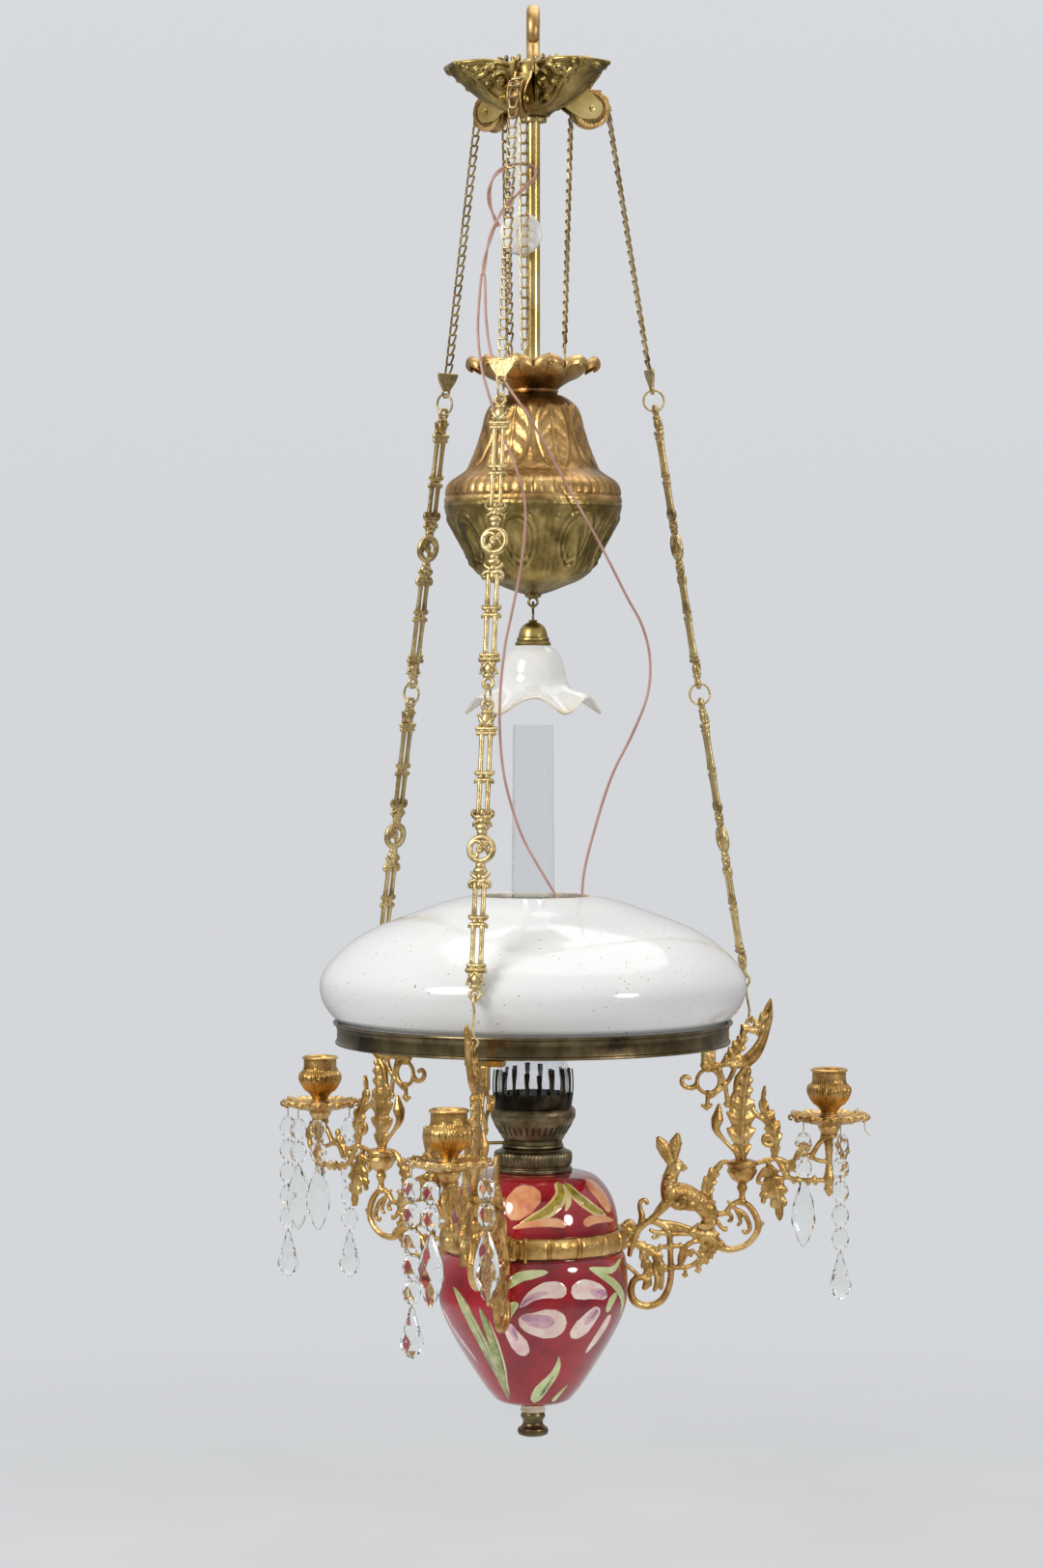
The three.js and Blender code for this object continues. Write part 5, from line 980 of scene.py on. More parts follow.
def make_burner():
    """Collar, neck, bowl with dark bars of painted shade for its slots, flange and the black comb of
    prongs, with the wick and its winder.
    """
    def knurl(r, z, angles):
        fine = np.abs(petal(angles, 60)) * (1 - smooth(np.abs(z + 1014.5), 4.4, 6.4))
        return r - 0.9 * fine, z

    collar = [(23.2, -1032.6), (25.6, -1032.6), (25.6, -1027.2), (33.8, -1027.0), (35, -1026.2),
        (35, -1023.6), (33.6, -1022.6), (33.5, -1021.4), (34.4, -1020), (35.2, -1017), (35.2, -1012),
        (34.4, -1009.6), (32.6, -1008.6), (29.6, -1007.6), (28.2, -1006), (23.2, -1005.8)]
    piece("collar", lathe(curve(collar, 3), 300, knurl, closed=True), BURNER, "lamp",
        "antique_brass", "burner_collar", sharp=50)
    neck = [(12.6, -1017), (22.6, -1017), (22.6, -1005.3), (27, -1005.2), (27.6, -1004), (27.2, -1002.6),
        (26.2, -1001.8), (26.2, -998.6), (27.4, -997.6), (28.4, -995.6), (30.4, -991.6), (33, -987.4),
        (35.4, -983.6), (37, -979.9), (37.8, -978.4), (38.2, -975.4), (37.9, -972), (36.6, -970),
        (34.6, -969), (33.2, -968.7), (26.5, -968.5), (24.6, -972), (20, -980), (15.4, -989),
        (15.4, -964.6), (12.6, -964.6)]
    bowl = lathe(neck, 160, closed=True)
    piece("burner_bowl", bowl, BURNER, "lamp", "antique_brass", "burner_body", sharp=30)
    # Painted shade: dark bars on the bowl stand for the shade seen inside its pierced slots
    slit_shade = []
    for i in range(36):
        angle = TURN * i / 36
        bar = [(29.5, 0, -992.6), (31.6, 0, -989.0), (34.1, 0, -985.2)]
        slit_shade.append(spun(tube(curve(bar, 3), 0.75, 8, up=(0, 1, 0)), angle))
    piece("burner_slit_shade", merge(*slit_shade), SOOT_AND_SLIT_SHADE, "lamp", "antique_brass")
    rng = random.Random(11)
    comb = []
    for i in range(18):
        angle = TURN * i / 18 + rng.uniform(-0.03, 0.03)
        high = 34 + rng.uniform(-3.5, 2.5)
        lean = rng.uniform(-0.7, 1.4)
        sections = []
        for t in np.linspace(0, 1, 12):
            half = 3.6 * (1 - 0.35 * t) * (0.72 + 0.28 * math.cos(6.3 * t))
            r = 33.6 + 1.6 * math.sin(math.pi * t) + lean * t * t
            z = -969.4 + high * t
            sections.append([(r - 0.5, -half, z), (r + 0.5, -half, z), (r + 0.75, 0, z), (r + 0.5, half, z),
                (r - 0.5, half, z), (r - 0.25, 0, z)])
        comb.append(spun(loft(sections), angle))
    base = lathe([(32.8, -970), (34.6, -970), (34.9, -963), (34.6, -957), (32.8, -957)], 72, closed=True)
    piece("burner_comb", merge(base, *comb), SOOT_AND_SLIT_SHADE, "lamp", "antique_brass", sharp=50)

    def grip(r, z, angles):
        return r - 0.45 * (r > 7.5) * petal(angles, 32) ** 2, z

    def weave(r, z, angles):
        return r + 0.12 * np.sin(angles * 40) * (1 if r > 11 else 0), z

    side = [(11.9, z) for z in np.linspace(-1008.3, -963.2, 24)]
    wick = [(10.1, -1008.3), *side, (11.5, -962.5), (10.4, -962.5)]
    piece("wick_sleeve", lathe(wick, 120, weave, closed=True), COTTON, "wick_body", "cotton", "wick")
    shaft = lathe([(0, 14.6), (1.5, 14.6), (1.5, 45.4), (0, 45.4)], 20)
    knob_profile = [(0, 45), (5.6, 45), (7.2, 45.4), (8, 46.4), (8, 50.6), (7.2, 51.7),
        (5.4, 52), (4.6, 51.4), (0, 51.2)]
    knob = lathe(knob_profile, 96, grip)
    place = Matrix.Rotation(math.radians(195.5), 4, "Z") @ shift(z=-1000.9)
    place = place @ Matrix.Rotation(math.pi / 2, 4, "Y")
    piece("winder_shaft", shaft, POLISHED, "winder", "antique_brass", "wick_winder", matrix=place)
    piece("winder_knob", knob, ANTIQUE, "winder", "antique_brass", matrix=place, sharp=30)


def make_holder():
    """The white lamp holder of the later flex, on its brass strip across the ring's ledge."""
    at = (48.0, -26.0)
    body = [(10.2, -904.4), (12.6, -904.6), (13.8, -903.6), (14, -901), (14, -889), (13.2, -886.6),
        (13.2, -884.6), (14, -883), (14, -871), (12.8, -866), (9.6, -862.4), (6, -861),
        (4.5, -861), (4.5, -872), (10.2, -872)]
    piece("holder", moved(lathe(body, 64, closed=True), at[0], at[1]), WHITE, "lamp",
        "white_plastic", "lamp_holder", sharp=30)
    away, turn = math.hypot(*at), math.atan2(at[1], at[0])
    strip = plain_box(away + 12, 161.5, -6, 6, -904.7, -903.1, 0.3)
    piece("holder_strip", spun(strip, turn), POLISHED, "lamp", "gold_brass")


for make in (make_hook, make_rod, make_cup, make_shells, make_bell, make_glass, make_ring, make_girdle,
        make_font, make_flowers, make_burner, make_holder):
    make()


# What hangs on the three azimuths. A line frame starts at the pulley's outer tangent and runs down to
# the arm's eye: X outwards from the line, Y across it, -Z along it.
OUTER_TANGENT, INNER_TANGENT, PULLEY_LEVEL, PULLEY_OUT, CHAIN_RADIUS = 69.7, 35.3, -79.0, 52.5, 17.2
EYE_OUT, EYE_LEVEL = 205.9, -899.27
SLOPE = math.atan2(EYE_OUT - OUTER_TANGENT, PULLEY_LEVEL - EYE_LEVEL)
WHOLE = math.hypot(EYE_OUT - OUTER_TANGENT, PULLEY_LEVEL - EYE_LEVEL)
LINK_LONG = 267
HOOK_AT = WHOLE - 46
LOWER_AT = HOOK_AT - LINK_LONG
PLATE_AT = LOWER_AT - LINK_LONG
RING_MIDDLE, LINK_MIDDLE = 10.38, 143  # below the joint above them
PLATE_HIGH = 17.0  # the chain ends this far above the plate's joint


def sector(side):
    return Matrix.Rotation(AZIMUTH[side], 4, "Z")


def on_line(side, down):
    """The place on a side's suspension line, that many millimetres below the pulley's tangent."""
    top = sector(side) @ shift(OUTER_TANGENT, 0, PULLEY_LEVEL)
    return top @ Matrix.Rotation(-SLOPE, 4, "Y") @ shift(z=-down)


def chain_link(wire=1.0):
    """One wire link, 9 mm to the next: a wide top bar at the back, a narrow bottom bar in front."""
    loop = [(-1.0, -3.3, 4.7), (-1.0, 0, 4.9), (-1.0, 3.3, 4.7), (-0.5, 3.8, 3.2), (0.1, 3.3, 0),
        (0.8, 2.6, -3.2), (1.0, 1.9, -4.5), (1.0, 0, -4.7), (1.0, -1.9, -4.5), (0.8, -2.6, -3.2),
        (0.1, -3.3, 0), (-0.5, -3.8, 3.2)]
    wrapped = curve([loop[-1], *loop, loop[0]], 3)[3:-3]
    return tube(wrapped[:-1], wire, 8, closed=True)


def chain_along(path):
    """Links laid along a path in the XZ plane, each turned to its course."""
    path = np.asarray(path, float)
    steps = np.linalg.norm(np.diff(path, axis=0), axis=1)
    along = np.concatenate([[0], np.cumsum(steps)])
    count = round(along[-1] / 9.0)
    pitch = along[-1] / count
    link = chain_link()
    links = []
    for i in range(count):
        middle = (i + 0.5) * pitch
        places = np.array([middle - 2, middle, middle + 2])
        x, z = (np.interp(places, along, path[:, k]) for k in (0, 2))
        turn = math.atan2(x[0] - x[2], z[0] - z[2])
        links.append(moved(spun(link, turn, "Y"), x[1], 0, z[1]))
    return merge(*links)


def make_chains():
    """Each chain in two: over its pulley to the counterweight, and down to the plate on the lamp's side."""
    weight_end = (29.3, 0, -286.6)
    arc = []
    for a in np.linspace(0, math.pi, 30):
        arc.append((PULLEY_OUT + CHAIN_RADIUS * math.cos(a), 0, PULLEY_LEVEL + CHAIN_RADIUS * math.sin(a)))
    weight_side = chain_along([*arc, weight_end])
    fall = PLATE_AT - PLATE_HIGH
    lamp_side = chain_along([(OUTER_TANGENT, 0, PULLEY_LEVEL - 0.8),
        (OUTER_TANGENT + fall * math.sin(SLOPE), 0, PULLEY_LEVEL - fall * math.cos(SLOPE))])
    lamp_end = PULLEY_LEVEL * MM - fall * math.cos(SLOPE) * MM
    for side in SIDES:
        for name, shape, body, out, low, solid in (
            ("weight_chain_", weight_side, "counterweight", INNER_TANGENT, -0.286, "chain_weight_side_"),
            ("lamp_chain_", lamp_side, "lamp", OUTER_TANGENT, lamp_end, "chain_lamp_side_"),
        ):
            chain = stand(name + side, mesh_of(name + side, spun(shape, AZIMUTH[side])), CHAIN)
            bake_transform(chain)
            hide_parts(solid + side)


def flat_plate(outline, thick, bevel=0.35):
    """A plate from an outline of (y, z) pairs, its faces towards X and its edges chamfered."""
    flat = np.asarray(outline, float)
    middle = flat.mean(axis=0)
    size = np.abs(flat - middle).max(axis=0)
    small = (flat - middle) * (1 - bevel / size) + middle
    half = thick / 2
    layers = ((-half, small), (bevel - half, flat), (half - bevel, flat), (half, small))
    return loft([np.column_stack([np.full(len(line), x), line]) for x, line in layers])


def plate_shape():
    """The chain's end plate: a flat shield with curved flanks and a lug for the ring."""
    right = [(11.9, 18.0), (12.0, 15.8), (11.0, 12.6), (9.2, 9.2), (6.9, 6.0), (5.0, 3.4), (4.3, 1.6)]
    outline = [*curve(right, 3), *curve([(-y, z) for y, z in reversed(right)], 3)]
    lug = spun(ring(3.95, 1.15, 30, 10), math.pi / 2, "Y")
    return merge(flat_plate(outline, 2.3), lug, plain_box(-0.9, 0.9, -3.2, 3.2, 2.6, 4.6, 0.2))


def mirrored(*shapes, axis=2):
    """Shapes and their mirror images, the images' faces turned back outwards."""
    both = []
    for verts, polys in shapes:
        back = np.asarray(verts, float).copy()
        back[:, axis] *= -1
        both.extend([(verts, polys), (back, [tuple(reversed(poly)) for poly in polys])])
    return both


def link_bar(points, radius, sides=10):
    """A bar of the cast link, a good deal stouter than its drawn radii."""
    return tube(points, 1.4 * np.asarray(radius, float), sides)


def link_curl(points, first, last, fine=4):
    """A curved bar of the link that tapers from its first radius to its last."""
    path = curve(points, fine)
    return link_bar(path, np.linspace(first, last, len(path)))


def link_band(z, reach, radius, steps=5):
    """Half of a straight band across the link."""
    return link_bar([(0, y, z) for y in np.linspace(0, reach, steps)], radius)


def link_knob(x, y, z, radius, squeeze=(1, 1, 1)):
    return ball(x, y, z, 1.25 * radius, squeeze)


def link_shape():
    """A quarter of a cast link is drawn, X towards the viewer, and mirrored sideways and below."""
    eye = moved(spun(ring(4.35, 1.7, 30, 12), math.pi / 2, "Y"), z=124)
    middle = [eye, link_knob(0, 0, 117.6, 3.4, (0.8, 1.3, 0.7)),
        link_knob(0, 0, 111.8, 4.2, (0.62, 0.95, 1.3)), link_knob(1.7, 0, 112.5, 1.6, (0.8, 0.7, 2.6)),
        link_knob(1.2, 0, 30.6, 1.9, (0.8, 1, 1.8)), link_knob(0, 0, 24.0, 3.2, (0.8, 1, 1)),
        link_knob(0, 0, 18.6, 4.0, (0.75, 1.25, 0.8)), link_knob(0, 0, 14.4, 3.3, (0.8, 1.1, 1.0))]
    # Head under the eye: a drooping curl and two bands with a knob between them
    head = [link_bar(curve([(0.8, 0, 105.5), (1.4, 3.0, 108.5), (1.2, 5.6, 112.0), (0.6, 6.9, 114.6)], 4),
        [1.3, 1.5, 1.6, 1.6, 1.6, 1.6, 1.5, 1.4, 1.3, 1.1, 1.0, 0.8, 0.7], 8),
        link_knob(0.7, 7.1, 115.0, 1.35), link_knob(1.5, 4.6, 107.4, 1.7), link_band(103.4, 6.8, 1.75),
        link_band(99.6, 6.2, 1.5), link_knob(0, 7.4, 103.5, 2.0), link_knob(0, 6.9, 99.4, 1.7),
        moved(scaled(link_knob(0, 0, 0, 1.6), 1.2, 1.6, 0.8), 0.3, 3.4, 101.6)]
    # Upper and lower bar, thinner at mid length
    rods = [link_bar([(0, 3.8, z) for z in np.linspace(98, 66, 9)],
        [1.75, 1.6, 1.5, 1.45, 1.45, 1.45, 1.5, 1.6, 1.75]),
        link_bar([(0, 3.8, z) for z in np.linspace(58, 30, 8)],
        [1.75, 1.6, 1.5, 1.45, 1.45, 1.5, 1.6, 1.8])]
    # Knuckle: two bands with a waist between them and barbs at their ends
    knuckle = [link_knob(0.6, 2.6, 61.9, 2.0, (1, 1, 1.1))]
    for z, way in ((64.8, 1), (59.0, -1)):
        barb = curve([(0, 5.8, z), (0, 7.4, z + 0.8 * way), (0, 8.0, z + 2.4 * way)], 3)
        knuckle += [link_band(z, 6.0, 1.7), link_bar(barb, [1.6, 1.5, 1.4, 1.3, 1.1, 0.9, 0.7], 8)]
    # Crown beside the rosette: a band and two outward curls
    crown = [link_band(27.6, 4.6, 1.8, 4), link_knob(0, 6.7, 31.7, 1.3),
        link_curl([(0, 3.0, 27.0), (0, 6.4, 27.6), (0, 8.6, 30.0), (0, 8.2, 32.6), (0, 6.6, 32.8)], 1.9,
        0.9), link_curl([(0, 2.0, 25.0), (0, 5.0, 23.4), (0, 7.4, 21.6), (0, 7.6, 19.6)], 1.7, 0.8)]
    halves = mirrored(*middle, *mirrored(*head, *rods, *knuckle, *crown, axis=1))
    # Rosette: an open ring with a pretzel knot across it
    rose = spun(ring(10.2, 2.7, 48, 12), math.pi / 2, "Y")
    knot = [link_curl([(0.8, -9.2, 3.4), (1.2, -5.2, 6.6), (1.4, -0.6, 5.4), (1.3, 1.6, 1.4),
        (1.2, -0.4, -2.0), (1.0, -2.6, 0.2), (1.3, -0.8, 3.0), (1.4, 3.4, 1.6), (1.1, 6.6, -3.4),
        (0.8, 8.2, -5.8)], 1.5, 1.2, 5), link_curl([(0.4, 9.2, 4.2), (0.9, 5.0, 6.4), (1.2, 3.0, 4.4),
        (0.8, 4.6, 2.2)], 1.4, 0.9, 5), link_curl([(0.4, -8.8, -4.4), (0.9, -5.0, -7.0), (1.2, -2.6, -5.2),
        (0.8, -4.2, -2.8)], 1.4, 0.9, 5), link_knob(1.4, 0.2, 0.6, 1.9), link_knob(0.9, 5.0, 3.9, 1.5),
        link_knob(0.9, -4.6, -4.5, 1.5)]
    return merge(rose, *knot, *halves)


def s_hook():
    """The S-hook: its upper curl lies in the suspension's plane, its lower one across it."""
    r, top, low = 4.4, -0.78, -45.13
    line = [(-r, 0, top - r - 1), (-r * 0.8, 0, top - r * 0.4), (-r * 0.3, 0, top), (r * 0.3, 0, top),
        (r * 0.8, 0, top - r * 0.4), (r, 0, top - r - 3), (0, 0, top - r - 10), (0, 0, low + 2 * r + 3),
        (0, r, low + r + 1), (0, r * 0.8, low + r * 0.4), (0, r * 0.3, low), (0, -r * 0.3, low),
        (0, -r * 0.8, low + r * 0.4), (0, -r, low + r + 1)]
    return tube(curve(line, 6), 1.1, 12)


def make_suspensions():
    """Plate, ring, two links and the S-hook on each side, from shared meshes."""
    plate_mesh = mesh_of("hook_plate", plate_shape())
    link_mesh = mesh_of("cast_link", link_shape(), 60)
    ring_mesh = mesh_of("link_ring", spun(ring(9.5, 1.0, 40, 12), math.pi / 2, "X"))
    hook_mesh = mesh_of("s_hook", s_hook())
    for side in SIDES:
        for name, mesh, down, node in (
            ("end_plate_", plate_mesh, PLATE_AT, "chain_plate_"),
            ("high_link_", link_mesh, PLATE_AT + LINK_MIDDLE, "upper_link_"),
            ("low_link_", link_mesh, LOWER_AT + LINK_MIDDLE, "lower_link_"),
            ("s_hook_", hook_mesh, HOOK_AT, "suspension_hook_"),
            ("high_ring_", ring_mesh, PLATE_AT + RING_MIDDLE, None),
            ("low_ring_", ring_mesh, LOWER_AT + RING_MIDDLE, None),
        ):
            nodes = [node + side] if node else []
            piece(name + side, mesh, PALE, "lamp", "pale_brass", *nodes, matrix=on_line(side, down))


def make_pulleys():
    """Grooved wheels on riveted axles between two cheek plates that are screwed to the crown's hub."""
    wheel = [(2.6, -6.9), (5.2, -6.9), (5.6, -6.1), (12.6, -6.0), (13.2, -6.6), (16.6, -6.6), (17.2, -6.0),
        (17.2, -5.2), (16.4, -4.7), (15.4, -3.6), (14.9, -1.8), (14.8, 0)]
    wheel += [(r, -z) for r, z in reversed(wheel[:-1])]
    wheel_shape = spun(lathe(wheel, 96, closed=True), math.pi / 2, "X")
    inner = 23.3 - PULLEY_OUT
    flank = [(inner, 27.2), (inner + 11, 27.4), (inner + 16, 21), (2, 12), (9.4, 4.6), (10.0, 0.4),
        (8.4, -5.4), (3.0, -9.2), (-4.4, -9.6), (-11, -8.6), (-18, -4.6), (inner + 4, 0.6), (inner, 3.4)]
    cheek = flat_plate([(x, z) for x, z in flank], 1.8)
    cheek = (np.asarray(cheek[0])[:, [1, 0, 2]], [tuple(reversed(f)) for f in cheek[1]])
    rivet = lathe([(0, -0.2), (2.9, -0.2), (2.9, 0.5), (2.2, 1.3), (0, 1.6)], 24)
    head = spun(rivet, -math.pi / 2, "X")
    tail = spun(rivet, math.pi / 2, "X")
    pin = spun(lathe([(0, -8.9), (2.0, -8.9), (2.0, 8.9), (0, 8.9)], 24), math.pi / 2, "X")
    block = plain_box(inner, inner + 5, -6.3, 6.3, 3.6, 27.2, 0.6)
    frame_shape = merge(moved(cheek, y=7.3), moved(cheek, y=-7.3), pin, block,
        moved(head, y=8.2), moved(tail, y=-8.2))
    for side in SIDES:
        at = sector(side) @ shift(PULLEY_OUT, 0, PULLEY_LEVEL)
        piece("cheeks_" + side, frame_shape, POLISHED, "ceiling_gear", "pale_brass",
            "pulley_frame_" + side, matrix=at, sharp=30)
        piece("wheel_" + side, wheel_shape, COPPERED, "wheel_" + side, "gold_brass",
            "pulley_" + side, matrix=at, sharp=30)


def lobe_section(x):
    """A lobe's half width, upper edge and depth at a distance from the crown's axis."""
    t = min(max((x - 11.5) / 66.5, 0.0), 1.0)
    half = 27 * (0.32 + 0.68 * math.sin(math.pi * min(t, 0.86)))
    return half, -45.5 + 4 * math.sin(2.6 * t), 6 + 35 * (1 - t ** 2)


def on_lobe(points, side, proud=0.5):
    """Points on one flank of a lobe, from (x, z) pairs."""
    out = []
    for x, z in points:
        half, top, deep = lobe_section(x)
        up = (z - top + 0.3 * deep) / (0.3 if z > top - 0.3 * deep else 0.7) / deep
        bow = 5 if up > 0 else 1.8
        wide = half * (1 - min(abs(up), 0.97) ** bow) ** (1 / bow)
        out.append((x, side * (wide + proud), z))
    return out


def crown_lobe():
    """One lobe along +X: a deep lofted shield with volutes, leaves and bosses on its flanks."""
    parts, sections = [], []
    for x in np.linspace(11.5, 78, 14):
        half, top, deep = lobe_section(x)
        loop = []
        for k in range(24):
            c, s = math.cos(TURN * k / 24), math.sin(TURN * k / 24)
            bow = 0.4 if s > 0 else 1.1
            up = math.copysign(abs(s) ** bow, s) * (0.3 if s > 0 else 0.7) * deep
            loop.append((x, half * math.copysign(abs(c) ** bow, c), top - 0.3 * deep + up))
        sections.append(loop)
    parts.append(loft(sections))
    for side in (1, -1):
        edge = [(x, lobe_section(x)[1] - 2.4) for x in (15, 26, 38, 50, 60, 69, 76)]
        parts.append(tube(curve(on_lobe(edge, side), 5), 2.7, 10))
        for cx, cz, big, turns, phase in ((35, -61, 9.6, 2.0, 0.4), (55.5, -52.5, 5.8, 1.8, 2.6)):
            spiral = []
            for k in range(24):
                a, grow = turns * math.pi * k / 23 + phase, big * (1 - 0.70 * k / 23)
                spiral.append((cx + grow * math.cos(a), cz + 0.95 * grow * math.sin(a)))
            parts.append(tube(on_lobe(spiral, side), np.linspace(2.5, 1.5, 24), 8))
            parts.append(ball(*on_lobe([(cx, cz)], side)[0], 0.32 * big))
        sweep = [(17, -79), (28, -78), (40, -72.5), (51, -64), (61, -56), (70, -50)]
        parts.append(tube(curve(on_lobe(sweep, side), 5), np.linspace(3.0, 1.7, 26), 8))
        stalk = [(20, -47), (21.5, -57), (22.5, -67), (21, -77)]
        parts.append(tube(curve(on_lobe(stalk, side), 5), np.linspace(2.6, 1.8, 16), 8))
        for x, z, size in ((26, -50.5, 3.8), (46.5, -49, 3.8), (67, -48.4, 2.8), (25.5, -63, 2.8),
                (31, -73.5, 3.2), (46, -63.5, 3.0), (55, -62.5, 2.6), (64, -55.5, 2.4), (72.5, -49.4, 2.6)):
            parts.append(ball(*on_lobe([(x, z)], side)[0], size, (1.3, 0.8, 1)))
    # A vein along the top, a row of buds and the knob at the tip
    parts.append(tube(curve([(16, 0, -41), (40, 0, -39.4), (62, 0, -41), (76, 0, -45)], 6), 1.8, 8))
    parts += [ball(76.2 - abs(y) * 0.35, y, -46.2, 2.9) for y in (-7.2, -2.6, 2.6, 7.2)]
    parts.append(dot(77.4, -50.0, 3.4, (1, 1.5, 0.9)))
    return merge(*parts)


def make_crown():
    hub = lathe([(0, -41.4), (12.6, -41.4), (13.4, -40), (16, -39.6), (19.4, -39.8), (21.4, -41.6),
        (22.4, -44.6), (22.9, -48), (22.9, -76), (22.6, -78.6), (20.4, -80.4), (19.6, -82), (17.4, -84),
        (15.6, -85.6), (14.6, -87.4), (0, -87.4)], 72)
    parts = [hub]
    for i in range(3):
        parts.append(spun(crown_lobe(), math.radians(75.5 + 120 * i)))
        # Upright straps on both flanks of each pulley's bay
        for s in (1, -1):
            strap = [(24.5, 10.4 * s, -42), (30, 11.0 * s, -43.5), (31.5, 11.2 * s, -52),
                (29.5, 11.0 * s, -66), (25.5, 10.2 * s, -78)]
            parts.append(spun(tube(curve(strap, 5), 2.5, 10), AZIMUTH[SIDES[i]]))
    # Cresting round the top: small leaves, every other one a bud
    for i in range(30):
        angle = TURN * i / 30
        near = min(abs((angle - a + math.pi) % TURN - math.pi) for a in AZIMUTH.values())
        if near < 0.2:
            continue
        out = 24 + 7 * (1 - math.cos(3 * (angle - AZIMUTH["right"]))) / 2
        if i % 2:
            parts.append(spun(ball(out, 0, -38.6, 2.3), angle))
        else:
            parts.append(spun(ball(out, 0, -38.2, 2.5, (0.8, 0.9, 1.5)), angle))
    mesh = cast_mesh("crown_casting", merge(*parts), CAST_VOXEL, 3)
    piece("crown_casting", mesh, ANTIQUE, "ceiling_gear", "antique_brass", "crown")


for make in (make_chains, make_suspensions, make_pulleys, make_crown):
    make()


# The candle arms are drawn as (x, z) pairs: x outwards from the girdle's seat, z up from its middle
GIRDLE_OUT, GIRDLE_LEVEL = 82.8, -1087.47


def scroll(points, *radii, y=0.0, fine=5, sides=9, stout=1.36):
    """A round scroll through (x, z) points, its radii spread evenly along it and multiplied by stout."""
    path = curve([(x, y, z) for x, z in points], fine)
    share = np.linspace(0, 1, len(path))
    thick = stout * np.interp(share, np.linspace(0, 1, len(radii)), radii)
    return tube(path, thick, sides, up=(0, 1, 0))


def leaf(points, widths, lobes, thick=2.6, rib=0.8, y=0.0):
    """An acanthus leaf along (x, z) points: notched edges, a raised rib and folds between its lobes."""
    spine = curve(points, 14)
    way = np.gradient(spine, axis=0)
    way /= np.linalg.norm(way, axis=1)[:, None]
    share = np.linspace(0, 1, len(spine))
    half = 1.12 * np.interp(share, np.linspace(0, 1, len(widths)), widths) / 2
    if lobes:
        half = half * (0.64 + 0.42 * ((share * lobes) % 1.0))
    across = np.array([-1, -0.72, -0.42, -0.16, 0, 0.16, 0.42, 0.72, 1])
    sections = []
    for centre, (dx, dz), wide, place in zip(spine, way, half, share):
        fold = 0.24 * thick * np.abs(across) * np.sin(TURN * (lobes * place - 0.4 * np.abs(across)))
        front = thick * (0.28 + 0.34 * (1 - across ** 2)) + rib * hump(across, 0.15) + fold
        x, z = centre[0] - dz * across * wide, centre[1] + dx * across * wide
        sections.append(np.vstack([np.column_stack([x, y - front, z]),
            np.column_stack([x, y + front, z])[::-1]]))
    return loft(sections)


def flat_ring(x, z, radius, wire):
    """A round ring in the arm's plane."""
    return moved(spun(ring(radius, wire, 40, 10), math.pi / 2, "X"), x, 0, z)


def bud(x, z, radius, way=0.0):
    """Three small round petals about a bead."""
    turns = (way - 1.3, way, way + 1.3)
    petals = [ball(x + radius * 1.15 * math.cos(a), 0, z + radius * 1.15 * math.sin(a),
        radius * 0.75) for a in turns]
    return merge(ball(x, 0, z, radius), *petals)


def arm_root():
    """Seat against the girdle, arch, upright bar and the big lower volute with its fronds."""
    arch = [(7.5, -19), (9, -12), (11.6, -3.8), (17.2, 5.3), (25.5, 11), (35.3, 10), (42.2, 4.4),
        (45.3, -3.7), (46, -14.4), (46.4, -26), (46.7, -37), (44.3, -50.3), (36.7, -61.9), (24.1, -65.4),
        (13, -61.6), (8.9, -52.8), (10.9, -42.9), (17.9, -39.2), (23.4, -42.1),
        (24.1, -47.6), (20.7, -49.3)]
    return merge(
        plain_box(-2, 4, -6.5, 6.5, -9, 9, 1.0),
        scroll(arch, 1.7, 2.6, 2.4, 2.1, 2.1, 2.2, 2.5, 2.7, 2.4, 2.0, 1.7),
        scroll([(2, 8), (7, 11.5), (11, 9), (10.5, 4.5), (7, 4)], 2.2, 1.8, 1.5),
        scroll([(2, -8), (7, -9), (9.5, -5), (7, -2)], 2.2, 1.8, 1.5),
        leaf([(3, 6), (8, 3), (12, -5), (9, -14)], (9, 12, 9, 3), 3),
        scroll([(2, -26), (8, -30.5), (15, -37)], 1.6, 1.5),
        leaf([(11.6, -8), (22.7, -12.8), (33, -20.5), (38, -32.7), (37, -52)], (6, 10.5, 10, 8, 3), 5),
        leaf([(19, -12.5), (22.7, -25.5), (25, -36), (27, -48)], (6, 11, 9, 3), 4),
        scroll([(33, -22), (31, -32), (33.5, -42), (31, -52)], 1.5, 1.6, 1.9, 1.4),
        dot(22.6, -46, 2.8),
        scroll([(17.2, 6.6), (19.3, 15.9), (17.2, 23.9), (17.9, 29.2), (22.1, 30.7), (24.6, 28.3)],
               2.0, 2.3, 1.7, 1.6, 1.5, 1.3),
        dot(24, 27.6, 2.0),
        scroll([(42, -0.5), (35, 0.6), (30, 1.6), (27, 3.4)], 1.8, 1.6, 1.3),
        scroll([(36, 0), (33.5, -3.4), (30, -4.2)], 1.4, 1.2), dot(29.6, -3.6, 1.7),
        scroll([(36, -12.7), (46, -12.4), (56, -12.1)], 1.2, 2.2, 1.2), bud(37, -12.9, 2.0, math.pi),
        bud(55, -12.2, 1.9), dot(46, -12.4, 3.6, (1, 0.9, 1)), dot(46, -30.8, 3.4, (1, 0.9, 1)),
        dot(46, -5, 3.0, (0.9, 0.9, 1)),
    )


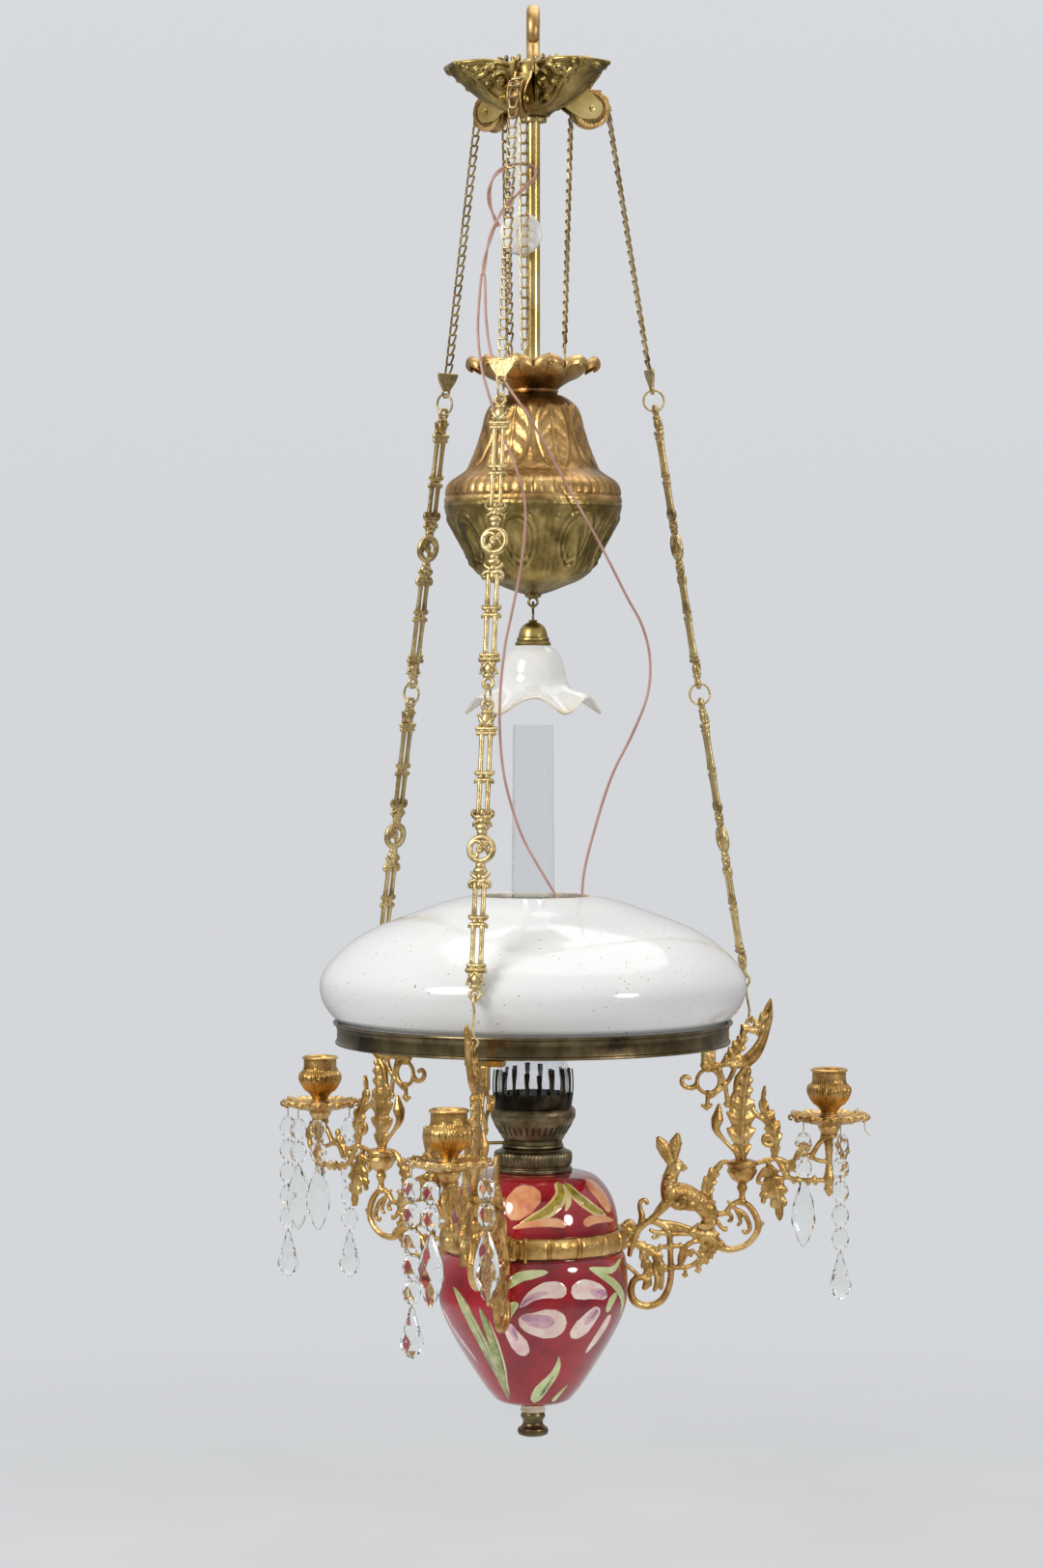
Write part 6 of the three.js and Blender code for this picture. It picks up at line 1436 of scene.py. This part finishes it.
def arm_middle():
    """The web and rails that run out to the calyx, and the scrolls and leaves under them."""
    return merge(
        leaf([(31, 9.8), (43.6, 6.2), (56, 3.2), (70, -0.6), (78, -2)], (4, 9, 8, 7, 6), 0, 3.0, 0.5),
        scroll([(31, 11.4), (43.6, 9.4), (56, 6.4), (70, 1.4), (79, 1.6)], 1.4, 1.7, 1.6, 1.5),
        scroll([(46.4, -1.3), (59, -1.8), (72, -2.3)], 1.5, 1.4, 1.5),
        leaf([(62, 1), (72, -0.5), (82, -4.5), (89, -9.5), (97, -15.6)], (5, 15, 18, 14, 5), 4, 5.0, 1.4),
        leaf([(66, 3), (76, 5), (84, 3), (90, -3)], (3, 7, 7, 2), 3, 4.0),
        dot(80, -3.6, 6.4, (1.4, 0.75, 1.0)),
        scroll([(46, -30.4), (54.8, -32), (66, -30.5), (74.4, -24.8)], 1.9, 1.7, 1.6, 1.6),
        scroll([(55.5, -30.4), (55.6, -22.8), (59, -14.9), (66, -9.6), (75, -8.6)], 1.7, 2.1, 1.9, 1.6),
        scroll([(58, -27), (62, -19.5), (68, -17), (66, -21)], 1.3, 1.5, 1.2), dot(65.6, -21.2, 2.0),
        leaf([(90, -12.4), (83.5, -18), (77, -24.5), (70, -32)], (6, 13, 14, 4), 4, 3.4),
        leaf([(86, -12), (78, -15.5), (71, -22)], (5, 9, 3), 3, 3.0),
        bud(72.6, -34.6, 2.0, -1.4), bud(60, -38.4, 1.8, -1.7), scroll([(60, -32), (60.4, -37)], 1.3, 1.2),
    )


def arm_scroll():
    """The big open scroll with its inner curls, up to the small cup and the knopped stem."""
    big = [(84, -6), (94, -14.9), (105.3, -17.3), (118, -13.8), (127.1, -5.4), (130, 3.9), (126.4, 14.7),
        (119.4, 23), (110.9, 26), (103.2, 21.6), (98.4, 16.4), (91, 15.3)]
    stem = [(0, 22), (3.6, 23), (4.4, 26), (2.8, 29.4), (2.6, 33), (3.6, 35.4), (5.0, 38), (4.4, 40.6),
        (3.4, 42), (6.8, 44.4), (9.8, 46.4), (10.6, 48), (13.2, 52), (14.0, 54.4), (12.6, 56.4),
        (12.2, 57.8), (13.8, 59.6), (14.0, 61.6), (12.4, 63), (8, 64.4), (0, 65)]
    return merge(
        scroll(big, 3.2, 2.7, 2.3, 2.2, 2.3, 2.4, 2.4, 2.1, 2.0, 1.9, 1.9, 2.0),
        moved(lathe(stem, 36), 114.4),
        scroll([(99, 16.4), (103.9, 13.4), (104, 9.5), (101.4, 8.6)], 1.6, 1.5, 1.3),
        scroll([(108, 19.6), (116, 14.6), (121, 6), (121.6, 0), (117.3, -3), (115.4, -0.6)], 1.5, 1.8, 1.7,
            1.4, 1.2),
        scroll([(108.5, 18.5), (111.5, 12.4), (113, 7.2), (110.4, 4.6)], 1.4, 1.4, 1.3),
        dot(104.2, 22.6, 3.0), dot(110.6, 17.6, 2.3),
        scroll([(91, 8.6), (94.4, 3.2), (98.4, 0.4), (99.4, 3.0)], 1.6, 1.5, 1.2),
        dot(133.2, 5.0, 2.2, (1.3, 1, 1)), dot(92, 15.4, 3.0), dot(101.4, 26.2, 1.7),
        leaf([(85.4, 21), (81.2, 33), (83, 44), (88, 54), (94.4, 60.6)], (4, 10, 13, 11, 4), 5, 3.4),
        scroll([(85, 30), (84, 44), (89, 55), (94, 61.6), (99.8, 62.4), (103, 58.6)], 1.2, 1.5, 1.7, 1.6,
            1.6),
        leaf([(78, 37), (79, 44), (84, 50)], (3, 6, 2), 2, 2.6),
    )


def arm_foliage():
    """The slender bud, the two tall leaves above the cup and the pendant leaf right of it."""
    return merge(
        scroll([(111.5, 64), (107.3, 71.6), (96.9, 82.5), (89.6, 92.3), (90.6, 102), (92.4, 114.8)],
               2.0, 1.5, 1.5, 2.6, 4.4, 1.3),
        leaf([(114.4, 62), (113.3, 85), (114, 106), (115.5, 123), (117.6, 137), (120, 148)],
             (8, 24, 27, 17, 14, 5), 7, 4.4, 1.5),
        scroll([(114.4, 63), (109.6, 85), (109, 100), (104, 116)], 1.8, 1.9, 1.6, 1.2),
        scroll([(114.4, 63), (119, 84), (121, 104), (126, 113)], 1.8, 1.9, 1.6, 1.2),
        leaf([(106, 104), (104, 116), (107, 127)], (3, 6, 2), 2), bud(99.8, 113.6, 2.2, 1.2),
        leaf([(144.7, 62), (146.2, 78), (144.7, 90), (138.7, 103), (134.4, 115), (136, 131)],
             (4, 11, 15, 15, 8, 1.6), 6, 3.4, 1.2),
        scroll([(124, 110), (129, 104), (134.6, 100)], 1.6, 2.0, 1.6),
        scroll([(143, 77), (138, 76.6), (134.6, 80.4), (136, 85.4), (140.2, 84.6)], 1.7, 1.7, 1.6, 1.4),
        dot(138.2, 81.4, 1.8), dot(148.8, 74, 2.0),
        leaf([(139.6, 60), (142.4, 47), (146.6, 35), (149.6, 22), (150.6, 7)],
            (6, 19, 22, 15, 2), 5, 4.4, 1.6),
        scroll([(136, 55), (131.6, 49.6), (129.6, 43.6), (132.4, 41.4)], 1.7, 1.7, 1.3),
        leaf([(138, 42), (135.4, 32), (134.6, 23)], (6, 9, 3), 3, 3.2),
        dot(152.4, 41, 2.6), dot(152.8, 33, 2.4),
    )


def arm_horn():
    """Post under the shade ring, open ring, struts and the horn with its leaf and eye."""
    return merge(
        plain_box(75.6, 88.4, -3.2, 3.2, 148.4, 170.6, 0.8),
        scroll([(76, 151), (82, 149.6), (90, 150.4)], 2.0, 2.2),
        flat_ring(81.9, 136.4, 10.8, 1.9), scroll([(81.9, 150), (81.9, 146.6)], 2.6, 2.6),
        scroll([(71.6, 134), (66.6, 131), (61.4, 131.4), (57.4, 134.6), (57, 139),
            (60.4, 141.2), (64.4, 139.4)],
               2.0, 1.8, 1.7, 1.6, 1.5),
        bud(67.4, 131.6, 1.9, -1.9), dot(81.9, 125, 3.0, (1, 0.9, 1.3)),
        scroll([(81.9, 126), (81, 116)], 1.7, 1.5),
        bud(80.4, 113.8, 2.3, -1.6), dot(76.4, 114.6, 1.6), dot(85, 115, 1.6),
        scroll([(92, 147.6), (95.4, 138), (98.3, 130.4), (99.6, 122), (100, 116)], 2.1, 1.8, 1.6, 1.5),
        scroll([(108, 150), (103, 139), (96.9, 131.6), (85, 122.4)], 1.9, 1.7, 1.6),
        scroll([(119, 149), (110, 138.6), (108, 126), (109, 118)], 1.9, 2.0, 1.7),
        leaf([(102, 149.8), (118, 151.6), (127.4, 159.4), (133.4, 170.5),
            (137.6, 182), (141, 194), (142.2, 208)],
             (4, 7.6, 8.4, 7.6, 6.4, 5.0, 1.0), 0, 4.0, 0.4),
        scroll([(80.4, 156), (86.4, 151.6), (96.9, 151), (107.3, 152.8), (116.3, 156.8),
            (124.8, 164.2), (132, 174.4),
                (137.6, 186.2), (141.4, 198.8), (141.4, 210)], 2.2, 2.0, 1.8, 1.8, 1.8, 1.7, 1.5, 1.2, 0.9),
        leaf([(95, 153), (103.6, 158.4), (110.2, 166.8), (114.4, 175), (115.6, 184)],
            (4, 13, 14, 10, 4), 5, 3.6, 1.2),
        leaf([(128.6, 176), (131.6, 188), (136, 198), (140.4, 208)], (3, 8, 6, 1.4), 3, 3.4, 0.8),
        leaf([(113, 178), (117, 183), (123, 182), (131, 181)], (4, 9, 8, 5), 2, 3.4, 0.8),
        flat_ring(123.1, 188.2, 4.5, 1.7), dot(114.4, 186, 2.0),
        scroll([(126.6, 186), (131.4, 186.6)], 2.2, 1.8),
    )


def arm_branch():
    """The rails with their beads that carry the pillar, and the pillar under the pan."""
    pillar = [(0, 94.2), (6.4, 94.2), (9.6, 93.6), (10.4, 92.2), (9.8, 90), (7.8, 86.6), (7.2, 84.8),
        (8.4, 83.6), (8.2, 81.8), (5.4, 80), (4.6, 77.4), (3.6, 70), (3.1, 64), (3.0, 56), (3.8, 50),
        (4.8, 46.6), (5.0, 43), (4.2, 40), (3.4, 38.4), (4.6, 36.4), (4.8, 34.4),
        (3.4, 31.4), (1.6, 28.4), (0, 27.2)]
    parts = [moved(lathe(pillar, 32), 198)]
    parts += [
        scroll([(124, 59), (136.3, 62.4), (147.6, 63.8), (157.6, 60), (164, 53.4)], 1.7, 1.8, 1.7, 1.6),
        scroll([(148, 63), (152, 56.8), (157.6, 47.6), (168.9, 43.5), (183, 43), (198, 42.6)], 1.7, 1.9,
            1.8, 1.7),
        leaf([(157.6, 50), (165, 61), (172, 70), (173.6, 78)], (4, 9, 10, 3), 3, 3.2),
        scroll([(166, 52), (172, 63), (180.3, 65), (188, 76), (197, 84)], 1.8, 2.0, 1.9, 1.7),
        scroll([(172, 70), (182, 63.4), (190, 60.4), (197, 60)], 1.5, 1.5, 1.5),
        leaf([(198, 84), (210.4, 78), (213, 66), (208.6, 54)], (3, 8, 9, 2), 3, 3.4),
        scroll([(206, 55), (202, 50.6), (198, 51)], 1.5, 1.5),
    ]
    parts += [ball(x, 0, z - 3.0, 2.1) for x, z in ((164, 45), (171, 43.3), (178, 43), (185, 42.9))]
    parts += [ball(x, 0, 46.2, 1.8) for x in (168, 176, 184)]
    parts += [dot(136, 62.4, 2.6), dot(157, 56.4, 3.4, (1, 0.9, 1))]
    return merge(*parts)


def hare():
    """A hare on its haunches: forelegs on the scroll, head turned outwards, two grooved ears."""
    back = [(44.5, 30), (51, 36), (60, 35), (69, 29.6), (77, 24.4), (82, 17), (83, 9)]
    trunk = scaled(scroll(back, 7.0, 9.0, 9.2, 9.0, 9.6, 9.0, 5.4, sides=16, stout=1), 1, 0.8, 1)
    nape = [(45.4, 32), (44.6, 42), (46.6, 52), (50, 59.6)]
    neck = scaled(scroll(nape, 8.0, 7.8, 7.0, 6.8, sides=16, stout=1), 1, 0.8, 1)
    parts = [trunk, neck, dot(51.6, 60.4, 7.0, (1.1, 0.82, 0.95)), dot(57.4, 58.8, 4.4, (1.0, 0.8, 0.85)),
        dot(60.6, 58.0, 1.9, (1, 1, 0.8)), dot(83, 15, 9.4, (0.88, 0.74, 1.35)),
        dot(56, 30, 10.5, (1.25, 0.62, 1.0)), dot(66, 28, 9.5, (1.2, 0.65, 1)),
        dot(46, 38, 8.6, (0.95, 0.75, 1.6)), leaf([(46.6, 62), (42, 72), (37.4, 80.6), (33.4, 87.6)],
        (6, 10.5, 11, 3), 0, 3.6, -0.9, -1.5), leaf([(50, 64), (50.4, 74), (52, 82), (54, 90)],
        (6, 10.5, 11, 3), 0, 3.6, -0.9, 1.8)]
    for y in (-1, 1):
        parts += [scroll([(46, 31), (36, 20.6), (27 + 3 * y, 11)], 4.6, 3.4, 2.8, y=2.6 * y, sides=12,
            stout=1), ball(25 + 3 * y, 2.6 * y, 9.6, 2.7, (1.5, 0.9, 0.8)),
            ball(82, 5.0 * y, 20, 5.4, (0.9, 0.5, 1.4)), ball(45.6, 4.6 * y, 35, 5.4, (0.9, 0.5, 1.2)),
            ball(54.6, 4.4 * y, 62.4, 1.2), ball(52, 4.6 * y, 57.6, 3.0, (1, 0.5, 0.9)),
            scroll([(86, 8), (80, 4.6), (72.6, 5.4)], 3.8, 3.4, 2.6, y=3.2 * y, sides=12, stout=1)]
        for x, z, size in ((43, 42, 2.4), (50, 45, 2.2), (56, 31, 2.8), (62, 35, 2.6), (64, 26, 2.6),
                (70, 31, 2.8), (72, 23, 2.4), (77, 28, 2.6), (50, 26, 2.4), (43, 51, 2.0), (84, 27, 2.4)):
            parts.append(ball(x, 6.0 * y, z, 1.2 * size, (1.3, 0.6, 0.8)))
    return merge(*parts)


def make_arms():
    """One openwork casting, used on all three sides."""
    whole = merge(arm_root(), arm_middle(), arm_scroll(), arm_foliage(), arm_horn(), arm_branch(), hare())
    mesh = cast_mesh("arm_casting", whole, CAST_VOXEL, 2)
    seat = mesh_of("arm_seat", plain_box(76, 88, -17, 17, 169.4, 175.4, 1.0))
    for side in SIDES:
        at = sector(side) @ shift(GIRDLE_OUT, 0, GIRDLE_LEVEL)
        piece("arm_" + side, mesh, GOLD, "lamp", "gold_brass", "candle_arm_" + side, matrix=at)
        piece("arm_seat_" + side, seat, POLISHED, "lamp", "gold_brass", matrix=at)


# Pans, cups and crystals: each pan's strings by azimuth from the arm's own direction, beads and last drop
STRINGS = {
    "right": ((-158, 2, "almond"), (-90, 5, "pear")),
    "left": ((60, 5, "pear"), (96, 2, "almond"), (134, 2, "almond"), (-160, 5, "pear")),
    "front": ((-72, 5, "pear"), (-14, 2, "almond"), (104, 2, "almond")),
}
PAN_OUT, PAN_LEVEL = 280.8, -993.06
CUP_SEAT = 6.8  # the cup's foot above the pan's origin
STRING_OUT = 31.0  # the strings' distance from the pan's axis
BEAD_PITCH = 21.4


def gem(top, rings, bottom, flat, count=8):
    """A cut drop: rings of (radius, height), each turned by half a step, and triangles between them."""
    points = [(0, 0, top)]
    for i, (r, z) in enumerate(rings):
        for j in range(count):
            a = TURN * (j + 0.5 * (i % 2)) / count
            points.append((r * math.cos(a), r * flat * math.sin(a), z))
    points.append((0, 0, bottom))
    end = len(points) - 1
    faces = []
    for j in range(count):
        k = (j + 1) % count
        low = 1 + (len(rings) - 1) * count
        faces += [(0, 1 + j, 1 + k), (end, low + k, low + j)]
        for i in range(len(rings) - 1):
            a, b = 1 + i * count, 1 + (i + 1) * count
            if i % 2:
                faces += [(a + j, b + j, b + k), (a + j, b + k, a + k)]
            else:
                faces += [(a + j, b + j, a + k), (b + j, b + k, a + k)]
    return points, faces


def pan_shape():
    """Shallow dish of twelve leaves: ribs across it, a scalloped rim and a curled tip on each leaf."""
    def leaves(r, z, angles):
        far = smooth(r, 13, 34)
        u = petal(angles, 12)
        fine = np.abs(petal(angles, 60))
        arch = np.cos(u * math.pi / 2) ** 0.6
        radius = r * (1 - 0.09 * far * (1 - arch)) + 0.25 * far * fine
        return radius, z + far * (1.6 * arch - 1.0 + 0.8 * hump(u, 0.13) + 0.35 * fine)

    profile = [(4, -1.6), (11, -1.4), (14, -0.4), (20, 0.8), (27, 2.2), (31.4, 3.6), (34.2, 5.8),
        (35.2, 7.8), (34.0, 9.0), (31.8, 8.2), (29, 6.6), (24, 5.8), (17, 5.8), (12, 6.6), (4, 6.9)]
    dish = lathe(curve(profile, 3), 240, leaves, closed=True)
    tips = []
    for i in range(12):
        curl = [(32.4, 0, 7.2), (34.8, 0, 7.8), (36.6, 0, 6.4), (36.0, 0, 4.0), (34.0, 0, 3.6)]
        tips.append(spun(scaled(tube(curve(curl, 4), np.linspace(1.5, 1.0, 17), 9), 1, 1.9, 1),
            TURN * (i + 0.5) / 12))
    return merge(dish, *tips)


def candle_cup_shape():
    """The candle's cup: a tulip with embossed petals, a double lip and its socket."""
    def petals(r, z, angles):
        inside = smooth(z, 4, 9) * (1 - smooth(z, 30, 35)) * (1.0 if r > 12 else 0.0)
        u = petal(angles, 6)
        arch = np.clip(np.cos(u * math.pi / 2), 0, 1) ** 0.5
        rise = smooth(arch * 24 - (z - 5), -1.5, 1.5)
        vein = 0.5 * hump(u, 0.09)
        between = 0.9 * hump(np.abs(u) - 1, 0.22) * smooth(z, 16, 22)
        fold = 0.3 * np.sin(angles * 48 + z * 0.5)
        return r + inside * (0.9 * rise + vein + between + fold), z

    line = [(8.6, 0), (9.0, 1.4), (7.4, 3.0), (8.2, 5.6), (11.8, 9.8), (15.4, 14.4), (18.0, 18.8),
        (19.2, 23.0), (18.8, 26.6), (16.6, 29.6), (15.6, 31.6), (15.4, 36), (15.4, 40.4), (16.6, 41.4),
        (17.0, 42.4), (16.0, 43.4), (15.2, 43.8)]
    outer = curve(line, 4)
    inner = [(13.4, 43.4), (12.4, 42.2), (11.5, 14), (3, 14), (3, 0)]
    return lathe(np.vstack([outer, inner]), 192, petals, closed=True)


def string_shapes(beads, last):
    """A string's glass and its wires: long octagon beads and a pear or an almond at the end."""
    glass, wires, level = [], [tube([(0, 0, 6), (0, 0, -1), (0, 0, -5.6)], 0.45, 8)], -6.0
    for _ in range(beads):
        rings = [(3.6, -0.4), (7.0, -4.4), (7.9, -10.1), (7.0, -15.8), (3.6, -19.8)]
        glass.append(moved(gem(-0.2, rings, -20.0, 0.5), z=level))
        level -= BEAD_PITCH
        wires.append(tube([(0, 0, level + 1.6), (0, 0, level), (0, 0, level - 1.6)], 0.5, 8))
    if last == "pear":
        rings = [(2.0, -1.2), (3.8, -8.2), (6.2, -16.6), (8.8, -24.6), (10, -30.6), (8.6, -37), (4.6, -42)]
        glass.append(moved(gem(-0.4, rings, -44, 0.6), z=level))
    else:
        rings = [(2.2, -1.6), (5.6, -10), (8.9, -19.4), (11.2, -29.2), (11, -38.6), (8.6, -47.6),
            (4.8, -55.8), (1.6, -60.6)]
        glass.append(moved(gem(-0.4, rings, -62, 0.5), z=level))
    return merge(*glass), merge(*wires)


def make_pans():
    """Pans with their crystal strings and empty wire loops, and the candle cups on them."""
    pan_mesh = mesh_of("leaf_pan", pan_shape(), 50)
    cup_mesh = mesh_of("tulip_cup", candle_cup_shape(), 50)
    loops = [spun(moved(spun(ring(2.0, 0.4, 20, 8), math.pi / 2, "X"), STRING_OUT + 1.6, 0, 9.8),
        math.radians(a)) for a in (-35, 20, 75, 160, 215)]
    for side in SIDES:
        at = sector(side) @ shift(PAN_OUT, 0, PAN_LEVEL)
        piece("pan_" + side, pan_mesh, GOLD, "lamp", "gold_brass", "candle_pan_" + side, matrix=at)
        piece("cup_" + side, cup_mesh, GOLD, "lamp", "gold_brass", "candle_cup_" + side,
            matrix=at @ shift(z=CUP_SEAT))
        metal = [*loops]
        for i, (azimuth, beads, last) in enumerate(STRINGS[side]):
            angle = math.radians(azimuth)
            glass, wires = string_shapes(beads, last)
            place = at @ Matrix.Rotation(angle, 4, "Z") @ shift(STRING_OUT)
            place = place @ Matrix.Rotation(-angle - AZIMUTH[side], 4, "Z")
            piece(f"crystals_{side}_{i}", mesh_of("crystals", glass, 4), CRYSTAL, "lamp",
                "clear_glass", matrix=place)
            metal.append(moved(wires, STRING_OUT * math.cos(angle), STRING_OUT * math.sin(angle)))
        if side == "right":
            metal.append(tube(curve([(34, 0, 4), (34.4, 0, -1), (34.6, 0, -6), (37, 0, -10),
                (40.4, 0, -12.6)], 5), 0.4, 8))
        piece("pan_wires_" + side, merge(*metal), PALE, "lamp", "gold_brass", matrix=at)


for make in (make_arms, make_pans):
    make()


# Carried-over nodes whose shape stays: they only get their material
for name, material in (("counterweight_ballast", IRON), ("rod_stop_nut", ANTIQUE)):
    NODES[name].data.materials.clear()
    NODES[name].data.materials.append(material)
